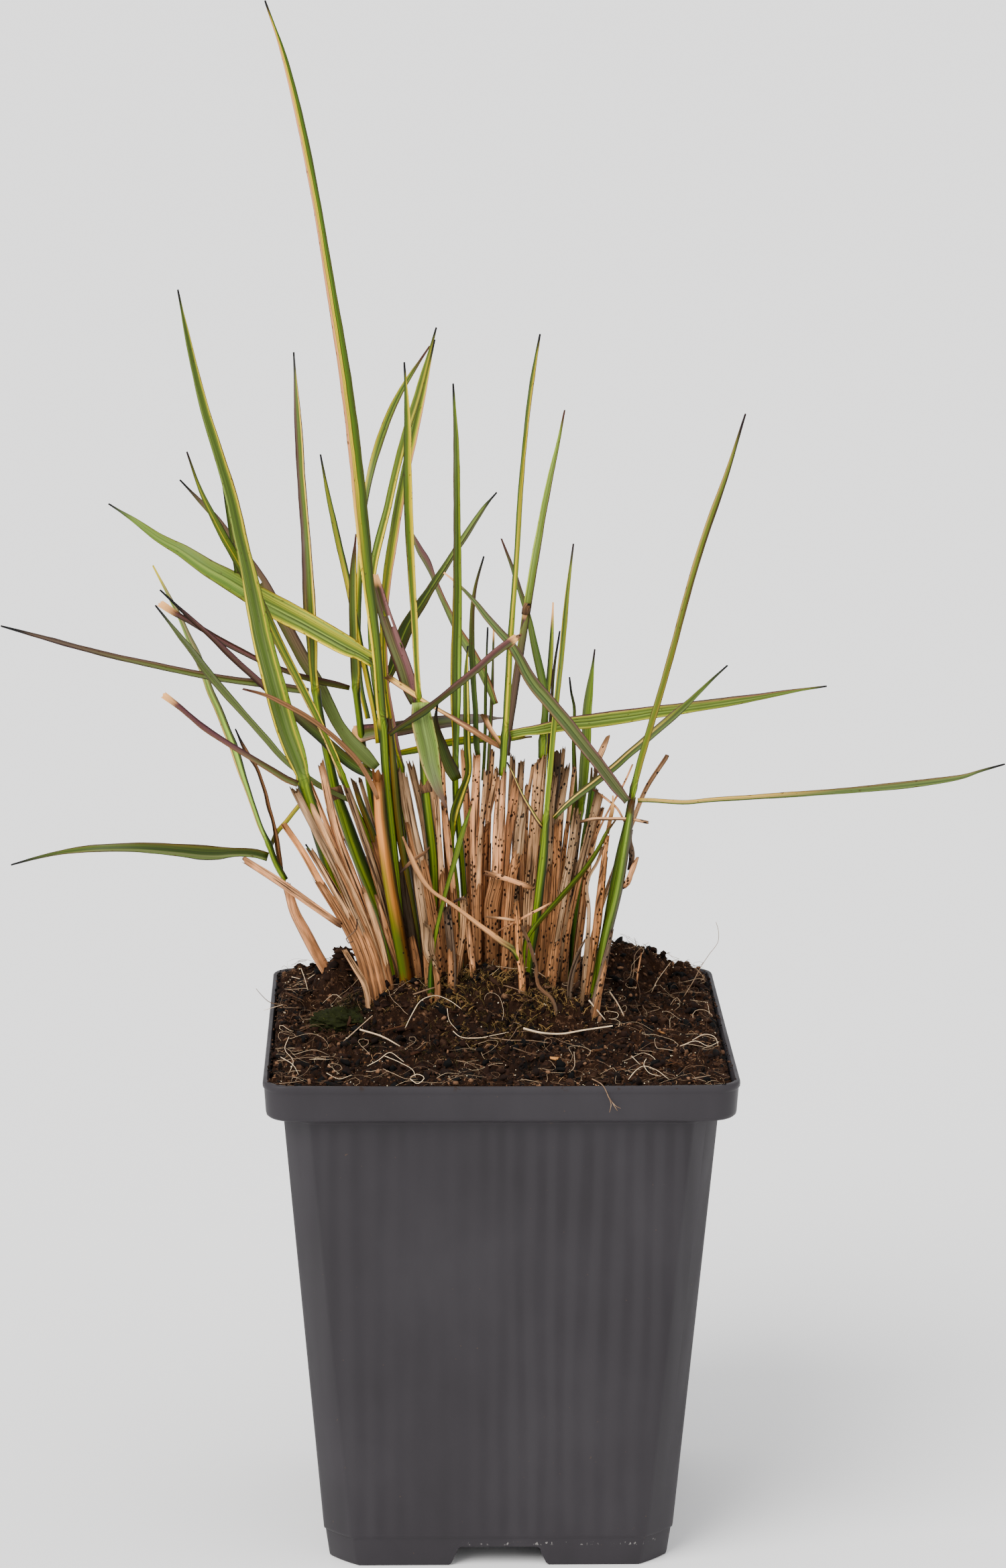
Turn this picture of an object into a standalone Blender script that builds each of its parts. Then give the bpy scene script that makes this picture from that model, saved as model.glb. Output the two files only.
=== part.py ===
"""Potted feather reed grass: a variegated clump, cut back last year, in a square one litre nursery pot.

Metres, +Z up, origin on the floor under the middle of the pot, +Y away from the viewer.
Every leaf and straw is laid out the way a botanist would pin it on a board: its line is a short list of
points (x, z, width) in millimetres on the upright plane through the middle of the pot, as they look from
the viewing point. Its depths, evenly spaced along the line, say how far in front of that plane (-) or
behind it (+) it runs.
"""

import math

import bmesh
import bpy
from mathutils import Vector

MM = 0.001

# Pot, in millimetres
POT_HEIGHT = 122.2
RIM_WIDTH = 110.0
RIM_DEPTH = 8.7
RIM_TAPER = 0.7
RIM_CORNER = 6.0
LIP = 0.3
LIP_HEIGHT = 1.8
SHOULDER_DROP = 1.2
SHOULDER_EDGE = 1.2
WALL = 1.2
WALL_TOP_HALF = 50.4
WALL_STEP_HALF = 41.5
WALL_FOOT_HALF = 40.2
WALL_ROUND = 0.2
CORNER_STEPS = 3
CUT_TOP = 6.4
CUT_FOOT = 6.9
FOOT_EDGE = 0.6
FOOT_STEP = 0.4
FOOT_STEP_HEIGHT = 7.6
NOTCH_HEIGHT = 4.9
NOTCH_TOP = 18.8
NOTCH_FOOT = 22.8
NOTCH_ROUND = 1.3
FOOT_CENTRE = 25.0
FOOT_BLOCK_HALF = 11.5
FOOT_BLOCK_TAPER = 0.8
DRAIN_HOLE_WIDTH = 7.0
DRAIN_HOLE_SIDES = 12
DRAIN_PLACES = ((0.0, 0.0), (26.0, 0.0), (-26.0, 0.0), (0.0, 26.0), (0.0, -26.0))
SQUARE_CORNERS = ((1, 1), (-1, 1), (-1, -1), (1, -1))
CUTTER_REACH = 2.0

# Soil, in millimetres: its edge, then each heap's middle, spread and height
GAP = 0.3
SOIL_EDGE = 120.6
SOIL_RINGS = 10
SIDE_STEPS = 7
SOIL_HEAPS = (
    (-8.0, 13.0, 36.0, 24.0, 7.6),
    (34.0, 36.0, 16.0, 16.0, 5.2),
    (-36.0, 26.0, 9.0, 9.0, 3.4),
)

# The viewing point that the board is laid out from, in millimetres
EYE = Vector((-24.6, -1084.6, 414.1))

# Leaves and straws, in millimetres and shares of their width
LEAF_THICKNESS = 0.55
THICKNESS_SHARE = 0.45
LEAF_FOLD = 0.25
MIDRIB_SHARE = 0.16
ROOTED_BELOW = 141.0
FOOT_GAP = 0.45
STRAW_WALL_SHARE = 0.3
STRAW_RECESS = 4.0
BORE_TAPER = 0.8
CUT_SLANT = 0.5

MATERIALS = (
    ("pot_plastic", (0.060, 0.057, 0.062), 0.45),
    ("potting_soil", (0.030, 0.020, 0.014), 0.95),
    ("green_leaf", (0.150, 0.290, 0.060), 0.50),
    ("striped_leaf", (0.330, 0.400, 0.130), 0.50),
    ("purple_leaf", (0.270, 0.160, 0.170), 0.50),
    ("dry_straw", (0.520, 0.350, 0.190), 0.75),
)
LEAF_COLOURS = (
    ("striped_leaf", ("tallest_leaf", "wide_left_leaf", "narrow_striped_leaf", "broad_left_leaf",
                      "twin_leaf_right", "right_tall_leaf", "diagonal_leaf", "broad_right_leaf",
                      "lower_left_leaf")),
    ("purple_leaf", ("purple_edged_leaf", "dark_leaf", "far_left_leaf", "cut_purple_leaf",
                     "slender_grey_leaf", "lower_cut_leaf", "broad_purple_leaf", "cross_purple_leaf",
                     "dark_drooping_leaf", "far_right_leaf")),
)


# Each living leaf: name, how many of its points are the round sheath, depth at base, middle and tip,
# turn about its own line in degrees, then its line from the base up.
LEAVES = (
    ("tallest_leaf", 6, (7, 2, -9, -26), 20, (
        (-20.6, 137, 1.6), (-23.3, 152, 1.6), (-24.8, 165, 1.5), (-25.9, 176, 1.7), (-26.7, 184, 2.0),
        (-27.2, 192.5, 2.1), (-27.9, 200, 2.2), (-28.6, 210, 2.2), (-29.7, 220, 2.5), (-31.0, 230, 2.8),
        (-32.0, 240, 3.2), (-34.0, 260, 3.1), (-36.5, 280, 2.8), (-39.6, 300, 2.3), (-42.9, 320, 1.9),
        (-46.9, 340, 1.8), (-50.2, 353, 1.2), (-54.2, 364.8, 0))),
    ("wide_left_leaf", 7, (8, -5, -10, -34), 15, (
        (-29.5, 134, 1.7), (-33.0, 143, 1.8), (-37.0, 153, 2.0), (-40.2, 161, 2.2), (-42.6, 169, 2.0),
        (-44.6, 176, 1.9), (-46.0, 181, 1.9), (-46.8, 184.5, 3.6), (-48.0, 188, 4.7), (-49.8, 193, 5.2),
        (-52.9, 204, 5.3), (-55.2, 213, 5.0), (-57.3, 223, 4.6), (-58.8, 231, 3.8), (-60.8, 240, 3.0),
        (-63.0, 250.5, 2.6), (-65.7, 260, 2.5), (-68.7, 270, 2.2), (-71.1, 280, 1.7), (-73.2, 290, 1.1),
        (-74.8, 298.5, 0))),
    ("purple_edged_leaf", 9, (10, 9, 12, 46), -20, (
        (-23.5, 137, 2.2), (-27.0, 147, 2.8), (-30.2, 156, 3.2), (-33.0, 163, 3.3), (-36.0, 171.5, 3.1),
        (-38.3, 178.5, 2.6), (-40.0, 186, 2.2), (-41.6, 194, 1.9), (-43.0, 202.5, 1.8), (-43.6, 207, 1.9),
        (-43.9, 214, 2.5), (-44.5, 224, 3.0), (-45.2, 239, 2.3), (-46.3, 255, 2.0), (-46.9, 266, 1.9),
        (-47.4, 274, 1.2), (-48.0, 284, 0))),
    ("narrow_striped_leaf", 6, (14, 4, -2, -14), 25, (
        (-20.5, 137.5, 1.6), (-25.3, 150, 1.7), (-28.9, 163, 1.8), (-32.0, 170.5, 1.7), (-34.7, 177, 1.5),
        (-36.4, 181.5, 1.5), (-38.9, 187.7, 1.6), (-41.6, 194, 1.6), (-45.7, 202.6, 1.9), (-50.6, 212.5, 2.1),
        (-55.5, 222.8, 2.4), (-60.5, 233, 2.5), (-65.5, 242, 1.9), (-70.0, 251.5, 1.0), (-73.1, 260.6, 0))),
    ("olive_leaf", 0, (7, 17, 20, 14), 20, (
        (-28.9, 185, 2.2), (-31.5, 187.7, 3.3), (-35.0, 191.3, 3.2), (-37.9, 195.4, 2.8), (-40.2, 200, 2.9),
        (-42.4, 205, 2.8), (-45.8, 210.6, 3.0), (-49.3, 217.3, 3.0), (-52.5, 223.6, 2.9), (-56.0, 230.3, 2.5),
        (-59.5, 235.5, 2.1), (-63.0, 240.2, 1.8), (-66.5, 245, 1.5), (-70.0, 248.8, 1.1), (-74.8, 254, 0))),
    ("dark_leaf", 0, (5.5, 7, 4, -8), -20, (
        (-29.2, 183, 1.8), (-32.5, 184.6, 2.4), (-36.0, 187.1, 2.6), (-39.5, 190.3, 2.6), (-43.0, 193.6, 2.5),
        (-46.5, 196.7, 2.3), (-49.5, 199.6, 2.1), (-55.0, 204.6, 1.7), (-61.5, 210.6, 1.3), (-68.0, 217, 1.2),
        (-73.0, 221.5, 1.1), (-79.7, 227.9, 0))),
    ("far_left_leaf", 0, (9, 5, -1, -24), 30, (
        (-44.9, 203.4, 1.6), (-50.0, 204.3, 2.0), (-55.0, 205.2, 1.9), (-60.0, 205.8, 1.8), (-70.0, 207.4, 1.7),
        (-80.0, 209.5, 1.6), (-90.0, 211.7, 1.4), (-100.0, 214.3, 1.2), (-108.0, 216.6, 0.9),
        (-117.2, 219.2, 0))),
    ("cut_purple_leaf", 0, (12, 12, 11, 2), 25, (
        (-35.2, 204.3, 1.2), (-38.0, 205, 1.6), (-42.0, 205.9, 1.7), (-46.0, 206.9, 1.4), (-50.0, 208.3, 1.3),
        (-57.0, 211.2, 1.3), (-62.0, 213.8, 1.5), (-66.0, 216, 1.4), (-70.0, 218.5, 1.3), (-74.0, 220.9, 1.2),
        (-77.0, 222.7, 1.6), (-79.4, 224.3, 1.8))),
    ("slender_grey_leaf", 0, (7.4, 6, 1, -16), -25, (
        (-35.4, 177.3, 0.7), (-38.5, 178.8, 0.9), (-42.0, 180.6, 1.4), (-45.5, 183, 1.4), (-50.3, 186.8, 1.5),
        (-55.0, 192.2, 1.6), (-60.0, 198, 1.6), (-65.0, 203.8, 1.9), (-69.0, 208.8, 2.0), (-72.0, 213, 1.6),
        (-75.0, 216.8, 1.2), (-80.8, 224.2, 0))),
    ("lower_cut_leaf", 0, (-6.4, -9, -16, -30), 25, (
        (-47.6, 181.1, 1.5), (-50.0, 182.1, 1.7), (-54.0, 184.6, 1.6), (-58.0, 187.1, 1.4), (-62.0, 189.6, 1.4),
        (-66.0, 192.2, 1.4), (-70.0, 195, 1.5), (-73.0, 197.6, 1.3), (-76.0, 200.2, 1.4), (-78.9, 202.4, 1.7))),
    ("broad_left_leaf", 0, (5.5, 4, 8, 24), 15, (
        (-29.6, 210.8, 1.8), (-32.0, 212.3, 3.0), (-35.0, 213.9, 4.5), (-40.0, 216.7, 5.1), (-45.0, 219.6, 5.3),
        (-50.0, 222.2, 5.6), (-56.0, 225.5, 5.4), (-62.0, 229.2, 5.0), (-68.0, 232.7, 4.2), (-74.0, 236.8, 3.2),
        (-80.0, 240.3, 2.2), (-86.0, 244.7, 1.2), (-91.5, 248.3, 0))),
    ("short_upright_leaf", 7, (19, 14, 12, 4), -20, (
        (-21.5, 139, 1.4), (-25.5, 158, 1.4), (-29.8, 175, 1.4), (-31.0, 184, 1.7), (-32.2, 191, 1.7),
        (-33.0, 198, 1.7), (-33.6, 203.5, 1.8), (-33.7, 208, 2.2), (-34.1, 218, 2.0), (-34.3, 227, 1.9),
        (-34.1, 235, 1.3), (-33.6, 241.2, 0))),
    ("rolled_leaf", 0, (13, 18, 30, 52), 10, (
        (-30.9, 193.6, 3.2), (-28.0, 194, 3.6), (-24.0, 194.6, 3.6), (-20.0, 195.3, 3.5), (-16.0, 195.9, 3.3),
        (-12.0, 196.4, 3.0), (-8.0, 196.8, 2.6), (-4.0, 197, 2.0), (1.0, 197.1, 0))),
    ("yellow_leaf", 0, (7, 12.5, 21, 36), 30, (
        (-28.6, 191, 1.1), (-29.2, 196.5, 1.2), (-31.0, 206, 1.4), (-33.0, 216, 1.5), (-35.3, 228, 1.6),
        (-38.0, 240, 1.5), (-40.5, 252, 0.9), (-41.9, 260, 0))),
    ("arching_leaf", 0, (22, 21, 28, 54), -25, (
        (-30.8, 197, 1.2), (-32.4, 204, 1.3), (-33.1, 212, 1.5), (-33.1, 222, 1.5), (-32.7, 232, 1.4),
        (-32.1, 243, 1.3), (-31.2, 250, 1.4), (-30.0, 256, 1.7), (-28.3, 262, 1.9), (-26.0, 268.5, 1.8),
        (-23.2, 274.5, 1.4), (-20.0, 279.8, 0.9), (-16.3, 285.5, 0))),
    ("twin_leaf_left", 0, (11, 10, 4, -22), -20, (
        (-28.2, 199, 1.4), (-29.4, 207, 1.4), (-30.1, 216, 1.4), (-30.1, 226, 1.5), (-29.2, 235, 1.9),
        (-27.8, 241, 2.0), (-26.2, 247, 1.8), (-24.9, 253, 1.8), (-23.3, 259.5, 1.8), (-21.4, 266.5, 1.8),
        (-19.5, 272.5, 1.7), (-17.7, 279, 1.4), (-14.8, 289.8, 0))),
    ("twin_leaf_right", 6, (12, 9, 9, 26), 20, (
        (-17.8, 139, 1.6), (-20.0, 150, 1.7), (-21.6, 160, 1.7), (-22.6, 170, 1.8), (-22.8, 178, 1.9),
        (-23.2, 184, 2.1), (-24.6, 190, 2.4), (-25.6, 196, 2.3), (-26.6, 203, 1.9), (-27.2, 213, 1.7),
        (-27.2, 222, 1.9), (-26.4, 231, 2.2), (-25.2, 239, 2.3), (-23.5, 249, 2.2), (-22.0, 256.5, 2.1),
        (-20.5, 263, 2.0), (-18.7, 271, 1.7), (-17.0, 279, 1.1), (-15.2, 287, 0))),
    ("vertical_leaf", 7, (10, 3, -4, -38), 20, (
        (-15.6, 136, 2.2), (-15.3, 147, 2.2), (-15.2, 160, 2.3), (-16.2, 170, 2.3), (-17.1, 178, 2.2),
        (-17.9, 189, 1.9), (-18.7, 199, 1.6), (-19.3, 207, 1.4), (-19.9, 219, 1.6), (-20.6, 231, 1.8),
        (-21.2, 243, 2.1), (-21.6, 258, 1.9), (-21.6, 267, 1.6), (-21.9, 275, 0.9), (-22.3, 281.7, 0))),
    ("drooping_leaf", 0, (-3.5, -5, -10), 10, (
        (-18.4, 200.9, 4.0), (-18.1, 197, 5.0), (-17.3, 193, 5.1), (-16.6, 190, 5.0), (-16.0, 186.5, 4.5),
        (-15.1, 183, 3.6), (-14.2, 180, 2.3), (-13.2, 177.6, 1.2), (-12.4, 175.3, 0))),
    ("broad_purple_leaf", 0, (4, 3, 3), -15, (
        (-19.9, 200.6, 1.8), (-20.6, 203, 3.0), (-21.4, 206, 3.8), (-22.8, 210.5, 3.8), (-24.3, 214.5, 3.7),
        (-25.8, 219, 3.4), (-27.2, 223.5, 3.0), (-28.4, 228, 2.6), (-29.2, 231, 2.0))),
    ("twisted_leaf", 0, (13, 15, 24, 42), 20, (
        (-26.9, 205.8, 1.0), (-25.5, 208.5, 2.0), (-24.0, 213, 3.0), (-22.5, 217.5, 3.4), (-20.5, 221.5, 2.8),
        (-18.3, 224.8, 2.6), (-16.5, 227.6, 1.9), (-15.0, 230, 0.9), (-13.0, 233, 1.2), (-10.5, 237, 1.5),
        (-8.0, 240.8, 1.6), (-5.5, 244.7, 1.3), (-3.0, 248.3, 0.8), (-0.6, 251.1, 0))),
    ("crossing_leaf", 0, (13, 18, 28, 46), -20, (
        (-0.6, 200.5, 1.2), (-2.3, 205, 1.9), (-4.5, 209.8, 2.2), (-6.9, 214, 2.3), (-9.5, 218.2, 1.9),
        (-11.5, 222.2, 1.6), (-13.3, 226, 1.3), (-14.6, 229, 0.9), (-15.6, 231.6, 1.3), (-16.8, 234.5, 1.8),
        (-18.5, 237.3, 1.7), (-21.2, 243.2, 0))),
    ("centre_leaf", 6, (18, 7, -4, -42), 20, (
        (-6.8, 138, 1.3), (-7.8, 150, 1.3), (-8.4, 160, 1.4), (-9.2, 169, 1.5), (-10.0, 177, 1.6),
        (-10.2, 184, 1.5), (-10.2, 190, 1.6), (-10.2, 195, 2.0), (-10.2, 204, 2.6), (-10.1, 212, 2.6),
        (-9.9, 222, 2.3), (-9.9, 233, 2.0), (-10.0, 245, 1.7), (-10.1, 255, 1.6), (-10.3, 265, 1.2),
        (-10.9, 276.7, 0))),
    ("dark_drooping_leaf", 0, (4, 3, -2), -20, (
        (-9.7, 182.2, 2.4), (-10.9, 184.6, 3.2), (-12.0, 187, 2.8), (-13.0, 190, 2.4), (-14.0, 193, 1.8),
        (-14.8, 197, 1.0), (-14.2, 201.5, 0))),
    ("upright_centre_leaf", 0, (4, 4, 10, 24), 25, (
        (-4.9, 188.2, 1.2), (-5.2, 190.5, 1.5), (-5.4, 194, 1.4), (-5.5, 199, 1.3), (-5.9, 204, 1.3),
        (-6.2, 209, 1.5), (-6.4, 214, 1.4), (-6.4, 219, 1.3), (-6.2, 224, 1.1), (-5.6, 228.5, 0.8),
        (-3.6, 235.9, 0))),
    ("cross_purple_leaf", 0, (-3, -9, -16), 25, (
        (-25.9, 193.2, 1.0), (-22.0, 196, 1.6), (-18.0, 198.6, 1.9), (-14.5, 201.3, 1.6), (-10.0, 205, 1.7),
        (-5.0, 209.2, 1.8), (-1.0, 212.8, 1.9), (2.2, 215.3, 1.9), (3.6, 216.3, 1.8))),
    ("straw_tipped_leaf", 2, (-4, -7, -18), 20, (
        (5.4, 131, 1.2), (5.0, 138.5, 1.2), (3.4, 140.8, 1.4), (1.5, 142, 1.5), (-1.5, 144.3, 1.4),
        (-5.0, 147, 1.2), (-9.0, 150.2, 1.0), (-12.0, 152.4, 0.9), (-15.5, 154.8, 0.8), (-17.5, 157, 1.2),
        (-19.5, 160.5, 1.4), (-21.0, 164, 1.1), (-22.7, 168.3, 0))),
    ("slim_right_leaf", 3, (-1, -6, -20), 25, (
        (5.9, 131, 1.0), (6.2, 137, 1.0), (6.9, 143.2, 1.0), (9.5, 147, 1.2), (12.0, 150, 1.2),
        (15.0, 153.5, 1.3), (18.0, 157, 1.3), (21.0, 160.7, 1.2), (24.3, 166, 1.0), (26.0, 169.5, 0.8),
        (28.0, 172.3, 0))),
    ("right_tall_leaf", 7, (6, 0, -9, -34), 20, (
        (21.8, 126.5, 1.5), (23.7, 135, 1.6), (26.0, 145, 2.2), (27.8, 155, 2.6), (29.6, 165, 2.4),
        (30.9, 171, 2.2), (31.7, 177.2, 1.6), (33.3, 185, 1.3), (36.0, 195, 1.4), (38.8, 205, 1.4),
        (41.4, 215, 1.4), (43.9, 225, 1.4), (46.6, 235, 1.1), (49.7, 245, 1.0), (53.1, 255, 0.9),
        (57.5, 269.7, 0))),
    ("far_right_leaf", 0, (0, -5, -11, -22), 20, (
        (33.2, 177.2, 1.0), (36.0, 177.2, 1.0), (40.0, 176.9, 0.9), (45.0, 176.7, 0.9), (50.0, 177.2, 1.1),
        (60.0, 177.9, 1.2), (70.0, 178.6, 1.4), (80.0, 179.3, 1.4), (90.0, 180.2, 1.7), (100.0, 181.3, 1.8),
        (106.0, 182.1, 1.5), (111.0, 183, 1.1), (115.0, 184.3, 0.6), (120.6, 185.9, 0))),
    ("rising_leaf", 0, (1, 4, 5, 14), -20, (
        (13.3, 172.8, 0.9), (16.0, 175.6, 1.4), (19.0, 178.2, 1.7), (22.0, 180.6, 1.8), (25.0, 183, 1.9),
        (28.0, 185.5, 1.9), (31.0, 188.3, 1.8), (34.5, 191.3, 1.9), (37.0, 193.6, 2.0), (40.0, 196.2, 2.0),
        (42.0, 198, 1.9), (45.0, 200.8, 1.4), (48.0, 203.8, 1.0), (51.0, 206.8, 0.6), (54.2, 209.8, 0))),
    ("broad_right_leaf", 0, (2, 8, 14, 28), 15, (
        (2.9, 193.2, 1.2), (6.0, 193.9, 1.9), (10.0, 194.5, 2.6), (13.0, 195.1, 2.9), (17.0, 195.9, 3.2),
        (22.0, 196.5, 3.5), (27.0, 197.2, 3.5), (32.0, 197.9, 3.2), (37.0, 198.6, 3.0), (42.0, 199.2, 2.8),
        (47.0, 200, 2.6), (52.0, 200.7, 2.4), (57.0, 201.5, 2.1), (62.0, 202.3, 1.6), (67.0, 203.2, 1.2),
        (72.0, 204, 0.7), (77.8, 204.8, 0))),
    ("diagonal_leaf", 0, (-3, -7, -5, 4), 15, (
        (30.7, 176.9, 1.6), (28.0, 180.3, 2.7), (26.0, 183, 2.8), (23.5, 186.4, 2.9), (21.0, 189.6, 3.0),
        (18.5, 192.8, 3.1), (16.0, 196, 3.2), (13.5, 199, 3.2), (11.0, 202, 3.2), (8.5, 204.9, 3.0),
        (6.5, 208, 2.8), (4.6, 211.8, 2.4), (2.5, 215.2, 2.0), (0.0, 218, 1.8), (-3.0, 221.5, 1.6),
        (-5.5, 224.8, 1.2), (-8.0, 227.6, 0.8), (-10.5, 230, 0.5), (-13.0, 232, 0))),
    ("bright_upright_leaf", 3, (0, 1, -6, -44), 20, (
        (0.9, 183.2, 1.8), (1.2, 187, 1.8), (1.5, 192, 1.7), (1.8, 198, 1.6), (2.1, 204, 1.6),
        (2.5, 213, 1.5), (3.1, 222, 1.4), (3.6, 229, 1.3), (4.2, 238, 1.3), (4.7, 248, 1.3),
        (5.2, 255, 1.2), (5.9, 263, 1.0), (6.8, 272, 1.0), (7.9, 280, 0.9), (9.3, 288.3, 0))),
    ("green_upright_leaf", 0, (3, 8, 16, 48), -20, (
        (2.2, 188, 1.1), (2.8, 194.5, 1.3), (3.4, 200, 1.7), (4.2, 206, 1.9), (5.2, 213, 1.8),
        (6.3, 220.5, 1.9), (7.4, 228, 1.9), (8.6, 235.5, 1.9), (10.2, 245, 1.6), (11.4, 251.5, 1.5),
        (12.6, 257.5, 1.2), (13.8, 263, 0.8), (15.2, 270.5, 0))),
    ("bent_leaf", 2, (4, 10, 22, 52), 20, (
        (10.3, 187.4, 1.7), (10.4, 190, 1.8), (10.7, 195, 1.7), (11.0, 199.5, 1.5), (10.9, 203, 1.7),
        (10.2, 206.5, 2.0), (9.2, 211, 1.9), (8.3, 215, 1.7), (7.3, 220, 1.4), (5.8, 225, 1.3),
        (4.5, 229, 1.1), (3.0, 233.5, 0.9), (0.5, 240.1, 0))),
    ("light_green_leaf", 6, (1, -1, 4, 30), -20, (
        (7.4, 131, 1.5), (7.9, 138, 1.7), (9.0, 146, 2.0), (10.0, 155, 2.1), (11.0, 165, 2.1),
        (11.4, 171, 1.6), (11.8, 177, 1.2), (12.6, 187, 1.2), (13.4, 197, 1.0), (14.2, 205, 1.1),
        (14.9, 212, 1.1), (15.6, 220, 1.0), (16.1, 226, 0.9), (16.7, 232, 0.6), (17.5, 238.9, 0))),
    ("short_back_leaf", 4, (17, 16, 20, 42), 20, (
        (16.8, 136, 1.4), (17.4, 150, 1.4), (18.4, 163, 1.5), (19.2, 172, 1.7), (20.0, 180, 2.2),
        (20.4, 186, 2.4), (20.8, 192, 2.3), (20.9, 198, 2.2), (21.4, 203, 1.9), (21.9, 207, 1.2),
        (22.7, 213.7, 0))),
    ("lower_left_leaf", 0, (10, 8, 9, 20), 20, (
        (-54.8, 163.3, 1.6), (-57.0, 164, 1.9), (-60.0, 164.4, 1.9), (-63.0, 164.4, 2.3), (-67.0, 164.2, 3.3),
        (-70.0, 164.3, 3.6), (-75.0, 164.8, 3.2), (-80.0, 165.3, 2.8), (-85.0, 165.6, 2.4), (-92.0, 165.6, 2.0),
        (-98.0, 165.3, 1.7), (-104.0, 164.5, 1.1), (-109.0, 163.4, 0.6), (-115.8, 161.5, 0))),
    ("outer_left_leaf", 4, (12, 14, 16, 38), -20, (
        (-50.6, 157.8, 1.5), (-52.2, 160.6, 1.6), (-53.3, 163, 1.5), (-54.3, 166, 1.4), (-56.3, 170.5, 1.1),
        (-58.0, 175.5, 1.2), (-59.6, 180.5, 1.5), (-61.0, 185, 1.9), (-62.5, 190, 2.1), (-64.3, 194.5, 2.0),
        (-66.0, 199, 1.9), (-68.0, 203.5, 1.8), (-69.5, 208, 1.7), (-71.0, 212, 1.9), (-73.0, 216.5, 1.5),
        (-75.0, 221.3, 1.0), (-77.0, 225.3, 0.8), (-81.3, 233.7, 0))),
)

# Each dead straw: name, depth at foot and at cut top, line from the foot up. The foot stands on the soil.
STRAWS = (
    ("orange_sheath", (2, 0), ((-21.2, 131, 3.0), (-22.3, 137, 3.4), (-23.6, 145, 3.5), (-25.4, 155, 3.3),
                               (-26.9, 165, 3.0), (-27.9, 173, 2.9), (-28.4, 181.2, 2.9))),
    ("cut_straw_left_front", (-1, -5.5), ((-26.5, 130, 1.9), (-30.0, 139.5, 2.0), (-34.5, 150.5, 1.9),
                                        (-38.8, 160.5, 1.8), (-43.0, 169, 1.8), (-47.6, 178.4, 1.8))),
    ("cut_straw_left_low", (-2, -5), ((-29.5, 130, 2.0), (-33.0, 139.5, 2.0), (-37.0, 148, 1.9),
                                      (-42.0, 156.5, 1.8), (-47.0, 165.5, 1.6), (-50.0, 170, 1.5))),
    ("cut_straw_left_tall", (1, 2), ((-24.5, 130.5, 1.9), (-28.0, 140, 1.9), (-32.0, 151.5, 1.9),
                                     (-35.3, 160.5, 1.9), (-38.3, 169, 1.8), (-41.8, 185, 1.7))),
    ("cut_straw_left_inner", (6.5, 3.5, 0), ((-22.5, 133, 1.7), (-25.6, 145, 1.7), (-29.3, 160, 1.8),
                                      (-32.3, 169, 1.7), (-35.6, 179, 1.5))),
    ("cut_straw_mid_left", (3.5, 2.5), ((-12.6, 136, 1.9), (-14.8, 146, 1.9), (-17.5, 160, 1.9),
                                    (-19.5, 168, 1.8), (-22.0, 181.8, 1.4))),
    ("cut_straw_middle_thin", (12, 6), ((-9.8, 136, 1.5), (-10.3, 150, 1.6), (-11.3, 161, 1.6),
                                        (-12.3, 171, 1.6), (-12.8, 175.5, 1.5))),
    ("cut_straw_middle", (13, 5), ((-4.6, 137, 1.7), (-5.2, 150, 2.0), (-5.6, 160, 2.0), (-5.5, 172, 2.3),
                                   (-5.1, 187, 1.8))),
    ("cut_straw_centre", (10, 0), ((-1.6, 135, 2.4), (-1.2, 145, 3.6), (-1.1, 152, 3.8), (-0.2, 158, 3.0),
                                   (0.2, 168, 3.0), (0.7, 181.2, 2.5))),
    ("cut_straw_centre_right", (7, 4), ((6.2, 133, 1.9), (7.0, 145, 2.6), (7.6, 155, 2.9), (8.3, 165, 2.8),
                                        (9.2, 175, 3.0), (9.9, 185.6, 2.7))),
    ("cut_straw_right_back", (12, 8), ((11.8, 136, 1.7), (13.2, 150, 1.9), (14.2, 166, 2.2), (14.8, 175, 2.0),
                                       (16.2, 184, 1.4))),
    ("cut_straw_right", (2, -1), ((12.0, 131, 2.3), (13.8, 142, 2.4), (15.4, 152, 2.4), (17.2, 163, 2.0),
                                  (18.5, 172, 2.0))),
    ("cut_straw_right_curled", (8, 5), ((14.8, 134, 1.8), (17.0, 148, 1.9), (19.5, 160, 1.9),
                                        (21.5, 168, 1.9), (23.8, 177.6, 2.2))),
    ("orange_right_straw", (0, 4), ((20.6, 127, 1.4), (22.3, 136, 1.5), (23.6, 145, 1.8), (24.4, 153, 1.7),
                                    (25.3, 162, 1.4), (26.0, 168, 1.2))),
    ("short_front_straw", (-6, -4), ((22.8, 124.5, 2.8), (23.9, 129, 2.1), (25.2, 135, 1.6), (26.3, 140, 1.4),
                                     (27.2, 144.4, 0.9))),
    ("pale_sheath", (22, 13), ((-39.4, 132.6, 2.3), (-41.3, 136, 2.8), (-43.5, 140, 2.8), (-46.0, 145, 2.8),
                               (-48.5, 150, 2.4), (-50.0, 155.2, 1.9))),
)

# Straws that lie across the clump: name, depth at both ends, line.
LOOSE_STRAWS = (
    ("right_straw", (12, 4), ((19.2, 134, 1.1), (24.5, 150, 1.1), (31.4, 170, 1.1), (35.5, 180.5, 1.1),
                              (39.7, 187.2, 1.1))),
    ("diagonal_straw", (-5, -7), ((-38.2, 147.2, 1.6), (-45.0, 152.2, 1.8), (-52.0, 157.3, 1.9),
                                  (-59.5, 162.2, 1.6))),
)


def clear_scene():
    for thing in list(bpy.data.objects):
        bpy.data.objects.remove(thing, do_unlink=True)


def make_material(name, colour, roughness):
    material = bpy.data.materials.new(name)
    material.use_nodes = True
    shader = material.node_tree.nodes["Principled BSDF"]
    shader.inputs["Base Color"].default_value = (*colour, 1.0)
    shader.inputs["Roughness"].default_value = roughness
    material.diffuse_color = (*colour, 1.0)
    return material


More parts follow.
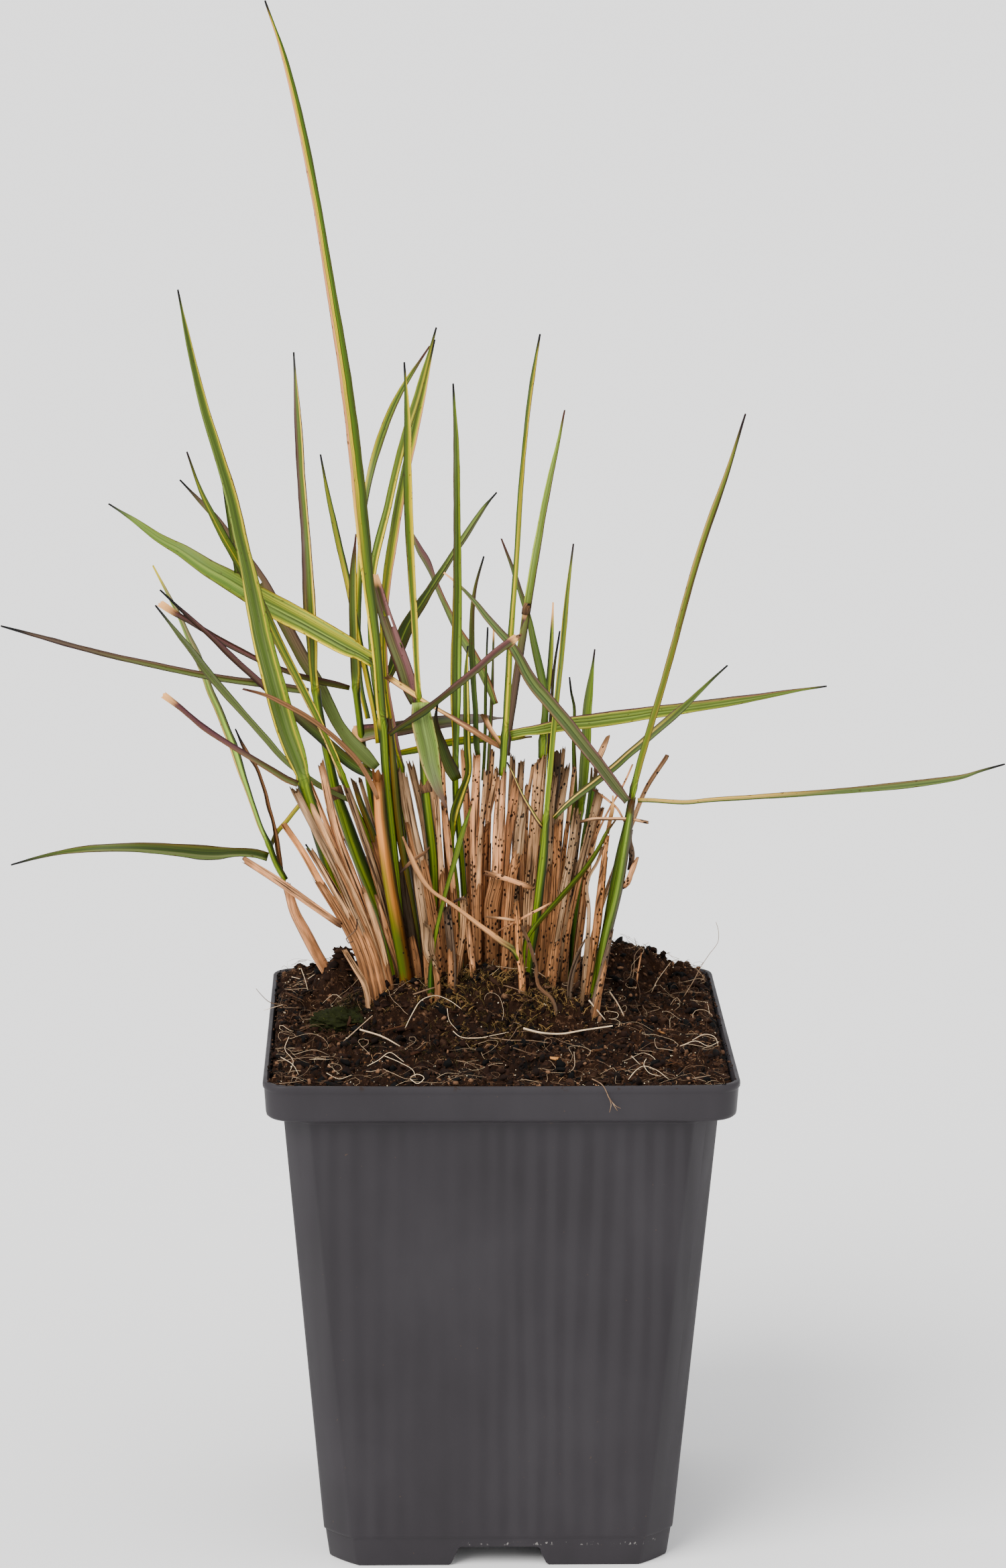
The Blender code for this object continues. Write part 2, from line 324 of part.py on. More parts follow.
def add_piece(name, corners, faces, material):
    """A named object from corners in millimetres and the faces between them."""
    mesh = bpy.data.meshes.new(name)
    mesh.from_pydata([Vector(corner) * MM for corner in corners], [], faces)
    shape = bmesh.new()
    shape.from_mesh(mesh)
    bmesh.ops.recalc_face_normals(shape, faces=shape.faces)
    shape.to_mesh(mesh)
    shape.free()
    piece = bpy.data.objects.new(name, mesh)
    piece.data.materials.append(material)
    bpy.context.scene.collection.objects.link(piece)
    return piece


def skin_rings(rings, tip=None):
    """Corners and faces of a closed skin over a stack of rings, drawn to a point if it has a tip."""
    corners = []
    faces = []
    count = len(rings[0])
    for ring in rings:
        corners.extend(ring)
    for level in range(len(rings) - 1):
        for i in range(count):
            a = level * count + i
            b = level * count + (i + 1) % count
            faces.append((a, b, b + count, a + count))
    faces.append(tuple(range(count)))
    last = (len(rings) - 1) * count
    if tip:
        corners.append(tip)
        for i in range(count):
            faces.append((last + i, last + (i + 1) % count, len(corners) - 1))
    else:
        faces.append(tuple(last + i for i in range(count)))
    return corners, faces


def soil_level(x, y):
    """Height of the soil's surface in millimetres."""
    level = SOIL_EDGE
    for middle_x, middle_y, spread_x, spread_y, height in SOIL_HEAPS:
        away = ((x - middle_x) / spread_x) ** 2 + ((y - middle_y) / spread_y) ** 2
        level += height * math.exp(-away)
    return level


def on_sight_line(x, z, depth):
    """Where the board's point (x, z) lies once it stands at its depth."""
    share = 1.0 - depth / EYE.y
    return Vector((EYE.x + (x - EYE.x) * share, depth, EYE.z + (z - EYE.z) * share))


def depth_at(depths, share):
    """Smooth depth at a share of the way along a line, through evenly spaced depths."""
    place = share * (len(depths) - 1)
    step = min(int(place), len(depths) - 2)
    part = place - step
    before = depths[max(step - 1, 0)]
    start = depths[step]
    end = depths[step + 1]
    after = depths[min(step + 2, len(depths) - 1)]
    bend = 2 * before - 5 * start + 4 * end - after
    twist = 3 * (start - end) + after - before
    return start + 0.5 * part * (end - before + part * (bend + part * twist))


def lay_out(line, depths):
    """Middle points in space, true widths and directions of a line drawn on the board."""
    lengths = [0.0]
    for (x0, z0, _), (x1, z1, _) in zip(line, line[1:]):
        lengths.append(lengths[-1] + math.hypot(x1 - x0, z1 - z0))
    points = []
    widths = []
    for (x, z, width), length in zip(line, lengths):
        depth = depth_at(depths, length / lengths[-1])
        points.append(on_sight_line(x, z, depth))
        widths.append(width * (1.0 - depth / EYE.y))
    return points, widths


def stand_on_soil(points):
    """Move the first point straight down or up to just above the soil."""
    foot = points[0]
    points[0] = Vector((foot.x, foot.y, soil_level(foot.x, foot.y) + FOOT_GAP))


def directions(points):
    ways = []
    for i in range(len(points)):
        start = points[max(i - 1, 0)]
        end = points[min(i + 1, len(points) - 1)]
        ways.append((end - start).normalized())
    return ways


def side_and_face(point, along, turn):
    """Sideways and outward directions of a leaf, turned about its own line away from facing the viewer."""
    view = (point - EYE).normalized()
    side = along.cross(view).normalized()
    face = along.cross(side)
    angle = math.radians(turn)
    turned_side = side * math.cos(angle) + face * math.sin(angle)
    turned_face = face * math.cos(angle) - side * math.sin(angle)
    return turned_side, turned_face


def blade_ring(point, side, face, width):
    """Four-cornered section of a leaf with no sheath: a shallow trough open to the front."""
    half = width / 2
    thick = min(LEAF_THICKNESS, THICKNESS_SHARE * width) / 2
    raised = LEAF_FOLD * half
    return [
        point + side * half + face * raised,
        point + face * thick,
        point - side * half + face * raised,
        point - face * thick,
    ]


def wide_blade_ring(point, side, face, width):
    """Six-cornered section of a leaf that grows out of its own sheath."""
    half = width / 2
    flat = MIDRIB_SHARE * width
    thick = min(LEAF_THICKNESS, THICKNESS_SHARE * width) / 2
    raised = LEAF_FOLD * half
    return [
        point + side * half + face * raised,
        point + side * flat + face * thick,
        point - side * flat + face * thick,
        point - side * half + face * raised,
        point - side * flat - face * thick,
        point + side * flat - face * thick,
    ]


def round_ring(point, side, face, width):
    """Six-cornered round section of a sheath or a straw."""
    ring = []
    for i in range(6):
        angle = math.radians(60 * i)
        out = side * math.cos(angle) + face * math.sin(angle)
        ring.append(point + out * (width / 2))
    return ring


def sit_ring_on_soil(ring):
    return [Vector((c.x, c.y, soil_level(c.x, c.y) + FOOT_GAP)) for c in ring]


def make_leaf(name, sheath, depths, turn, line, material):
    """One leaf, with its sheath below it if the first points of its line are a sheath."""
    points, widths = lay_out(line, depths)
    rooted = line[0][1] < ROOTED_BELOW
    if rooted:
        stand_on_soil(points)
    ways = directions(points)
    tip = None
    if widths[-1] == 0:
        tip = points[-1]
        points = points[:-1]
    section = wide_blade_ring if sheath else blade_ring
    spread = 1 / math.cos(math.radians(turn))
    rings = []
    for i, point in enumerate(points):
        side, face = side_and_face(point, ways[i], turn)
        if i < sheath:
            rings.append(round_ring(point, side, face, widths[i]))
        else:
            rings.append(section(point, side, face, widths[i] * spread))
    if rooted:
        rings[0] = sit_ring_on_soil(rings[0])
    corners, faces = skin_rings(rings, tip)
    return add_piece(name, corners, faces, material)


def straw_rings(line, depths):
    """Round sections up a straw, with its middle points and directions."""
    points, widths = lay_out(line, depths)
    rooted = line[0][1] < ROOTED_BELOW
    if rooted:
        stand_on_soil(points)
    ways = directions(points)
    rings = []
    for point, way, width in zip(points, ways, widths):
        side, face = side_and_face(point, way, 0)
        rings.append(round_ring(point, side, face, width))
    if rooted:
        rings[0] = sit_ring_on_soil(rings[0])
    return rings, points, widths, ways


def slanted(ring, way, amount):
    """A cut end's ring, higher on one side than on the other."""
    moved = []
    for i, corner in enumerate(ring):
        moved.append(corner + way * (amount * math.cos(math.radians(60 * i))))
    return moved


def make_straw(name, depths, line, material):
    """A dead cut straw standing on the soil, hollow at its top."""
    rings, points, widths, ways = straw_rings(line, depths)
    top = len(points) - 1
    side, face = side_and_face(points[top], ways[top], 0)
    bore = widths[top] * (1 - STRAW_WALL_SHARE)
    slant = widths[top] * CUT_SLANT
    rings[top] = slanted(rings[top], ways[top], slant)
    mouth = round_ring(points[top], side, face, bore)
    rings.append(slanted(mouth, ways[top], slant * (1 - STRAW_WALL_SHARE)))
    floor = points[top] + (points[top - 1] - points[top]).normalized() * STRAW_RECESS
    rings.append(round_ring(floor, side, face, bore * BORE_TAPER))
    corners, faces = skin_rings(rings)
    return add_piece(name, corners, faces, material)


def make_loose_straw(name, depths, line, material):
    """A dead straw that leans or lies across the clump."""
    rings = straw_rings(line, depths)[0]
    corners, faces = skin_rings(rings)
    return add_piece(name, corners, faces, material)


def square_ring(half, corner, roundness, height):
    """A level square outline with its corners cut (roundness 0) or rounded (roundness 1)."""
    ring = []
    for quarter in range(4):
        turn = math.radians(90 * quarter)
        for step in range(CORNER_STEPS + 1):
            share = step / CORNER_STEPS
            angle = math.radians(90 * share)
            cut = (half - corner * share, half - corner * (1 - share))
            arc = (half - corner + corner * math.cos(angle), half - corner + corner * math.sin(angle))
            x = cut[0] + (arc[0] - cut[0]) * roundness
            y = cut[1] + (arc[1] - cut[1]) * roundness
            across = x * math.cos(turn) - y * math.sin(turn)
            along = x * math.sin(turn) + y * math.cos(turn)
            ring.append((across, along, height))
    return ring


def wall_half(height):
    """Half the pot's outer width at a height between its foot step and the rim."""
    share = (height - FOOT_STEP_HEIGHT) / (POT_HEIGHT - RIM_DEPTH - FOOT_STEP_HEIGHT)
    return WALL_STEP_HALF + (WALL_TOP_HALF - WALL_STEP_HALF) * share


def wall_cut(height):
    share = height / (POT_HEIGHT - RIM_DEPTH)
    return CUT_FOOT + (CUT_TOP - CUT_FOOT) * share


def pot_skin():
    """Rings up the outside, over the rim and down the inside."""
    ledge = POT_HEIGHT - RIM_DEPTH
    rim = RIM_WIDTH / 2
    floor = NOTCH_HEIGHT + WALL
    step_half = wall_half(FOOT_STEP_HEIGHT)
    return [
        square_ring(WALL_FOOT_HALF - FOOT_EDGE, CUT_FOOT, WALL_ROUND, 0.0),
        square_ring(WALL_FOOT_HALF, CUT_FOOT, WALL_ROUND, FOOT_EDGE),
        square_ring(step_half - FOOT_STEP, CUT_FOOT, WALL_ROUND, FOOT_STEP_HEIGHT - FOOT_STEP),
        square_ring(step_half, wall_cut(FOOT_STEP_HEIGHT), WALL_ROUND, FOOT_STEP_HEIGHT),
        square_ring(WALL_TOP_HALF, CUT_TOP, WALL_ROUND, ledge - SHOULDER_DROP),
        square_ring(rim - RIM_TAPER - FOOT_EDGE, RIM_CORNER, 1.0, ledge),
        square_ring(rim - RIM_TAPER, RIM_CORNER, 1.0, ledge + SHOULDER_EDGE),
        square_ring(rim - LIP, RIM_CORNER, 1.0, POT_HEIGHT - LIP_HEIGHT),
        square_ring(rim, RIM_CORNER, 1.0, POT_HEIGHT - LIP_HEIGHT + LIP),
        square_ring(rim, RIM_CORNER, 1.0, POT_HEIGHT - LIP),
        square_ring(rim - LIP, RIM_CORNER, 1.0, POT_HEIGHT),
        square_ring(rim - WALL, RIM_CORNER, 1.0, POT_HEIGHT),
        square_ring(rim - RIM_TAPER - WALL, RIM_CORNER, 1.0, ledge + SHOULDER_EDGE + WALL),
        square_ring(WALL_TOP_HALF - WALL, CUT_TOP, WALL_ROUND, ledge - SHOULDER_DROP + WALL),
        square_ring(wall_half(floor) - WALL, wall_cut(floor), WALL_ROUND, floor),
    ]


def channel_section():
    """Half of the drain channel's outline under the pot, from its mouth up to its roof."""
    return [
        (NOTCH_FOOT / 2 + NOTCH_ROUND, -CUTTER_REACH),
        (NOTCH_FOOT / 2 + NOTCH_ROUND, 0.0),
        (NOTCH_FOOT / 2, NOTCH_ROUND / 2),
        (NOTCH_TOP / 2 + NOTCH_ROUND / 2, NOTCH_HEIGHT - NOTCH_ROUND),
        (NOTCH_TOP / 2, NOTCH_HEIGHT),
    ]


def add_cutter(name, corners, faces, material):
    cutter = add_piece(name, corners, faces, material)
    cutter.hide_render = True
    cutter.display_type = "WIRE"
    return cutter


def add_channel(name, quarter, material):
    """A bar with the notch's outline, running right under the pot."""
    right = channel_section()
    outline = right + [(-across, height) for across, height in reversed(right)]
    rings = []
    for end in (-RIM_WIDTH / 2, RIM_WIDTH / 2):
        if quarter:
            rings.append([(across, end, height) for across, height in outline])
        else:
            rings.append([(end, across, height) for across, height in outline])
    corners, faces = skin_rings(rings)
    return add_cutter(name, corners, faces, material)


def foot_block(centre_x, centre_y, inset, top, bottom):
    """Rings of a tapered block inside one foot of the pot."""
    rings = []
    for height, taper in ((top, 0.0), (bottom, FOOT_BLOCK_TAPER)):
        half = FOOT_BLOCK_HALF - inset - taper
        rings.append([(centre_x + x * half, centre_y + y * half, height) for x, y in SQUARE_CORNERS])
    return rings


def apply_boolean(piece, cutter, operation):
    modifier = piece.modifiers.new(cutter.name, "BOOLEAN")
    modifier.operation = operation
    modifier.solver = "EXACT"
    modifier.object = cutter


def foot_centres():
    return [(x * FOOT_CENTRE, y * FOOT_CENTRE) for x, y in SQUARE_CORNERS]


def make_pot(material):
    corners, faces = skin_rings(pot_skin())
    pot = add_piece("pot", corners, faces, material)
    for quarter in (0, 1):
        apply_boolean(pot, add_channel(f"channel_cutter_{quarter}", quarter, material), "DIFFERENCE")
    floor = NOTCH_HEIGHT + WALL
    for i, (x, y) in enumerate(foot_centres()):
        corners, faces = skin_rings(foot_block(x, y, 0.0, floor + CUTTER_REACH, WALL))
        apply_boolean(pot, add_cutter(f"foot_cutter_{i}", corners, faces, material), "DIFFERENCE")
    for i, (x, y) in enumerate(DRAIN_PLACES):
        rings = [round_hole(x, y, NOTCH_HEIGHT - CUTTER_REACH / 2), round_hole(x, y, floor + CUTTER_REACH)]
        corners, faces = skin_rings(rings)
        apply_boolean(pot, add_cutter(f"drain_cutter_{i}", corners, faces, material), "DIFFERENCE")
    return pot


def round_hole(x, y, height):
    ring = []
    for i in range(DRAIN_HOLE_SIDES):
        angle = 2 * math.pi * i / DRAIN_HOLE_SIDES
        across = x + DRAIN_HOLE_WIDTH / 2 * math.cos(angle)
        along = y + DRAIN_HOLE_WIDTH / 2 * math.sin(angle)
        ring.append((across, along, height))
    return ring


def soil_outline_at(height):
    """The soil's outline, just inside the pot's inner face."""
    ledge = POT_HEIGHT - RIM_DEPTH
    if height > ledge + SHOULDER_EDGE:
        return square_ring(RIM_WIDTH / 2 - RIM_TAPER - WALL - GAP, RIM_CORNER, 1.0, height)
    return square_ring(wall_half(height) - WALL - GAP, wall_cut(height), WALL_ROUND, height)


def soil_skin():
    """Rings up the soil's sides, then inwards over its heaped surface."""
    floor = NOTCH_HEIGHT + WALL + GAP
    ledge = POT_HEIGHT - RIM_DEPTH
    rings = [
        soil_outline_at(floor),
        square_ring(WALL_TOP_HALF - WALL - GAP, CUT_TOP, WALL_ROUND, ledge - SHOULDER_DROP + WALL + GAP / 2),
        soil_outline_at(ledge + SHOULDER_EDGE + WALL + GAP),
    ]
    rings = [denser(ring) for ring in rings]
    edge = rings[-1]
    for step in range(SOIL_RINGS + 1):
        share = 1 - step / (SOIL_RINGS + 0.5)
        ring = []
        for x, y, _ in edge:
            ring.append((x * share, y * share, soil_level(x * share, y * share)))
        rings.append(ring)
    return rings


def denser(ring):
    """The same outline with SIDE_STEPS points along each long side."""
    fine = []
    per_corner = CORNER_STEPS + 1
    for i, (x, y, height) in enumerate(ring):
        fine.append((x, y, height))
        if i % per_corner == CORNER_STEPS:
            next_x, next_y, _ = ring[(i + 1) % len(ring)]
            for step in range(1, SIDE_STEPS):
                share = step / SIDE_STEPS
                fine.append((x + (next_x - x) * share, y + (next_y - y) * share, height))
    return fine


def make_soil(material):
    corners, faces = skin_rings(soil_skin(), (0.0, 0.0, soil_level(0.0, 0.0)))
    soil = add_piece("soil", corners, faces, material)
    floor = NOTCH_HEIGHT + WALL + GAP
    for i, (x, y) in enumerate(foot_centres()):
        corners, faces = skin_rings(foot_block(x, y, GAP, floor + CUTTER_REACH, WALL + GAP))
        apply_boolean(soil, add_cutter(f"soil_foot_{i}", corners, faces, material), "UNION")
    return soil


def leaf_material(name, materials):
    for key, names in LEAF_COLOURS:
        if name in names:
            return materials[key]
    return materials["green_leaf"]


def main():
    clear_scene()
    materials = {}
    for name, colour, roughness in MATERIALS:
        materials[name] = make_material(name, colour, roughness)
    make_pot(materials["pot_plastic"])
    make_soil(materials["potting_soil"])
    for name, sheath, depths, turn, line in LEAVES:
        make_leaf(name, sheath, depths, turn, line, leaf_material(name, materials))
    for name, depths, line in STRAWS:
        make_straw(name, depths, line, materials["dry_straw"])
    for name, depths, line in LOOSE_STRAWS:
        make_loose_straw(name, depths, line, materials["dry_straw"])


main()
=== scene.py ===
"""The dressed look of a variegated feather reed grass in its square nursery pot.

Lengths in the tables are in millimetres. A leaf or straw is laid out as in the solids: its line is a short
list of points (x, z, width) on the upright plane through the middle of the pot, as seen from the viewing
point, and its depths, evenly spaced along the line, say how far in front of that plane (-) or behind it (+)
it runs. Colours are sRGB shares.
"""

import math
import random

import bmesh
import bpy
import numpy as np
from mathutils import Matrix, Vector, noise


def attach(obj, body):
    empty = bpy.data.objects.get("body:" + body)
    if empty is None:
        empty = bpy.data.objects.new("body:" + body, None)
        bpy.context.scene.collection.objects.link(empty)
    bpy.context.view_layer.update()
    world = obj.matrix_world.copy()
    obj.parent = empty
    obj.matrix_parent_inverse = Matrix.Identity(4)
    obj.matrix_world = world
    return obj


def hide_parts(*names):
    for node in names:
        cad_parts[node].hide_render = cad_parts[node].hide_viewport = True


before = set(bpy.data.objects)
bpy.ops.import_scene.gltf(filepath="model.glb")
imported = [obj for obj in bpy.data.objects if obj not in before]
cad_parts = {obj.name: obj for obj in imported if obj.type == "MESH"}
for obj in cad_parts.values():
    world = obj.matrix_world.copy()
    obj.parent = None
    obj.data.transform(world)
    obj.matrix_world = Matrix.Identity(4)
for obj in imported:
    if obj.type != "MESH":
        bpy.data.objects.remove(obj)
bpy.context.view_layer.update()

MM = 0.001
FULL_TURN = 6.28
EYE = Vector((-24.6, -1084.6, 414.1))

# Camera: look-at point, roll and lens of the photograph
LOOK_AT = Vector((1.16, 0.0, 181.12))
CAMERA_ELEVATION = 12.117
CAMERA_YAW = 1.362
CAMERA_ROLL = 0.2486
CAMERA_DISTANCE = 1109.66
LENS = 107.18
SENSOR = 36.0

# Studio light: how bright a white card stands in it, the veil of reflections, and the camera's tone curve
LIGHT_LEVEL = 2.1
WORLD_LEVEL = 1.25
KEY_LEVEL = 3.9
FILL_LEVEL = 0.6
VEIL = 0.006
DARKEST = 0.0025
PALEST = 0.88
TONE_SPREAD = np.array((
    (0.84248, 0.07843, 0.07922),
    (0.04233, 0.87847, 0.07917),
    (0.04238, 0.07843, 0.87914),
))
TONE_STEPS = np.linspace(0.0, 1.0, 257)
TONE_CURVE = np.polyval((15.5, -40.14, 31.96, -6.868, 0.4298, 0.1191, -0.00232), TONE_STEPS)
TONE_STOPS = 16.5
TONE_DARKEST = -12.474

# Pot, as in the solid
POT_HEIGHT = 122.2
RIM_WIDTH = 110.0
RIM_DEPTH = 8.7
RIM_TAPER = 0.7
RIM_CORNER = 6.0
RIM_BOW = 0.25
LIP = 0.3
LIP_HEIGHT = 1.8
SHOULDER_DROP = 1.2
SHOULDER_EDGE = 1.2
WALL = 1.2
WALL_TOP_HALF = 50.4
WALL_STEP_HALF = 41.5
WALL_FOOT_HALF = 40.2
WALL_ROUND = 0.2
SMOOTH_CORNER = 10
FLUTE_PITCH = 0.0048
SHARP_FROM = 38
CUT_TOP = 6.4
CUT_FOOT = 6.9
FOOT_STEP = 0.4
FOOT_STEP_HEIGHT = 7.6
NOTCH_HEIGHT = 4.9
NOTCH_TOP = 18.8
NOTCH_FOOT = 22.8
FOOT_CENTRE = 25.0
FOOT_BLOCK_HALF = 11.5
FOOT_BLOCK_TAPER = 0.8
DRAIN_HOLE_WIDTH = 7.0
DRAIN_HOLE_SIDES = 12
DRAIN_PLACES = ((0.0, 0.0), (26.0, 0.0), (-26.0, 0.0), (0.0, 26.0), (0.0, -26.0))
SQUARE_CORNERS = ((1, 1), (-1, 1), (-1, -1), (1, -1))
SIDE_STEPS = 12

# Soil, with the things that lie on it
GAP = 0.3
SOIL_EDGE = 120.6
SOIL_HEAPS = ((-8, 13, 36, 24, 7.6), (34, 36, 16, 16, 5.2), (-36, 26, 9, 9, 3.4))
SOIL_GRID = 262
SOIL_HALF = 53.05
EDGE_RISE = 0.7
MOSS_SHOOTS = 420
MOSS_WIDTH = 0.09
SHOOT_WIDTH = 0.05
MOSS_LUMP_SIZES = (7.2, 4.6, 3.2)
CRUMBS = 5600
CRUMB_SIZES = (0.22, 0.27, 0.32, 0.38, 0.45, 0.55, 0.7, 1.0)
FINE_CRUMB = 0.78
RIM_CRUMBS = 220
RIM_MIDDLE = 53.4
GRAINS = 1000
GRAIN_SIZES = (0.07, 0.09, 0.12, 0.14, 0.19)
CHIPS = 170
FIBRES = 4700
ROOTS = 400
ROOT_REACH = 52.6
ROOT_TURNS = 52.4
SEEN_REACH = 52.8
ROOT_SLIM = 0.33
ROOT_LIFT = 1.5

# Leaves and straws
ROOTED_BELOW = 141.0
FOOT_GAP = 0.45
LEAF_STEP = 1.35
COLUMNS = 11
LEAF_FOLD = 0.25
LEAF_SHEET = 0.34
TIP_WIDTH = 0.42
TIP_TAPER = 0.045
FOOT_SUNK = 1.2
RING_JAG = 0.2
LEAF_WOBBLE = 5.0
LEAF_SLANT = 0.5
SHEATH_OPENING = 6.0
BORE = 5.0
PAPER_FOOT = 1.0
PAPER_STEP = 1.25
PAPER_SHEET = 0.06
PAPER_TORN = 2.5
PAPER_COLUMNS = 14

STRAW_TONES = {
    "orange_sheath": "tan",
    "cut_straw_left_front": "brown",
    "cut_straw_left_low": "orange",
    "cut_straw_left_tall": "pale",
    "cut_straw_left_inner": "brown",
    "cut_straw_mid_left": "brown",
    "cut_straw_middle_thin": "pale",
    "cut_straw_middle": "cream",
    "cut_straw_centre": "cream",
    "cut_straw_centre_right": "tan",
    "cut_straw_right_back": "brown",
    "cut_straw_right": "brown",
    "cut_straw_right_curled": "brown",
    "orange_right_straw": "orange",
    "short_front_straw": "dark",
    "pale_sheath": "palest",
    "right_straw": "brown",
    "diagonal_straw": "cream",
}
BARE_STRAWS = ("orange_sheath", "pale_sheath", "right_wavy", "right_short", "front_left_low",
               "right_culm_edge", "right_fill_green", "olive_culm")
POT_DARK = (0.288, 0.275, 0.288)
POT_TONE = (0.322, 0.308, 0.324)
POT_PALE = (0.360, 0.346, 0.362)
POT_FLUTE_SHEEN = (0.388, 0.374, 0.390)
PEAT_DARK_HOLLOW_SHADE = (0.10, 0.065, 0.045)
PEAT_BROWN = (0.27, 0.19, 0.14)
PEAT_PALE_LUMP_LIGHT = (0.54, 0.42, 0.33)
STRAW_FOOT = (0.67, 0.52, 0.39)

# Heaps that the loose soil makes over the solid's surface: middle, spread and height
LOOSE_HEAPS = (
    (-26.5, 1.0, 11.0, 10.0, 4.6),
    (-4.0, 2.0, 14.0, 10.0, 4.4),
    (15.0, 0.0, 14.0, 10.0, 4.2),
    (-4.0, -2.0, 24.0, 10.0, 3.2),
    (-40.0, 20.0, 8.0, 9.0, 2.4),
    (20.0, -8.0, 6.0, 5.0, 1.4),
    (-37.5, 19.0, 4.5, 5.0, 9.0),
    (29.5, 36.0, 6.5, 8.0, 6.6),
    (39.0, 40.0, 7.0, 8.0, 4.2),
    (-34.0, 50.0, 20.0, 6.0, 2.6),
    (10.0, 50.0, 24.0, 6.0, 2.4),
    (-51.0, 10.0, 5.0, 30.0, 1.0),
    (51.0, 10.0, 5.0, 30.0, 1.0),
)


def heaped(level, heaps, x, y):
    """A level raised at a point by smooth heaps: middle, spread and height."""
    for middle_x, middle_y, spread_x, spread_y, height in heaps:
        level += height * math.exp(-((x - middle_x) / spread_x) ** 2 - ((y - middle_y) / spread_y) ** 2)
    return level


def soil_level(x, y):
    """Height of the soil's smooth surface, as in the solid."""
    return heaped(SOIL_EDGE, SOIL_HEAPS, x, y)


def on_sight_line(x, z, depth):
    """Where the board's point (x, z) lies once it stands at its depth."""
    share = 1.0 - depth / EYE.y
    return Vector((EYE.x + (x - EYE.x) * share, depth, EYE.z + (z - EYE.z) * share))


def depth_at(depths, share):
    """Smooth depth at a share of the way along a line, through evenly spaced depths."""
    place = share * (len(depths) - 1)
    step = min(int(place), len(depths) - 2)
    part = place - step
    before = depths[max(step - 1, 0)]
    start = depths[step]
    end = depths[step + 1]
    after = depths[min(step + 2, len(depths) - 1)]
    bend = 2 * before - 5 * start + 4 * end - after
    twist = 3 * (start - end) + after - before
    return start + 0.5 * part * (end - before + part * (bend + part * twist))


def lay_out(line, depths):
    """Middle points in space and true widths of a line drawn on the board."""
    lengths = [0.0]
    for (x0, z0, _), (x1, z1, _) in zip(line, line[1:]):
        lengths.append(lengths[-1] + math.hypot(x1 - x0, z1 - z0))
    points = []
    widths = []
    for (x, z, width), length in zip(line, lengths):
        depth = depth_at(depths, length / lengths[-1])
        points.append(on_sight_line(x, z, depth))
        widths.append(width * (1.0 - depth / EYE.y))
    if line[0][1] < ROOTED_BELOW:
        foot = points[0]
        points[0] = Vector((foot.x, foot.y, soil_level(foot.x, foot.y) + FOOT_GAP))
    return np.array([tuple(p) for p in points]), np.array(widths)


def lengths_of(points):
    steps = np.linalg.norm(np.diff(points, axis=0), axis=1)
    return np.concatenate([[0.0], np.cumsum(steps)])


def through(places, values, at):
    """Smooth values at other places along a line, through the given ones."""
    values = np.asarray(values, float)
    flat = values.reshape(len(places), -1)
    slopes = np.gradient(flat, places, axis=0)
    index = np.clip(np.searchsorted(places, at, side="right") - 1, 0, len(places) - 2)
    gap = places[index + 1] - places[index]
    part = ((at - places[index]) / gap)[:, None]
    gap = gap[:, None]
    start = flat[index]
    end = flat[index + 1]
    h00 = 2 * part**3 - 3 * part**2 + 1
    h10 = part**3 - 2 * part**2 + part
    h01 = 3 * part**2 - 2 * part**3
    h11 = part**3 - part**2
    found = h00 * start + h10 * gap * slopes[index] + h01 * end + h11 * gap * slopes[index + 1]
    return found.reshape((len(at),) + values.shape[1:])


def unit(rows):
    return rows / np.maximum(np.linalg.norm(rows, axis=-1, keepdims=True), 1e-9)


def circle(count):
    """Evenly spaced angles once round."""
    return np.arange(count) * (2 * math.pi / count)


def round_about(side, face, angles, flat=1.0):
    """Directions round a line at each of its points; flat below 1 presses the ring together."""
    out = side[:, None, :] * np.cos(angles)[None, :, None]
    return out + face[:, None, :] * (np.sin(angles) * flat)[None, :, None]


def smoothstep(low, high, value):
    share = np.clip((value - low) / (high - low), 0.0, 1.0)
    return share * share * (3 - 2 * share)


def linear(colour):
    """The surface colour that shows as this sRGB colour in the studio light."""
    steps = np.interp(TONE_SPREAD @ np.array(colour), TONE_CURVE, TONE_STEPS)
    light = np.linalg.solve(TONE_SPREAD, 2.0 ** (steps * TONE_STOPS + TONE_DARKEST))
    shade = light / LIGHT_LEVEL - VEIL
    return tuple(float(c) for c in np.clip(shade * PALEST / max(PALEST, *shade), DARKEST, PALEST))


def make_mesh(name, points, faces, material, smooth=True, attributes=None, uv=None):
    """A shown object from points in millimetres; attributes are named values per point, uv is per point."""
    mesh = bpy.data.meshes.new(name)
    mesh.from_pydata((np.asarray(points) * MM).tolist(), [], faces)
    mesh.validate()
    for label, values in (attributes or {}).items():
        kept = mesh.attributes.new(label, "FLOAT", "POINT")
        kept.data.foreach_set("value", np.asarray(values, np.float32))
    if uv is not None:
        layer = mesh.uv_layers.new(name="UVMap")
        corners = np.zeros(len(mesh.loops), np.int32)
        mesh.loops.foreach_get("vertex_index", corners)
        layer.data.foreach_set("uv", np.asarray(uv, np.float32)[corners].ravel())
    if smooth:
        mesh.shade_smooth()
    thing = bpy.data.objects.new(name, mesh)
    thing.data.materials.append(material)
    bpy.context.scene.collection.objects.link(thing)
    return thing


def place(thing, slot, nodes=()):
    """Fix a finished piece to the one body and hide the solids that it stands for; the slot is not used."""
    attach(thing, "root")
    if nodes:
        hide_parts(*nodes)
    return thing


def ring_faces(rings, count, start=0, closed_start=True, closed_end=True):
    """Faces between rings of count points each, with caps fanned as one face."""
    faces = []
    for level in range(rings - 1):
        low = start + level * count
        for i in range(count):
            j = (i + 1) % count
            faces.append((low + i, low + j, low + count + j, low + count + i))
    if closed_start:
        faces.append(tuple(start + i for i in reversed(range(count))))
    if closed_end:
        last = start + (rings - 1) * count
        faces.append(tuple(last + i for i in range(count)))
    return faces


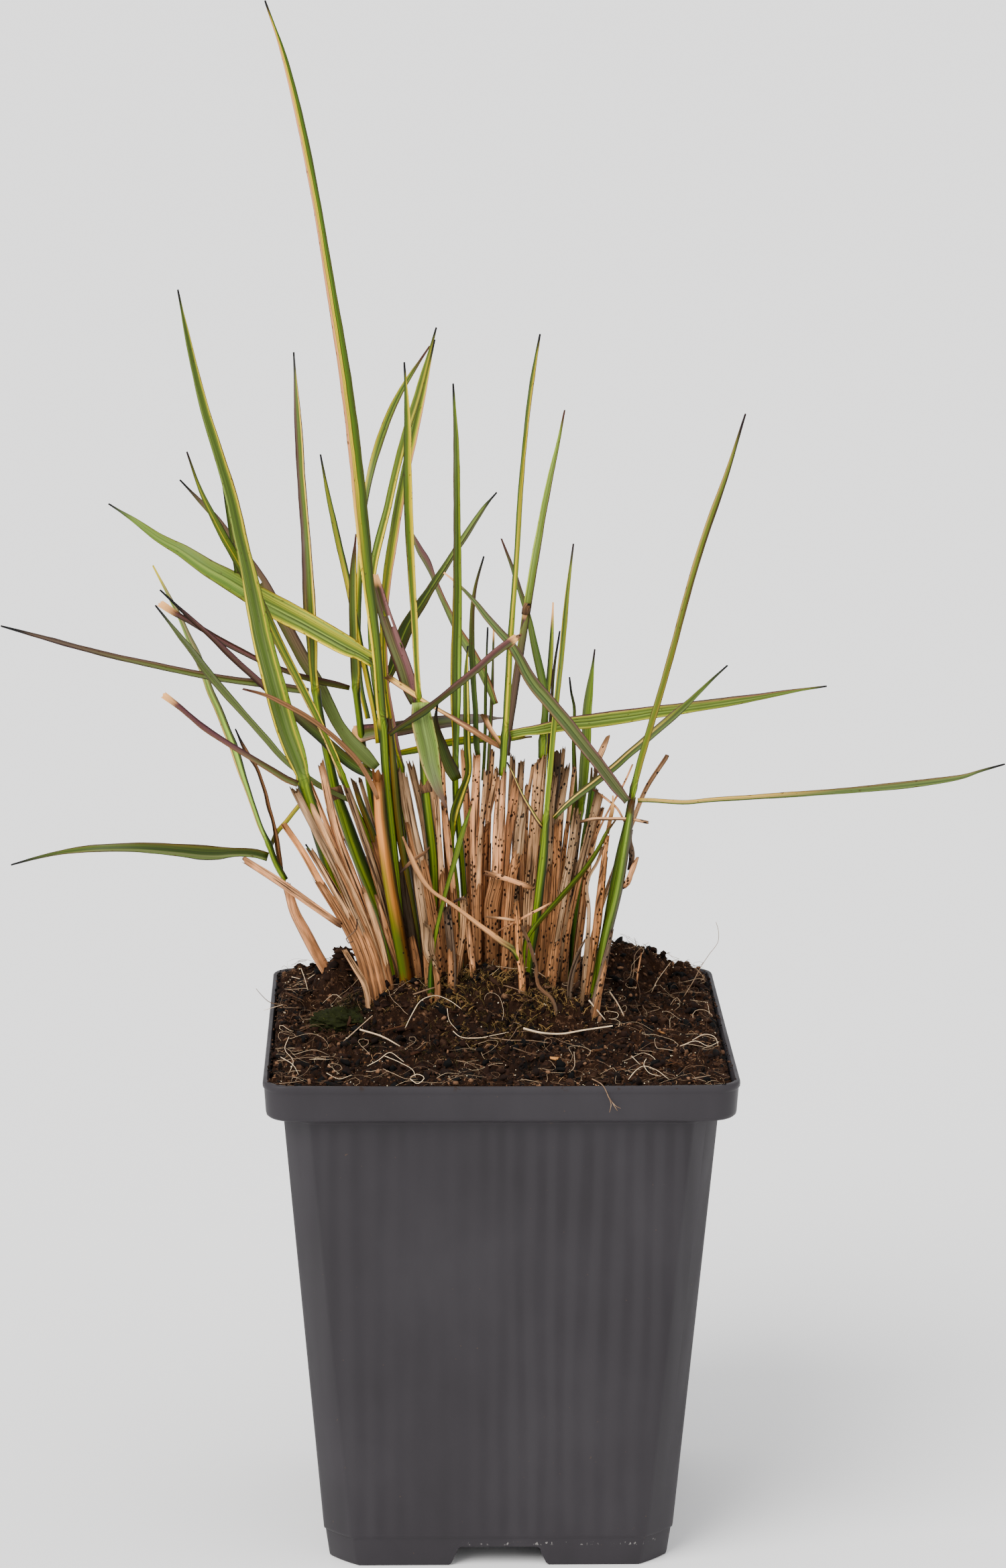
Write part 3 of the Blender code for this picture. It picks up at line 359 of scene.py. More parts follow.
def carried_frames(points):
    """Directions along a line, and two across it that turn with it as little as they can."""
    along = unit(np.gradient(points, axis=0))
    side = np.zeros_like(points)
    start = np.array((0.3, 0.9, 0.2))
    for i, way in enumerate(along):
        start = start - way * np.dot(start, way)
        size = np.linalg.norm(start)
        if size < 1e-6:
            start = np.cross(way, (0.0, 0.0, 1.0))
            size = max(np.linalg.norm(start), 1e-6)
        start = start / size
        side[i] = start
    return along, side, np.cross(along, side)


class Heap:
    """Many small shapes gathered into one mesh, each with its own shade and the run of its fibres."""

    def __init__(self):
        self.points = []
        self.faces = []
        self.shades = []
        self.runs = []
        self.count = 0

    def add(self, points, faces, shade, run=None):
        self.points.append(np.asarray(points, float))
        self.faces.extend(tuple(i + self.count for i in face) for face in faces)
        self.shades.append(np.full(len(points), shade))
        self.runs.append(np.zeros((len(points), 3)) if run is None else run)
        self.count += len(points)

    def tube(self, points, radii, sides, shade, flat=1.0):
        """A tapered tube along a line; flat below 1 presses it into a strip."""
        points = np.asarray(points, float)
        radii = np.asarray(radii, float)
        _, side, other = carried_frames(points)
        angles = circle(sides)
        skin = points[:, None, :] + round_about(side, other, angles, flat) * radii[:, None, None]
        at = lengths_of(points)
        run = np.stack([np.repeat(at, sides), np.repeat(at[-1] - at, sides),
                        np.repeat(radii, sides) * np.tile(angles, len(at))], axis=1)
        self.add(skin.reshape(-1, 3), ring_faces(len(points), sides), shade, run)

    def finish(self, name, material):
        run = np.concatenate(self.runs)
        rows = {"shade": np.concatenate(self.shades)}
        if np.any(run):
            rows.update({"along": run[:, 0], "left": run[:, 1], "spread": run[:, 2]})
        return make_mesh(name, np.concatenate(self.points), self.faces, material, True, rows)


class Shader:
    """A procedural material, with short names for the nodes it is made of."""

    def __init__(self, name, roughness=0.5, specular=0.5):
        self.material = bpy.data.materials.new(name)
        self.material.use_nodes = True
        self.nodes = self.material.node_tree.nodes
        self.links = self.material.node_tree.links
        self.surface = self.nodes["Principled BSDF"]
        self.surface.inputs["Roughness"].default_value = roughness
        self.surface.inputs["Specular IOR Level"].default_value = specular

    def node(self, kind, **settings):
        made = self.nodes.new("ShaderNode" + kind)
        for key, value in settings.items():
            setattr(made, key, value)
        return made

    def feed(self, socket, value):
        if isinstance(value, bpy.types.NodeSocket):
            self.links.new(value, socket)
        elif isinstance(value, tuple) and socket.type == "RGBA":
            socket.default_value = (*linear(value), 1.0)
        else:
            socket.default_value = value

    def attribute(self, name):
        return self.node("Attribute", attribute_name=name).outputs["Fac"]

    def place(self):
        """The piece's own coordinates, which are its place in the frame, in metres."""
        return self.node("TexCoord").outputs["Object"]

    def across_clump(self):
        """How far to the right a place is, in metres."""
        split = self.node("SeparateXYZ")
        self.feed(split.inputs[0], self.place())
        return split.outputs[0]

    def across(self):
        """Share of the way across a leaf, from its left edge to its right edge."""
        split = self.node("SeparateXYZ")
        self.links.new(self.node("UVMap", uv_map="UVMap").outputs[0], split.inputs[0])
        return split.outputs[0]

    def math(self, operation, a, b=0.0, clamp=False):
        made = self.node("Math", operation=operation, use_clamp=clamp)
        self.feed(made.inputs[0], a)
        self.feed(made.inputs[1], b)
        return made.outputs[0]

    def times(self, a, b):
        return self.math("MULTIPLY", a, b)

    def plus(self, a, b, clamp=False):
        return self.math("ADD", a, b, clamp)

    def minus(self, a, b):
        return self.math("SUBTRACT", a, b)

    def swing(self, value, size):
        """A share from 0 to 1 turned into a swing to both sides of 0."""
        return self.times(self.minus(value, 0.5), size)

    def span(self, value, low, high, to_low=0.0, to_high=1.0, smooth=True):
        """A value's place between low and high, as a number between to_low and to_high."""
        made = self.node("MapRange")
        made.interpolation_type = "SMOOTHSTEP" if smooth else "LINEAR"
        for socket, item in zip(made.inputs, (value, low, high, to_low, to_high)):
            self.feed(socket, item)
        return made.outputs[0]

    def vector(self, x, y, z=0.0):
        made = self.node("CombineXYZ")
        for socket, item in zip(made.inputs, (x, y, z)):
            self.feed(socket, item)
        return made.outputs[0]

    def scaled(self, vector, factors):
        made = self.node("VectorMath", operation="MULTIPLY")
        self.feed(made.inputs[0], vector)
        made.inputs[1].default_value = factors
        return made.outputs[0]

    def noise(self, vector, scale, detail=3.0, rough=0.55):
        made = self.node("TexNoise")
        self.feed(made.inputs["Vector"], vector)
        made.inputs["Scale"].default_value = scale
        made.inputs["Detail"].default_value = detail
        made.inputs["Roughness"].default_value = rough
        return made.outputs["Fac"]

    def strip_noise(self, across, along, shift, scale, detail, rough=0.55):
        """Noise on a leaf or straw, by the place on it; the shift makes each one's its own."""
        return self.noise(self.vector(across, along, shift), scale, detail, rough)

    def cells(self, vector, scale):
        made = self.node("TexVoronoi")
        self.feed(made.inputs["Vector"], vector)
        made.inputs["Scale"].default_value = scale
        return made.outputs["Distance"]

    def mix(self, share, a, b, blend="MIX"):
        made = self.node("Mix", data_type="RGBA", blend_type=blend)
        self.feed(made.inputs[0], share)
        self.feed(made.inputs[6], a)
        self.feed(made.inputs[7], b)
        return made.outputs[2]

    def lit(self, colour, light):
        """The colour made darker or paler by a light share."""
        tint = self.node("CombineColor")
        for socket in tint.inputs[:3]:
            self.feed(socket, light)
        return self.mix(1.0, colour, tint.outputs[0], "MULTIPLY")

    def ramp(self, share, stops):
        """Colours along a share: stops are (place, colour)."""
        made = self.node("ValToRGB")
        items = made.color_ramp.elements
        while len(items) < len(stops):
            items.new(0.5)
        for item, (place, colour) in zip(items, stops):
            item.position = place
            item.color = (*linear(colour), 1.0)
        self.feed(made.inputs[0], share)
        return made.outputs[0]

    def bump(self, height, strength, distance):
        made = self.node("Bump")
        made.inputs["Strength"].default_value = strength
        made.inputs["Distance"].default_value = distance
        self.feed(made.inputs["Height"], height)
        self.links.new(made.outputs[0], self.surface.inputs["Normal"])

    def colour(self, socket):
        self.feed(self.surface.inputs["Base Color"], socket)

    def rough(self, socket):
        self.feed(self.surface.inputs["Roughness"], socket)


def leaf_shader(name, low, high=None, tip=None, tip_length=8.0, base=None, base_length=20.0,
                sheath=None, blotch=None, blotch_amount=0.0, gloss=0.45, seed=0.0):
    """A leaf's colours across its width, low and high on it, with its tip, foot, veins and blotches."""
    shader = Shader(name, gloss, 0.16)
    across = shader.across()
    along = shader.attribute("along")
    left = shader.attribute("left")
    spread = shader.attribute("spread")
    veins = shader.strip_noise(shader.times(spread, 4.4), shader.times(along, 0.02), seed, 1.0, 2.0)
    mottle = shader.strip_noise(spread, shader.times(along, 0.12), seed + 4.0, 0.9, 4.0)
    drift = shader.strip_noise(shader.times(along, 0.07), seed + 2.0, 0.0, 1.0, 2.0)
    shift = shader.swing(drift, 0.16)
    shift = shader.plus(shift, shader.swing(mottle, 0.07))
    inner = shader.times(shader.span(across, 0.0, 0.18), shader.span(across, 1.0, 0.82))
    place = shader.plus(across, shader.times(shift, inner), clamp=True)
    colour = shader.ramp(place, low)
    if high:
        colour = shader.mix(shader.attribute("share"), colour, shader.ramp(place, high))
    if sheath:
        colour = shader.mix(shader.attribute("sheath"), colour, shader.ramp(place, sheath))
    if base:
        colour = shader.mix(shader.span(along, base_length, 0.0), colour, base)
    if blotch:
        spots = shader.strip_noise(spread, shader.times(along, 0.35), seed + 9.0, 1.1, 5.0, 0.6)
        colour = shader.mix(shader.span(spots, 0.72 - blotch_amount, 0.80 - blotch_amount), colour, blotch)
    rusty = shader.strip_noise(shader.times(spread, 1.6), shader.times(along, 0.5), seed + 6.0, 1.3, 3.0)
    margin = shader.math("MAXIMUM", shader.span(across, 0.20, 0.0), shader.span(across, 0.80, 1.0))
    spots = shader.span(shader.plus(rusty, shader.times(margin, 0.10)), 0.66, 0.72, 0.0, 0.75)
    colour = shader.mix(spots, colour, BROWN)
    light = shader.span(veins, 0.32, 0.68, 0.60, 1.30, smooth=False)
    colour = shader.lit(colour, light)
    if tip:
        worn = shader.plus(left, shader.swing(mottle, tip_length))
        colour = shader.mix(shader.span(worn, tip_length, tip_length * 0.2), colour, tip)
    shader.colour(colour)
    shader.rough(shader.span(mottle, 0.3, 0.7, gloss - 0.06, gloss + 0.12))
    shader.bump(veins, 0.7, 0.00008)
    return shader.material


def straw_shader(name, tone, seed, foot_length=14.0, own_shade=False):
    """Dead straw: pale fibres, dark specks, a browner foot darkened further by painted shade towards the
    soil, and a grey ragged top.
    """
    shader = Shader(name, 0.78, 0.10)
    along = shader.attribute("along")
    left = shader.attribute("left")
    spread = shader.attribute("spread")
    fibre = shader.strip_noise(shader.times(spread, 2.4), shader.times(along, 0.05), seed, 1.0, 4.0, 0.65)
    patch = shader.strip_noise(spread, shader.times(along, 0.10), seed + 3.0, 0.5, 3.0)
    stain = shader.strip_noise(spread, shader.times(along, 0.16), seed + 19.0, 0.8, 3.0)
    darker = tuple(c * k for c, k in zip(tone, (0.68, 0.62, 0.57)))
    paler = tuple(min(c * k, m) for c, k, m in zip(tone, (1.12, 1.16, 1.20), (0.96, 0.88, 0.78)))
    crack = tuple(c * k for c, k in zip(tone, (0.34, 0.27, 0.22)))
    shades = ((0.35, crack), (0.41, darker), (0.48, tone), (0.58, paler), (0.67, tone), (0.73, darker))
    colour = shader.ramp(fibre, shades)
    if own_shade:
        colour = shader.mix(shader.span(shader.attribute("shade"), 0.0, 1.0, 0.6, 0.0), colour, darker)
    colour = shader.mix(shader.span(patch, 0.50, 0.72, 0.0, 0.65), colour, (0.52, 0.42, 0.34))
    feet = shader.times(shader.span(along, foot_length, 2.0, 0.0, 1.0),
                        shader.span(patch, 0.60, 0.40, 0.0, 0.5))
    colour = shader.mix(feet, colour, STRAW_FOOT)
    colour = shader.lit(colour, shader.span(stain, 0.37, 0.62, 0.62, 1.17, smooth=False))
    # Painted shade: darker and browner low on the straw, where the clump crowds it, partly soil stain as
    # well.
    painted_low_shade = shader.times(shader.span(along, 1.6 * foot_length, 0.36 * foot_length, 0.0, 0.38),
                             shader.span(patch, 0.35, 0.6, 0.2, 1.0))
    colour = shader.mix(painted_low_shade, colour, (0.42, 0.31, 0.23))
    # Near black just above the soil: painted shade where the straw goes into the soil, together with soil
    # stain.
    foot_shade_and_soil_stain = shader.plus(shader.span(along, 5.0, 0.0, 0.0, 0.6), shader.swing(fibre, 0.8))
    colour = shader.mix(shader.span(foot_shade_and_soil_stain, 0.15, 0.6, 0.0, 0.8), colour, (0.22, 0.15, 0.10))
    colour = shader.mix(shader.span(left, 2.6, 0.0, 0.0, 0.65), colour, (0.38, 0.28, 0.20))
    dots = shader.cells(shader.vector(spread, shader.times(along, 0.7), seed + 7.0), 1.15)
    thick = shader.strip_noise(spread, along, seed + 11.0, 0.22, 2.0)
    size = shader.span(thick, 0.36, 0.58, 0.02, 0.34)
    size = shader.times(size, shader.span(shader.across_clump(), -0.024, -0.012, 0.25, 1.0))
    spot = shader.minus(size, dots)
    colour = shader.mix(shader.span(spot, -0.03, 0.03, 0.0, 0.95), colour, (0.12, 0.07, 0.05))
    shader.colour(colour)
    shader.bump(fibre, 0.9, 0.00016)
    return shader.material


def orange_sheath_shader():
    """The dying sheath at the clump's left front: tan and orange above, green on its left side lower down,
    with painted shade towards both of its sides.
    """
    shader = Shader("orange_sheath_skin", 0.6, 0.12)
    across = shader.across()
    along = shader.attribute("along")
    left = shader.attribute("left")
    spread = shader.attribute("spread")
    fibre = shader.strip_noise(shader.times(spread, 3.0), shader.times(along, 0.03), 2.0, 1.0, 3.0, 0.6)
    drift = shader.strip_noise(spread, shader.times(along, 0.09), 5.0, 0.8, 3.0)
    place = shader.plus(across, shader.swing(drift, 0.24), clamp=True)
    # Each ramp darkens towards both sides of the round sheath: painted shade where it turns away, over its
    # own tan, orange and green.
    above = shader.ramp(place, ((0.0, (0.62, 0.44, 0.26)), (0.12, (0.86, 0.69, 0.49)),
                                (0.35, (0.88, 0.73, 0.54)), (0.62, (0.76, 0.58, 0.38)),
                                (0.82, (0.52, 0.44, 0.26)), (1.0, (0.32, 0.27, 0.15))))
    middle = shader.ramp(place, ((0.0, (0.42, 0.40, 0.14)), (0.12, (0.68, 0.64, 0.30)),
                                 (0.28, (0.72, 0.62, 0.32)), (0.46, (0.80, 0.62, 0.38)),
                                 (0.70, (0.70, 0.51, 0.30)), (0.86, (0.46, 0.38, 0.20)),
                                 (1.0, (0.28, 0.23, 0.12))))
    below = shader.ramp(place, ((0.0, (0.28, 0.32, 0.05)), (0.15, (0.50, 0.56, 0.10)),
                                (0.45, (0.46, 0.52, 0.08)), (0.58, (0.52, 0.44, 0.12)),
                                (0.74, (0.58, 0.40, 0.16)), (0.90, (0.40, 0.27, 0.12)),
                                (1.0, (0.22, 0.15, 0.07))))
    colour = shader.mix(shader.span(along, 16.0, 28.0), below, middle)
    colour = shader.mix(shader.span(along, 31.0, 45.0), colour, above)
    foot = shader.plus(along, shader.swing(drift, 10.0))
    colour = shader.mix(shader.span(foot, 9.0, 3.0), colour, (0.66, 0.40, 0.17))
    colour = shader.lit(colour, shader.span(fibre, 0.32, 0.66, 0.72, 1.18, smooth=False))
    colour = shader.mix(shader.span(left, 2.2, 0.2, 0.0, 0.8), colour, (0.45, 0.30, 0.18))
    dots = shader.cells(shader.vector(spread, shader.times(along, 0.8), 7.0), 0.9)
    near = shader.times(shader.span(along, 26.0, 12.0, 0.05, 0.22),
                        shader.span(across, 0.35, 0.65, 0.3, 1.0))
    spot = shader.minus(near, dots)
    colour = shader.mix(shader.span(spot, -0.03, 0.03, 0.0, 0.9), colour, (0.18, 0.10, 0.05))
    shader.colour(colour)
    shader.bump(fibre, 0.8, 0.00012)
    return shader.material


def pot_shader():
    """Anthracite moulded plastic: faint flutes with paler bands painted on them as sheen, dust, scuffs and a
    line of pale specks over the notch.
    """
    shader = Shader("anthracite_plastic", 0.5, 0.12)
    place = shader.place()
    split = shader.node("SeparateXYZ")
    shader.feed(split.inputs[0], place)
    x, y, z = split.outputs
    side = shader.math("GREATER_THAN", shader.math("ABSOLUTE", x), shader.math("ABSOLUTE", y))
    across = shader.node("Mix", data_type="FLOAT")
    shader.feed(across.inputs[0], side)
    shader.feed(across.inputs[2], x)
    shader.feed(across.inputs[3], y)
    across = across.outputs[0]
    drift = shader.times(shader.noise(shader.scaled(place, (1.0, 1.0, 0.1)), 60.0, 2.0), 0.006)
    wave = shader.math("SINE", shader.times(shader.plus(across, drift), 2 * math.pi / FLUTE_PITCH))
    on_wall = shader.times(shader.span(z, 0.113, 0.110), shader.span(z, 0.006, 0.010))
    worn = shader.noise(shader.scaled(place, (1.0, 1.0, 0.2)), 22.0, 2.0)
    uneven = shader.span(worn, 0.38, 0.66, 0.1, 1.0)
    flutes = shader.times(shader.times(wave, on_wall), uneven)
    dust = shader.noise(shader.scaled(place, (1.0, 1.0, 0.3)), 90.0, 5.0, 0.6)
    grain = shader.noise(place, 2600.0, 2.0)
    cloud = shader.noise(place, 26.0, 3.0)
    mixed = shader.plus(shader.times(dust, 0.45), shader.times(cloud, 0.55))
    colour = shader.ramp(mixed, ((0.30, POT_DARK), (0.52, POT_TONE), (0.74, POT_PALE)))
    # Painted sheen: paler bands along the flutes.
    flute_sheen = shader.span(flutes, -1.0, 1.0, 0.0, 0.30)
    colour = shader.mix(flute_sheen, colour, POT_FLUTE_SHEEN)
    line = shader.times(shader.span(z, 0.0052, 0.0056), shader.span(z, 0.0063, 0.0059))
    line = shader.times(line, shader.span(across, -0.014, -0.008))
    dots = shader.span(shader.noise(shader.scaled(place, (1.0, 1.0, 0.6)), 1500.0, 2.0), 0.60, 0.66)
    gaps = shader.span(shader.noise(place, 70.0, 2.0), 0.40, 0.56)
    marks = shader.times(shader.times(line, dots), gaps)
    colour = shader.mix(shader.times(marks, 0.7), colour, (0.70, 0.69, 0.68))
    specks = shader.span(shader.noise(place, 800.0, 2.0), 0.755, 0.775, 0.0, 0.5)
    colour = shader.mix(specks, colour, (0.50, 0.42, 0.36))
    crumbs = shader.span(shader.noise(place, 520.0, 3.0, 0.6), 0.64, 0.68, 0.0, 0.7)
    near_rim = shader.span(z, 0.1205, 0.1222, 0.0, 1.0)
    colour = shader.mix(shader.times(crumbs, near_rim), colour, (0.30, 0.22, 0.17))
    shader.colour(colour)
    shader.rough(shader.span(dust, 0.3, 0.7, 0.42, 0.58))
    height = shader.plus(shader.times(flutes, 0.6), shader.times(grain, 0.12))
    shader.bump(height, 0.35, 0.00014)
    return shader.material


def soil_shader():
    """Moist peat: brown crumbs and pale fibres, with painted shade making the hollows near black and painted
    light paling the lumps.
    """
    shader = Shader("moist_peat", 0.9, 0.10)
    place = shader.place()
    crumbs = shader.noise(place, 560.0, 6.0, 0.70)
    patch = shader.noise(place, 90.0, 4.0, 0.6)
    fibre = shader.noise(shader.scaled(place, (1.0, 0.35, 1.0)), 1500.0, 3.0)
    grit = shader.cells(place, 900.0)
    # The colour follows the bump's lumps: the near-black hollows are partly painted shade, the pale tops
    # partly painted light.
    total = shader.plus(shader.times(crumbs, 0.68), shader.times(patch, 0.32))
    shades = ((0.40, PEAT_DARK_HOLLOW_SHADE), (0.48, PEAT_BROWN), (0.56, PEAT_BROWN), (0.64, PEAT_PALE_LUMP_LIGHT))
    colour = shader.ramp(total, shades)
    colour = shader.lit(colour, shader.span(shader.across_clump(), 0.0, 0.03, 1.0, 1.25))
    colour = shader.mix(shader.span(fibre, 0.62, 0.72, 0.0, 0.6), colour, (0.58, 0.45, 0.34))
    colour = shader.mix(shader.span(grit, 0.09, 0.05, 0.0, 0.45), colour, (0.74, 0.66, 0.55))
    shader.colour(colour)
    shader.rough(shader.span(patch, 0.3, 0.7, 0.82, 0.97))
    shader.bump(shader.plus(crumbs, shader.times(fibre, 0.4)), 1.0, 0.0008)
    return shader.material


def shaded_shader(name, stops, roughness=0.75, scale=700.0, depth=0.0002):
    """One material for a heap of small things, each with its own shade between the stops."""
    shader = Shader(name, roughness, 0.12)
    place = shader.place()
    grain = shader.noise(place, scale, 3.0, 0.6)
    own = shader.plus(shader.attribute("shade"), shader.swing(grain, 0.5), clamp=True)
    shader.colour(shader.ramp(own, stops))
    shader.bump(grain, 0.6, depth)
    return shader.material


def square_ring(half, corner, roundness, height):
    """A level square outline with its corners cut (roundness 0) or rounded (roundness 1)."""
    ring = []
    for quarter in range(4):
        turn = math.radians(90 * quarter)
        for step in range(SMOOTH_CORNER + 1):
            share = step / SMOOTH_CORNER
            angle = math.radians(90 * share)
            cut = (half - corner * share, half - corner * (1 - share))
            arc = (half - corner + corner * math.cos(angle), half - corner + corner * math.sin(angle))
            x = cut[0] + (arc[0] - cut[0]) * roundness
            y = cut[1] + (arc[1] - cut[1]) * roundness
            across = x * math.cos(turn) - y * math.sin(turn)
            along = x * math.sin(turn) + y * math.cos(turn)
            ring.append((across, along, height))
    return ring


def wall_half(height):
    share = (height - FOOT_STEP_HEIGHT) / (POT_HEIGHT - RIM_DEPTH - FOOT_STEP_HEIGHT)
    return WALL_STEP_HALF + (WALL_TOP_HALF - WALL_STEP_HALF) * share


def wall_cut(height):
    share = height / (POT_HEIGHT - RIM_DEPTH)
    return CUT_FOOT + (CUT_TOP - CUT_FOOT) * share


def pot_profile():
    """(half width, corner, roundness, height) up the outside, over the thin lip and down the inside."""
    ledge = POT_HEIGHT - RIM_DEPTH
    rim = RIM_WIDTH / 2
    floor = NOTCH_HEIGHT + WALL
    step_half = wall_half(FOOT_STEP_HEIGHT)
    side = rim - RIM_TAPER
    top = POT_HEIGHT
    return [
        (WALL_FOOT_HALF - 0.6, CUT_FOOT, WALL_ROUND, 0.0),
        (WALL_FOOT_HALF - 0.18, CUT_FOOT, WALL_ROUND, 0.15),
        (WALL_FOOT_HALF, CUT_FOOT, WALL_ROUND, 0.6),
        (step_half - FOOT_STEP - 0.05, CUT_FOOT, WALL_ROUND, FOOT_STEP_HEIGHT - FOOT_STEP - 0.3),
        (step_half - FOOT_STEP, CUT_FOOT, WALL_ROUND, FOOT_STEP_HEIGHT - FOOT_STEP),
        (step_half - 0.05, wall_cut(FOOT_STEP_HEIGHT), WALL_ROUND, FOOT_STEP_HEIGHT),
        (wall_half(FOOT_STEP_HEIGHT + 0.5), wall_cut(FOOT_STEP_HEIGHT), WALL_ROUND, FOOT_STEP_HEIGHT + 0.5),
        (WALL_TOP_HALF - 0.1, CUT_TOP, WALL_ROUND, ledge - SHOULDER_DROP - 0.6),
        (WALL_TOP_HALF + 0.15, CUT_TOP, WALL_ROUND, ledge - SHOULDER_DROP - 0.1),
        (WALL_TOP_HALF + 0.6, CUT_TOP, 0.35, ledge - SHOULDER_DROP + 0.15),
        (side - 1.6, RIM_CORNER, 0.9, ledge - 0.45),
        (side - 0.6, RIM_CORNER, 1.0, ledge - 0.05),
        (side - 0.15, RIM_CORNER, 1.0, ledge + 0.45),
        (side, RIM_CORNER, 1.0, ledge + SHOULDER_EDGE),
        (rim - LIP - 0.05, RIM_CORNER, 1.0, top - LIP_HEIGHT - 0.25),
        (rim - LIP, RIM_CORNER, 1.0, top - LIP_HEIGHT),
        (rim - 0.06, RIM_CORNER, 1.0, top - LIP_HEIGHT + 0.35),
        (rim, RIM_CORNER, 1.0, top - 0.9),
        (rim - 0.05, RIM_CORNER, 1.0, top - 0.35),
        (rim - 0.2, RIM_CORNER, 1.0, top - 0.1),
        (rim - 0.5, RIM_CORNER, 1.0, top),
        (rim - WALL + 0.2, RIM_CORNER, 1.0, top - 0.05),
        (rim - WALL, RIM_CORNER, 1.0, top - 0.3),
        (side - WALL, RIM_CORNER, 1.0, ledge + SHOULDER_EDGE + WALL),
        (WALL_TOP_HALF - WALL, CUT_TOP, WALL_ROUND, ledge - SHOULDER_DROP + WALL),
        (wall_half(floor) - WALL, wall_cut(floor), WALL_ROUND, floor),
    ]


def rim_sway(x, y, height):
    """The moulded rim is not quite straight: it bows a little between its corners."""
    lift = smoothstep(POT_HEIGHT - RIM_DEPTH, POT_HEIGHT, height)
    bow = math.cos(min(abs(x), abs(y)) / (RIM_WIDTH / 2) * math.pi / 2)
    return RIM_BOW * float(lift) * bow


def bar_along(quarter):
    """A bar with the notch's outline, running right under the pot."""
    top = NOTCH_HEIGHT
    right = [(NOTCH_FOOT / 2 + 1.6, -2.0), (NOTCH_FOOT / 2 + 1.6, 0.0), (NOTCH_FOOT / 2 + 0.55, 0.12),
             (NOTCH_FOOT / 2 - 0.2, 0.7), (NOTCH_TOP / 2 + 0.65, top - 1.5),
             (NOTCH_TOP / 2 + 0.4, top - 0.6),
             (NOTCH_TOP / 2 - 0.05, top - 0.15), (NOTCH_TOP / 2 - 0.7, top)]
    outline = right + [(-across, height) for across, height in reversed(right)]
    rings = []
    for end in (-RIM_WIDTH / 2, RIM_WIDTH / 2):
        for across, height in outline:
            rings.append((across, end, height) if quarter else (end, across, height))
    return rings, ring_faces(2, len(outline))


def block_in_foot(centre, inset, top, bottom):
    rings = []
    for height, taper in ((top, 0.0), (bottom, FOOT_BLOCK_TAPER)):
        half = FOOT_BLOCK_HALF - inset - taper
        rings.extend((centre[0] + x * half, centre[1] + y * half, height) for x, y in SQUARE_CORNERS)
    return rings, ring_faces(2, 4)


def drain_plug(centre):
    rings = []
    for height in (NOTCH_HEIGHT - 1.0, NOTCH_HEIGHT + WALL + 2.0):
        for i in range(DRAIN_HOLE_SIDES * 2):
            angle = math.pi * i / DRAIN_HOLE_SIDES
            reach = DRAIN_HOLE_WIDTH / 2
            rings.append((centre[0] + reach * math.cos(angle), centre[1] + reach * math.sin(angle), height))
    return rings, ring_faces(2, DRAIN_HOLE_SIDES * 2)


def cut_away(thing, cutters):
    """Cut the cutters out of a piece and leave its plain mesh."""
    tools = []
    for i, (points, faces) in enumerate(cutters):
        tool = make_mesh(f"cutter_{i}", points, faces, thing.data.materials[0], smooth=False)
        face_outwards(tool)
        modifier = thing.modifiers.new(tool.name, "BOOLEAN")
        modifier.operation = "DIFFERENCE"
        modifier.solver = "EXACT"
        modifier.object = tool
        tools.append(tool)
    ready = bpy.data.meshes.new_from_object(thing.evaluated_get(bpy.context.evaluated_depsgraph_get()))
    thing.modifiers.clear()
    thing.data = ready
    for tool in tools:
        bpy.data.objects.remove(tool, do_unlink=True)


def face_outwards(thing):
    shape = bmesh.new()
    shape.from_mesh(thing.data)
    bmesh.ops.recalc_face_normals(shape, faces=shape.faces)
    shape.to_mesh(thing.data)
    shape.free()


def build_pot():
    points = []
    profile = pot_profile()
    for half, corner, roundness, height in profile:
        for x, y, z in denser(square_ring(half, corner, roundness, height)):
            points.append((x, y, z - rim_sway(x, y, z)))
    count = len(points) // len(profile)
    pot = make_mesh("nursery_pot", points, ring_faces(len(profile), count), pot_shader())
    face_outwards(pot)
    feet = [(x * FOOT_CENTRE, y * FOOT_CENTRE) for x, y in SQUARE_CORNERS]
    cutters = [bar_along(0), bar_along(1)]
    cutters += [block_in_foot(foot, 0.0, NOTCH_HEIGHT + WALL + 2.0, WALL) for foot in feet]
    cutters += [drain_plug(centre) for centre in DRAIN_PLACES]
    cut_away(pot, cutters)
    pot.data.shade_smooth()
    pot.data.set_sharp_from_angle(angle=math.radians(SHARP_FROM))
    place(pot, "pot_plastic", ["pot"])


def denser(ring):
    """The same outline with more points along each long side."""
    per_corner = SMOOTH_CORNER + 1
    fine = []
    for i, (x, y, height) in enumerate(ring):
        fine.append((x, y, height))
        if i % per_corner == per_corner - 1:
            next_x, next_y, _ = ring[(i + 1) % len(ring)]
            for step in range(1, SIDE_STEPS):
                share = step / SIDE_STEPS
                fine.append((x + (next_x - x) * share, y + (next_y - y) * share, height))
    return fine


def crumbly(x, y):
    """Lumps and hollows of the soil's surface at a point, in millimetres."""
    big = noise.noise(Vector((x * 0.055, y * 0.055, 3.1)))
    middle = noise.noise(Vector((x * 0.19, y * 0.19, 8.4)))
    lumps = noise.turbulence(Vector((x * 0.34, y * 0.34, 1.7)), 6, True)
    clods = noise.turbulence(Vector((x * 0.9, y * 0.9, 5.5)), 3, True)
    return 1.3 * big + 1.5 * middle + 2.8 * (lumps - 0.55) + 1.3 * (clods - 0.5)


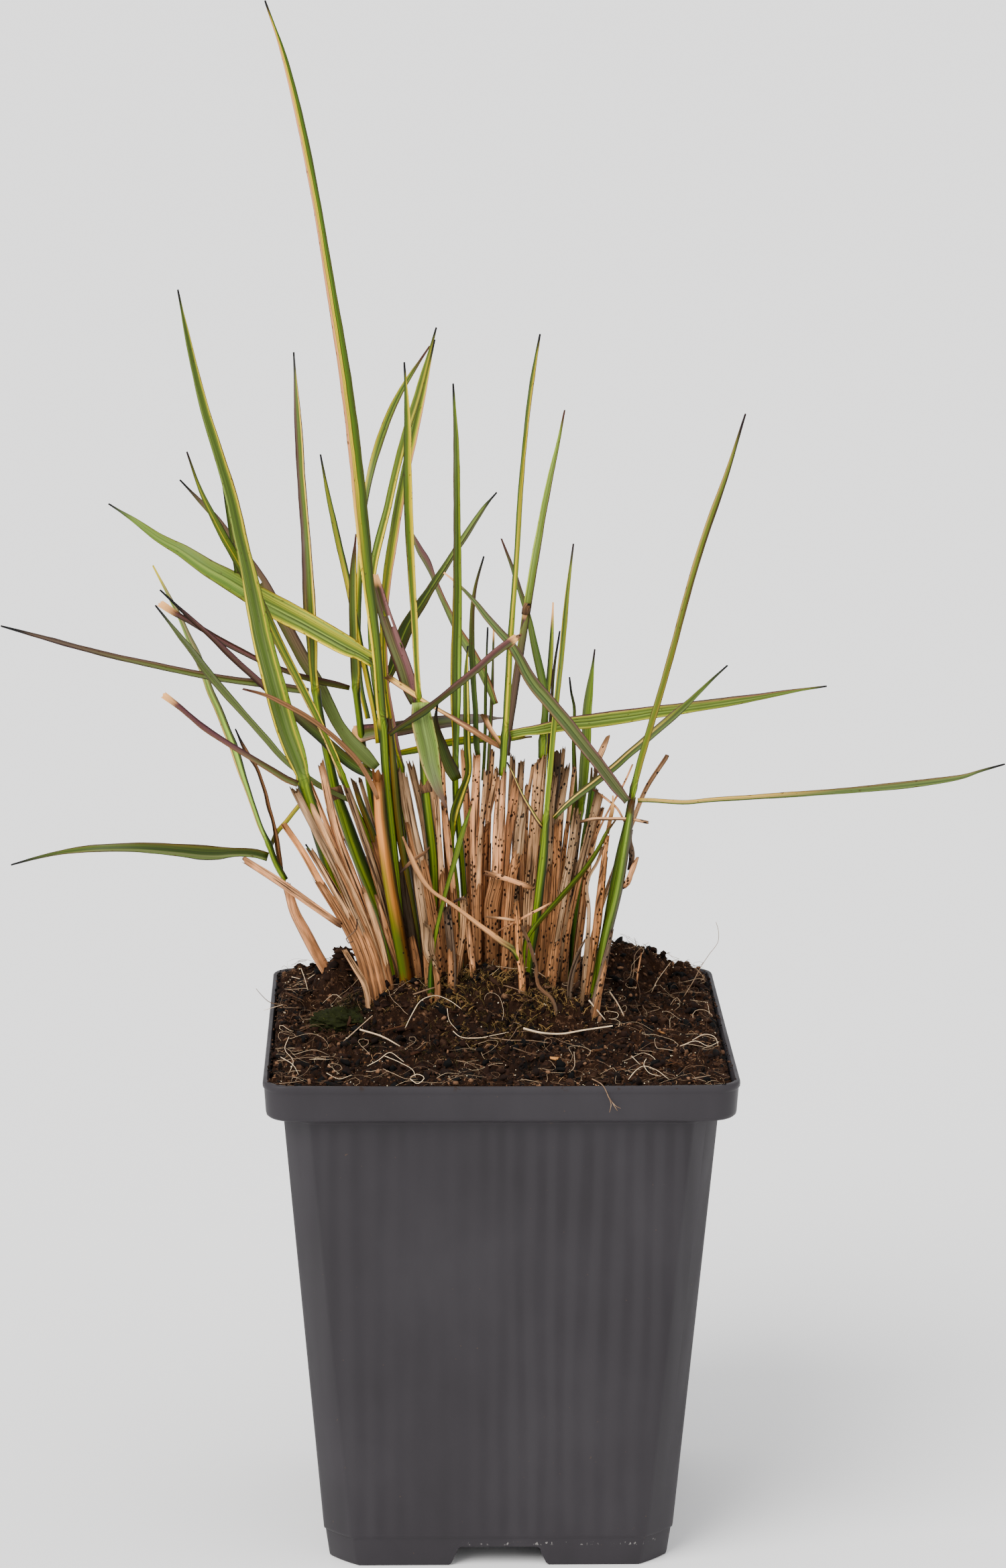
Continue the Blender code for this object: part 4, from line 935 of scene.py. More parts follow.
def rounded_square(a, b, half, corner):
    """A point of the square -1..1 moved to fill a rounded square."""
    size = max(abs(a), abs(b))
    if size < 1e-6:
        return 0.0, 0.0
    x = a * half
    y = b * half
    inner = (half - corner) * size
    over_x = abs(x) - inner
    over_y = abs(y) - inner
    if over_x > 0 and over_y > 0:
        away = math.hypot(over_x, over_y)
        pull = max(over_x, over_y) / away
        x = math.copysign(inner + over_x * pull, x)
        y = math.copysign(inner + over_y * pull, y)
    return x, y


def soil_surface(x, y, edge=None):
    """Height of the crumbly surface; edge is 0 in the middle and 1 at the pot's wall."""
    if edge is None:
        edge = max(abs(x), abs(y)) / SOIL_HALF
    level = heaped(soil_level(x, y), LOOSE_HEAPS, x, y)
    calm = 1.0 - 0.55 * float(smoothstep(0.92, 1.0, edge))
    rise = EDGE_RISE * float(smoothstep(0.80, 0.93, edge) * smoothstep(1.01, 0.96, edge))
    return level + calm * crumbly(x, y) + rise


def soil_rim_point(x, y, half, cut):
    """A point of the surface's edge moved onto the pot's inside lower down, with its cut corners."""
    x = x * half / SOIL_HALF
    y = y * half / SOIL_HALF
    over = (abs(x) + abs(y)) / (2 * half - cut)
    return (x / over, y / over) if over > 1 else (x, y)


def build_soil():
    half = SOIL_HALF
    count = SOIL_GRID
    points = []
    for j in range(count + 1):
        for i in range(count + 1):
            a = 2 * i / count - 1
            b = 2 * j / count - 1
            x, y = rounded_square(a, b, half, RIM_CORNER)
            points.append((x, y, soil_surface(x, y, max(abs(a), abs(b)))))
    faces = []
    row = count + 1
    for j in range(count):
        for i in range(count):
            k = j * row + i
            faces.append((k, k + 1, k + 1 + row, k + row))
    edge = list(range(row)) + [j * row + count for j in range(1, row)]
    edge += [count * row + i for i in range(count - 1, -1, -1)] + [j * row for j in range(count - 1, 0, -1)]
    ledge = POT_HEIGHT - RIM_DEPTH
    floor = NOTCH_HEIGHT + WALL
    levels = ((ledge + SHOULDER_EDGE + WALL + GAP, SOIL_HALF, RIM_CORNER * 0.6),
              (ledge - SHOULDER_DROP + WALL, WALL_TOP_HALF - WALL - GAP, CUT_TOP + 0.4),
              (floor + GAP, wall_half(floor) - WALL - GAP, wall_cut(floor) + 0.4))
    above = edge
    for height, reach, cut in levels:
        start = len(points)
        for k in edge:
            x, y, _ = points[k]
            points.append((*soil_rim_point(x, y, reach, cut), height))
        ring = list(range(start, start + len(edge)))
        for i in range(len(edge)):
            j = (i + 1) % len(edge)
            faces.append((above[i], ring[i], ring[j], above[j]))
        above = ring
    faces.append(tuple(reversed(above)))
    soil = make_mesh("peat_soil", points, faces, soil_shader())
    face_outwards(soil)
    place(soil, "potting_soil", ["soil"])


def ball(level):
    """Points and faces of a unit icosphere."""
    shape = bmesh.new()
    bmesh.ops.create_icosphere(shape, subdivisions=level, radius=1.0)
    points = np.array([tuple(v.co) for v in shape.verts])
    faces = [tuple(v.index for v in f.verts) for f in shape.faces]
    shape.free()
    return points, faces


def turned(points, rng, sizes):
    """A lump of those sizes, turned at random and dented."""
    matrix = Matrix.Rotation(rng.uniform(0, FULL_TURN), 3,
                             Vector((rng.gauss(0, 1), rng.gauss(0, 1), rng.gauss(0, 1))).normalized())
    dents = 1.0 + 0.22 * np.sin(points @ np.array([rng.uniform(2, 5), rng.uniform(2, 5),
                                                   rng.uniform(2, 5)]) + rng.uniform(0, 6))
    return (points * dents[:, None] * np.array(sizes)) @ np.array(matrix).T


def spot_on_soil(rng, reach):
    """A random place on the surface inside the rim."""
    x = rng.uniform(-reach, reach)
    y = rng.uniform(-reach, reach)
    return x, y, soil_surface(x, y)


def build_crumbs():
    """Loose crumbs of peat, so that the surface is grainy from low down too."""
    rng = random.Random(11)
    shape, faces = ball(1)
    shape_fine, faces_fine = ball(2)
    heap = Heap()
    for i in range(CRUMBS):
        x, y, z = spot_on_soil(rng, 52.6)
        size = rng.choice(CRUMB_SIZES) * rng.uniform(0.8, 1.3)
        sizes = (size * rng.uniform(0.8, 1.6), size * rng.uniform(0.5, 1.1), size * rng.uniform(0.4, 0.9))
        fine = size > FINE_CRUMB
        lump = turned(shape_fine if fine else shape, rng, sizes)
        heap.add(lump + np.array((x, y, z + 0.25 * size)), faces_fine if fine else faces,
                 rng.uniform(0.0, 0.62 if fine else 1.0))
    for i in range(RIM_CRUMBS):
        x = rng.uniform(-52.0, 52.0)
        y = -RIM_MIDDLE + rng.uniform(-0.5, 0.3)
        spots = ((x, y), (x, -y), (y, x), (-y, x))
        x, y = spots[i % 4]
        size = rng.choice((0.15, 0.2, 0.3)) * rng.uniform(0.8, 1.2)
        lump = turned(shape, rng, (size * 1.3, size, size * 0.7))
        heap.add(lump + np.array((x, y, POT_HEIGHT + 0.5 * size - 0.05)), faces, rng.uniform(0.0, 0.8))
    stops = ((0.1, (0.10, 0.065, 0.05)), (0.45, (0.26, 0.18, 0.14)), (0.75, (0.44, 0.33, 0.26)),
             (1.0, (0.66, 0.54, 0.44)))
    place(heap.finish("peat_crumbs", shaded_shader("peat_crumb", stops, 0.9)), "potting_soil")


def build_grit():
    """White grains of grit and perlite."""
    rng = random.Random(23)
    shape, faces = ball(1)
    heap = Heap()
    for _ in range(GRAINS):
        x, y, z = spot_on_soil(rng, 52.0)
        size = rng.choice(GRAIN_SIZES) * rng.uniform(0.8, 1.2)
        lump = turned(shape, rng, (size, size * rng.uniform(0.7, 1.1), size * rng.uniform(0.6, 1.0)))
        heap.add(lump + np.array((x, y, z + 0.25)), faces, rng.uniform(0.2, 1.0))
    stops = ((0.0, (0.62, 0.55, 0.47)), (0.5, (0.82, 0.79, 0.73)), (1.0, (0.95, 0.94, 0.91)))
    place(heap.finish("pale_grit", shaded_shader("pale_grit", stops, 0.55)), "potting_soil")


def chip(heap, rng, spot, length, width, thick, way, shade):
    """A splinter of bark: a bent, flattened strip."""
    tilt = rng.uniform(-0.3, 0.45)
    step = np.array((math.cos(way) * math.cos(tilt), math.sin(way) * math.cos(tilt), math.sin(tilt)))
    line = np.array([spot] + [(0, 0, 0)] * 4, float)
    for i in range(1, 5):
        line[i] = line[i - 1] + step * length / 4 + np.array([rng.gauss(0, 0.08) for _ in range(3)])
    heap.tube(line, width / 2 * np.array((0.6, 1.0, 0.9, 1.0, 0.5)), 7, shade, flat=thick)


def build_bark():
    """Chips of bark and wood fibre lying on the peat."""
    rng = random.Random(37)
    heap = Heap()
    for _ in range(CHIPS):
        x, y, z = spot_on_soil(rng, 50.0)
        chip(heap, rng, (x, y, z + 0.1), rng.uniform(1.0, 4.5), rng.uniform(0.25, 1.1),
             rng.uniform(0.3, 0.6),
             rng.uniform(0, FULL_TURN), rng.uniform(0.0, 0.75))
    for x0, z0, length, width, way, shade in TRACED_CHIPS:
        x, y, z = ground(x0, z0)
        chip(heap, rng, (x, y, z + 0.3), length, width, 0.45, way, shade)
    stops = ((0.0, (0.15, 0.09, 0.06)), (0.35, (0.30, 0.19, 0.13)), (0.7, (0.50, 0.35, 0.24)),
             (1.0, (0.82, 0.68, 0.50)))
    place(heap.finish("bark_chips", shaded_shader("bark_chip", stops, 0.85, 900.0)), "potting_soil")


def build_fibres():
    """Short brown peat fibres that stand out of the surface every way."""
    rng = random.Random(83)
    heap = Heap()
    for _ in range(FIBRES):
        x, y, z = spot_on_soil(rng, 52.3)
        way = rng.uniform(0, FULL_TURN)
        length = rng.uniform(0.6, 2.8)
        rise = rng.uniform(0.0, 1.4)
        bend = rng.gauss(0, 0.5)
        line = [(x, y, z - 0.1)]
        for i in range(4):
            way += bend
            x += math.cos(way) * length / 4
            y += math.sin(way) * length / 4
            z += rise * length / 4 * (1 - 0.55 * i)
            if max(abs(x), abs(y)) > SOIL_HALF + 0.2:
                break
            line.append((x, y, z))
        if len(line) < 3:
            continue
        heap.tube(line, rng.uniform(0.035, 0.09) * np.linspace(1.0, 0.5, len(line)), 3, rng.random() ** 1.7)
    stops = ((0.0, (0.18, 0.12, 0.09)), (0.5, (0.38, 0.28, 0.21)), (0.8, (0.60, 0.49, 0.40)),
             (1.0, (0.80, 0.71, 0.60)))
    place(heap.finish("peat_fibres", shaded_shader("peat_fibre", stops, 0.85)), "potting_soil")


def ground(x0, z0):
    """The place on the soil that the board's point (x0, z0) shows."""
    height = 124.0
    x = y = 0.0
    for _ in range(12):
        share = (EYE.z - height) / (EYE.z - z0)
        y = max(-SEEN_REACH, min(SEEN_REACH, (share - 1.0) * -EYE.y))
        share = 1.0 - y / EYE.y
        x = EYE.x + (x0 - EYE.x) * share
        height = 0.5 * height + 0.5 * soil_surface(x, y)
    return x, y, height


def eased(values, *joins):
    """Values along a line, each taken together with its four neighbours, once for each way to join them."""
    for join in joins:
        padded = np.pad(values, 2, mode="edge")
        values = join([padded[i:i + len(values)] for i in range(5)], axis=0)
    return values


def draped(flat):
    """Heights of a root laid over the crumbs along its way, so that it bridges the hollows."""
    return eased(np.array([soil_surface(x, y) for x, y in flat]), np.max, np.mean)


def root_line(rng, start, way, length, curl, lift):
    """A root that wanders over the soil from a start point."""
    count = max(6, int(length / 1.1))
    step = length / count
    x, y, _ = start
    bend = rng.gauss(0, curl)
    line = []
    phase = rng.uniform(0, FULL_TURN)
    arch = []
    for i in range(count + 1):
        share = i / count
        arch.append(0.1 + lift * math.sin(math.pi * share) * (0.6 + 0.4 * math.sin(phase + 5 * share)))
        line.append((x, y))
        bend = 0.8 * bend + rng.gauss(0, curl)
        way += bend
        nx = x + math.cos(way) * step
        ny = y + math.sin(way) * step
        if max(abs(nx), abs(ny)) > ROOT_TURNS:
            way += 1.9
            nx = x + math.cos(way) * step
            ny = y + math.sin(way) * step
        x = max(-ROOT_REACH, min(ROOT_REACH, nx))
        y = max(-ROOT_REACH, min(ROOT_REACH, ny))
    return np.column_stack([line, draped(line) + np.array(arch)])


def traced_root(heap, traced, width, shade, depths=None):
    """A root drawn on the board: it follows the soil that the eye sees there, or runs between two depths."""
    lengths = lengths_of(np.array(traced, float))
    count = max(6, int(lengths[-1] / 0.7))
    at = np.linspace(0, lengths[-1], count)
    flat = through(lengths, np.array(traced, float), at)
    if depths:
        depth = depths[0] + (depths[-1] - depths[0]) * at / lengths[-1]
    else:
        seen = np.array([ground(x0, z0)[1] for x0, z0 in flat])
        depth = eased(seen, np.min, np.min, np.mean, np.mean) - ROOT_LIFT
    spots = np.array([tuple(on_sight_line(x0, z0, y)) for (x0, z0), y in zip(flat, depth)])
    heap.tube(spots, ROOT_SLIM * width * np.linspace(1.0, 0.6, count), 6, shade)


def build_roots():
    """Fine pale roots all over the surface, thickest along the rim, and the long ones the picture shows."""
    rng = random.Random(51)
    heap = Heap()
    for i in range(ROOTS):
        x, y, z = spot_on_soil(rng, 51.5)
        if i % 4 == 0:
            x, y = pushed_to_rim(rng, x, y)
        length = rng.uniform(4.0, 17.0)
        way = rng.uniform(0, FULL_TURN)
        line = root_line(rng, (x, y, z), way, length, rng.uniform(0.12, 0.5), rng.uniform(0.2, 2.4))
        width = rng.choice((0.03, 0.035, 0.045, 0.06))
        heap.tube(line, width * np.linspace(1.0, 0.5, len(line)), 4, 0.95 * rng.random() ** 1.6)
    for traced, width, shade in TRACED_ROOTS:
        traced_root(heap, traced, width, shade)
    for traced, width, shade, depths in AIR_ROOTS:
        traced_root(heap, traced, width, shade, depths)
    stops = ((0.0, (0.40, 0.31, 0.24)), (0.35, (0.66, 0.57, 0.48)), (0.7, (0.82, 0.77, 0.70)),
             (1.0, (0.94, 0.92, 0.88)))
    place(heap.finish("fine_roots", shaded_shader("fine_root", stops, 0.7)), "potting_soil")


def pushed_to_rim(rng, x, y):
    near = rng.uniform(46.0, 52.0)
    if rng.random() < 0.5:
        return math.copysign(near, x), y
    return x, math.copysign(near, y)


def moss_strand(heap, rng, foot, length, width, shade, lean):
    """One curved moss shoot with a few leaflets."""
    way = rng.uniform(0, FULL_TURN)
    out = lean * rng.uniform(0.3, 1.2)
    line = []
    for i in range(5):
        share = i / 4
        line.append((foot[0] + math.cos(way) * out * share**1.6, foot[1] + math.sin(way) * out * share**1.6,
                     foot[2] + length * share * (1 - 0.25 * share)))
    line = np.array(line)
    heap.tube(line, width * np.array((0.6, 1.0, 1.0, 0.8, 0.15)), 4, shade)
    for _ in range(3):
        part = rng.uniform(0.25, 0.95)
        base = line[0] + (line[-1] - line[0]) * part
        side = rng.uniform(0, FULL_TURN)
        reach = length * rng.uniform(0.18, 0.34)
        rise = reach * rng.uniform(0.2, 0.9)
        tip = base + np.array((math.cos(side) * reach, math.sin(side) * reach, rise))
        leaflet = np.array((base, (base + tip) / 2 + (0, 0, 0.05), tip))
        heap.tube(leaflet, width * np.array((0.8, 1.0, 0.1)), 3, min(1.0, shade + 0.15), flat=0.5)


def build_moss():
    """A dark cushion of moss and paler loose strands, in patches."""
    rng = random.Random(67)
    heap = Heap()
    for x0, z0, spread_x, spread_y, count, length, low, high, lift in MOSS_PATCHES:
        middle_x, middle_y, _ = ground(x0, z0)
        for _ in range(count):
            dx = rng.gauss(0, 1)
            dy = rng.gauss(0, 1)
            x = middle_x + dx * spread_x
            y = middle_y + dy * spread_y
            if max(abs(x), abs(y)) > 0.97 * SOIL_HALF:
                continue
            raised = lift * math.exp(-0.7 * (dx * dx + dy * dy))
            foot = (x, y, soil_surface(x, y) - 0.1 + raised)
            tall = length * rng.uniform(0.6, 1.3)
            moss_strand(heap, rng, foot, tall, MOSS_WIDTH, rng.uniform(low, high), length)
    stops = ((0.0, (0.15, 0.14, 0.07)), (0.35, (0.30, 0.27, 0.14)), (0.7, (0.50, 0.42, 0.27)),
             (1.0, (0.76, 0.67, 0.50)))
    place(heap.finish("moss", shaded_shader("moss", stops, 0.8)), "potting_soil")


def build_moss_lump():
    """The mossy lump of peat to the left of the clump, with short shoots all over it."""
    rng = random.Random(71)
    shape, faces = ball(5)
    x, y, z = ground(*MOSS_LUMP)
    dents = []
    for point in shape:
        spot = Vector(point)
        dent = 1.0 + 0.30 * noise.noise(spot * 2.2) + 0.22 * noise.noise(spot * 6.0)
        dents.append(dent + 0.12 * noise.noise(spot * 15.0))
    skin = shape * np.array(dents)[:, None] * np.array(MOSS_LUMP_SIZES) + np.array((x, y, z - 0.2))
    heap = Heap()
    heap.add(skin, faces, 0.3)
    for _ in range(MOSS_SHOOTS):
        k = rng.randrange(len(shape))
        if shape[k][2] > -0.2:
            foot = tuple(skin[k] - 0.1 * shape[k])
            tall = rng.uniform(0.3, 0.7)
            moss_strand(heap, rng, foot, tall, SHOOT_WIDTH, rng.uniform(0.1, 0.9), 0.5)
    stops = ((0.0, (0.15, 0.15, 0.08)), (0.4, (0.25, 0.27, 0.13)), (1.0, (0.47, 0.50, 0.26)))
    place(heap.finish("mossy_lump", shaded_shader("mossy_lump", stops, 0.95, 1200.0, 0.0004)),
          "potting_soil")


def leaf_faces(rings, holes=()):
    """Skin of a leaf: rings run over its front and back again under it; holes are (ring, column) cells."""
    around = 2 * COLUMNS - 2
    cells = set(holes)
    faces = []
    for level in range(rings - 1):
        low = level * around
        for i in range(around):
            column = i if i < COLUMNS - 1 else around - 1 - i
            if (level, column) in cells:
                continue
            j = (i + 1) % around
            faces.append((low + i, low + j, low + around + j, low + around + i))
    for level, column in sorted(cells):
        front = (level * around + column, level * around + column + 1)
        back = tuple(level * around + (around - c) % around for c in (column, column + 1))
        above = [i + around for i in front + back]
        if (level - 1, column) not in cells:
            faces.append((front[1], front[0], back[0], back[1]))
        if (level + 1, column) not in cells:
            faces.append((above[0], above[1], above[3], above[2]))
        if (level, column - 1) not in cells:
            faces.append((front[0], above[0], above[2], back[0]))
        if (level, column + 1) not in cells:
            faces.append((above[1], front[1], back[1], above[3]))
    for low, facing in ((0, -1), ((rings - 1) * around, 1)):
        strip = [(low, low + 1, low + around - 1)]
        strip += [(low + i, low + i + 1, low + around - 1 - i,
                   low + around - i) for i in range(1, COLUMNS - 2)]
        strip.append((low + COLUMNS - 2, low + COLUMNS - 1, low + COLUMNS))
        faces.extend(face if facing > 0 else tuple(reversed(face)) for face in strip)
    return faces


def leaf_section():
    """Each point round a leaf: its place across (1 at the left, -1 at the right), its side and its angle."""
    around = 2 * COLUMNS - 2
    angles = circle(around)
    across = np.cos(angles)
    layer = np.sign(np.round(np.sin(angles), 6))
    return across, layer, angles


def leaf_body(line, depths, sheath, turn, seed):
    """Points, sizes along and across, and the directions of a leaf laid out finely."""
    points, widths = lay_out(line, depths)
    lengths = lengths_of(points)
    total = lengths[-1]
    at = np.linspace(0.0, total, max(12, int(total / LEAF_STEP)) + 1)
    middle = through(lengths, points, at)
    width = through(lengths, widths, at)
    width = np.maximum(width, np.minimum(TIP_WIDTH + TIP_TAPER * (total - at), 0.6 * width.max()))
    along = unit(np.gradient(middle, axis=0))
    side = unit(np.cross(along, unit(middle - np.array(EYE))))
    face = np.cross(along, side)
    if sheath:
        end = lengths[min(sheath, len(lengths) - 1)]
        start = max(lengths[sheath - 1], end - SHEATH_OPENING)
        flat = smoothstep(start, end, at)
    else:
        flat = np.ones(len(at))
    wobble = LEAF_WOBBLE * np.sin(at / 17.0 + seed) + 0.5 * LEAF_WOBBLE * np.sin(at / 7.3 + 2 * seed)
    angle = np.radians(np.clip(turn + wobble * np.minimum(1.0, at / total * 3), -62, 62))
    turned_side = side * np.cos(angle)[:, None] + face * np.sin(angle)[:, None]
    turned_face = face * np.cos(angle)[:, None] - side * np.sin(angle)[:, None]
    half = width / 2 * (1 + flat * (1 / np.cos(angle) - 1))
    return middle, along, turned_side, turned_face, half, at, total, flat


def build_leaf(name, sheath, depths, turn, line, look, seed, material):
    """One dressed leaf: a round sheath that opens into a thin folded blade with a midrib."""
    middle, along, side, face, half, at, total, flat = leaf_body(line, depths, sheath, turn, seed)
    across, layer, angles = leaf_section()
    rings = len(at)
    size = half[:, None]
    open_up = flat[:, None]
    sheet = np.minimum(LEAF_SHEET, 0.34 * 2 * size) / 2
    rib = np.minimum(0.22, 0.07 * 2 * size)
    fold = look.get("fold", LEAF_FOLD)
    ridge = np.exp(-(across / 0.13) ** 2)[None, :]
    x_flat = across[None, :] * size
    thick = layer[None, :] * sheet * (1 - 0.6 * across**2)[None, :]
    y_flat = fold * size * (np.abs(across) ** 1.5)[None, :] + thick
    y_flat = y_flat - ridge * rib * np.where(layer < 0, 1.0, 0.45)[None, :]
    crinkle = look.get("crinkle", 0.05)
    wave = np.sin(at[:, None] / 2.1 + seed + 2.2 * np.sign(across)[None, :])
    wave = wave + 0.6 * np.sin(at[:, None] / 0.93 + 3 * seed)
    y_flat = y_flat + crinkle * wave * (across**2)[None, :] * np.minimum(size, 1.6)
    swell = 1.0 + 0.22 * collar(at, flat)[:, None]
    seam = 1.0 + 0.05 * np.exp(-((angles - 1.1) / 0.10) ** 2)[None, :]
    ribs = 1.0 + 0.012 * np.sin(angles * 9 + seed)[None, :]
    x_round = np.cos(angles)[None, :] * size * swell * seam * ribs
    y_round = np.sin(angles)[None, :] * size * swell * seam * ribs
    x = x_round + (x_flat - x_round) * open_up
    y = y_round + (y_flat - y_round) * open_up
    skin = middle[:, None, :] + side[:, None, :] * x[:, :, None] + face[:, None, :] * y[:, :, None]
    if line[-1][2] > 0.3:
        rng = random.Random(seed + 5)
        teeth = {round(float(u), 4): rng.uniform(0.0, 1.0) for u in across}
        tear = np.array([teeth[round(float(u), 4)] for u in across])
        push = half[-1] * (0.9 * tear + LEAF_SLANT * (across + 1))
        skin[-1] += along[-1] * push[:, None] * look.get("torn", 0.7)
    if line[0][1] < ROOTED_BELOW:
        splay = 1.0 + 0.35 * smoothstep(5.0, 0.0, at)
        skin = middle[:, None, :] + (skin - middle[:, None, :]) * splay[:, None, None]
        skin[0, :, 2] = np.minimum(skin[0, :, 2], middle[0, 2]) - FOOT_SUNK
    count = len(angles)
    turn_low, turn_high = look.get("change", (0.35, 0.75))
    rows = {
        "along": np.repeat(at, count),
        "left": np.repeat(total - at, count),
        "spread": ((across[None, :] * size) * open_up + (angles[None, :] * size) * (1 - open_up)).ravel(),
        "share": np.repeat(smoothstep(turn_low, turn_high, at / total), count),
        "sheath": np.repeat(1 - flat, count),
    }
    uv = np.stack([np.tile((1 - across) / 2, rings), np.repeat(at / 10.0, count)], axis=1)
    cells = []
    for hole_share, column, long, wide in look.get("holes", ()):
        first = int(hole_share * rings)
        cells += [(first + i, column + j) for i in range(long) for j in range(wide)]
    faces = leaf_faces(rings, cells)
    return make_mesh("leaf_" + name, skin.reshape(-1, 3), faces, material, True, rows, uv)


def collar(at, flat):
    """A thickened band where a sheath opens into its blade."""
    opening = np.nonzero(flat > 0.02)[0]
    if len(opening) == 0 or opening[0] == 0:
        return np.zeros(len(at))
    middle = at[opening[0]]
    return np.exp(-((at - middle) / 1.1) ** 2)


def sleeve(middle, along, side, face, radii, start, arc, rng):
    """A closed paper-thin shell wrapped part of the way round a line, torn slantwise along its far end."""
    columns = PAPER_COLUMNS
    angles = start + np.linspace(0.0, arc, columns)
    curl = 1.0 + 0.10 * np.linspace(-1, 1, columns) ** 6
    slope = rng.choice((-1.0, 1.0)) * np.linspace(-0.5, 0.5, columns)
    notches = slope + 0.35 * np.array([rng.uniform(-1.0, 1.0) for _ in range(columns)])
    rows = len(middle)
    size = lengths_of(middle)
    layers = []
    for inset in (0.0, PAPER_SHEET):
        reach = radii[:, None] * curl[None, :] - inset
        skin = middle[:, None, :] + round_about(side, face, angles) * reach[:, :, None]
        fade = smoothstep(0.45, 1.0, np.linspace(0, 1, rows))[:, None]
        skin = skin + along[:, None, :] * (fade * (PAPER_TORN * notches)[None, :])[:, :, None]
        layers.append(skin.reshape(-1, 3))
    points = np.concatenate(layers)
    faces = []
    under = rows * columns
    for i in range(rows - 1):
        for j in range(columns - 1):
            a = i * columns + j
            faces.append((a, a + 1, a + 1 + columns, a + columns))
            faces.append((a + under, a + columns + under, a + 1 + columns + under, a + 1 + under))
    rim = list(range(columns)) + [i * columns + columns - 1 for i in range(1, rows)]
    rim += [(rows - 1) * columns + j for j in range(columns - 2, -1, -1)]
    rim += [i * columns for i in range(rows - 2, 0, -1)]
    for k, a in enumerate(rim):
        b = rim[(k + 1) % len(rim)]
        faces.append((b, a, a + under, b + under))
    run = np.stack([np.repeat(size, columns), np.repeat(size[-1] - size, columns),
                    (radii[:, None] * angles[None, :]).ravel()], axis=1)
    return points, faces, np.concatenate([run, run])


def fine_line(line, depths, step=LEAF_STEP):
    """A line laid out finely, with its widths and directions."""
    points, widths = lay_out(line, depths)
    lengths = lengths_of(points)
    total = lengths[-1]
    at = np.linspace(0.0, total, max(5, int(total / step)) + 1)
    middle = through(lengths, points, at)
    width = np.maximum(through(lengths, widths, at), 0.15)
    along = unit(np.gradient(middle, axis=0))
    side = unit(np.cross(along, unit(middle - np.array(EYE))))
    return middle, width, along, side, np.cross(along, side), at, total


def build_straw(name, line, depths, shader, seed, jag):
    """A dead cut straw: ribbed tube, jagged mouth, and a bore that narrows to its floor."""
    middle, width, along, side, face, at, total = fine_line(line, depths)
    rng = random.Random(seed)
    sides = 18
    angles = circle(sides)
    ribs = 1.0 + 0.035 * np.sin(angles * 5 + seed) + 0.02 * np.sin(angles * 9 + 2 * seed)
    dents = 1.0 + 0.05 * np.sin(at / 3.1 + seed)[:, None] * np.cos(angles * 2 + at[:, None] / 9.0)
    reach = (width / 2)[:, None] * ribs[None, :] * dents
    if line[0][1] < ROOTED_BELOW:
        reach = reach * (1.0 + 0.4 * smoothstep(4.0, 0.0, at))[:, None]
    out = round_about(side, face, angles)
    skin = middle[:, None, :] + out * reach[:, :, None]
    if line[0][1] < ROOTED_BELOW:
        skin[0, :, 2] = middle[0, 2] - FOOT_SUNK
    thick = width[-1] / 2
    teeth = np.array([rng.uniform(0.0, 1.0) for _ in angles]) ** 1.5
    slant = np.cos(angles - rng.uniform(0, FULL_TURN))
    push = thick * (jag * 2.0 * teeth + 0.7 * (slant + 1.0))
    skin[-1] = skin[-1] + along[-1] * push[:, None]
    depth = min(BORE, 0.6 * total)
    rings = [skin.reshape(-1, 3)]
    rows = [at]
    steps = ((0.15, 0.74, 0.95), (0.9, 0.70, 0.5), (0.5 * depth, 0.66, 0.0), (depth, 0.45, 0.0))
    for down, wide, share in steps:
        place_at = max(total - down, 0.0)
        centre = through(at, middle, np.array([place_at]))[0]
        across = through(at, width, np.array([place_at]))[0] / 2 * wide
        ring = centre + out[-1] * across + along[-1] * (push * share)[:, None]
        rings.append(ring)
        rows.append(np.array([place_at]))
    points = np.concatenate(rings)
    height = np.concatenate([np.repeat(row, sides) for row in rows])
    count = len(points) // sides
    radii = np.concatenate([width / 2, np.full(count - len(width), thick)])
    spread = np.tile(angles, count) * np.repeat(radii, sides)
    attributes = {"along": height, "left": total - height, "spread": spread}
    uv = np.stack([np.tile((1 - np.cos(angles)) / 2, count), height / 10.0], axis=1)
    return make_mesh("straw_" + name, points, ring_faces(count, sides), shader, True, attributes, uv)


def build_solid_stem(name, line, depths, shader, seed, sides=10, jag=1.0):
    """A thin stem without a bore, pointed or broken at its ends."""
    middle, width, along, side, face, at, total = fine_line(line, depths, 1.0)
    rng = random.Random(seed)
    angles = circle(sides)
    ribs = 1.0 + 0.08 * np.sin(angles * 3 + seed)
    out = round_about(side, face, angles)
    skin = middle[:, None, :] + out * ((width / 2)[:, None] * ribs[None, :])[:, :, None]
    for end, sign in ((0, -1), (-1, 1)):
        teeth = np.array([rng.uniform(0.0, 1.0) for _ in angles])
        skin[end] = skin[end] + along[end] * (sign * jag * width[end] * teeth)[:, None]
    points = skin.reshape(-1, 3)
    height = np.repeat(at, sides)
    attributes = {"along": height, "left": total - height,
                  "spread": np.tile(angles, len(at)) * np.repeat(width / 2, sides)}
    uv = np.stack([np.tile((1 - np.cos(angles)) / 2, len(at)), height / 10.0], axis=1)
    return make_mesh("stem_" + name, points, ring_faces(len(at), sides), shader, True, attributes, uv)


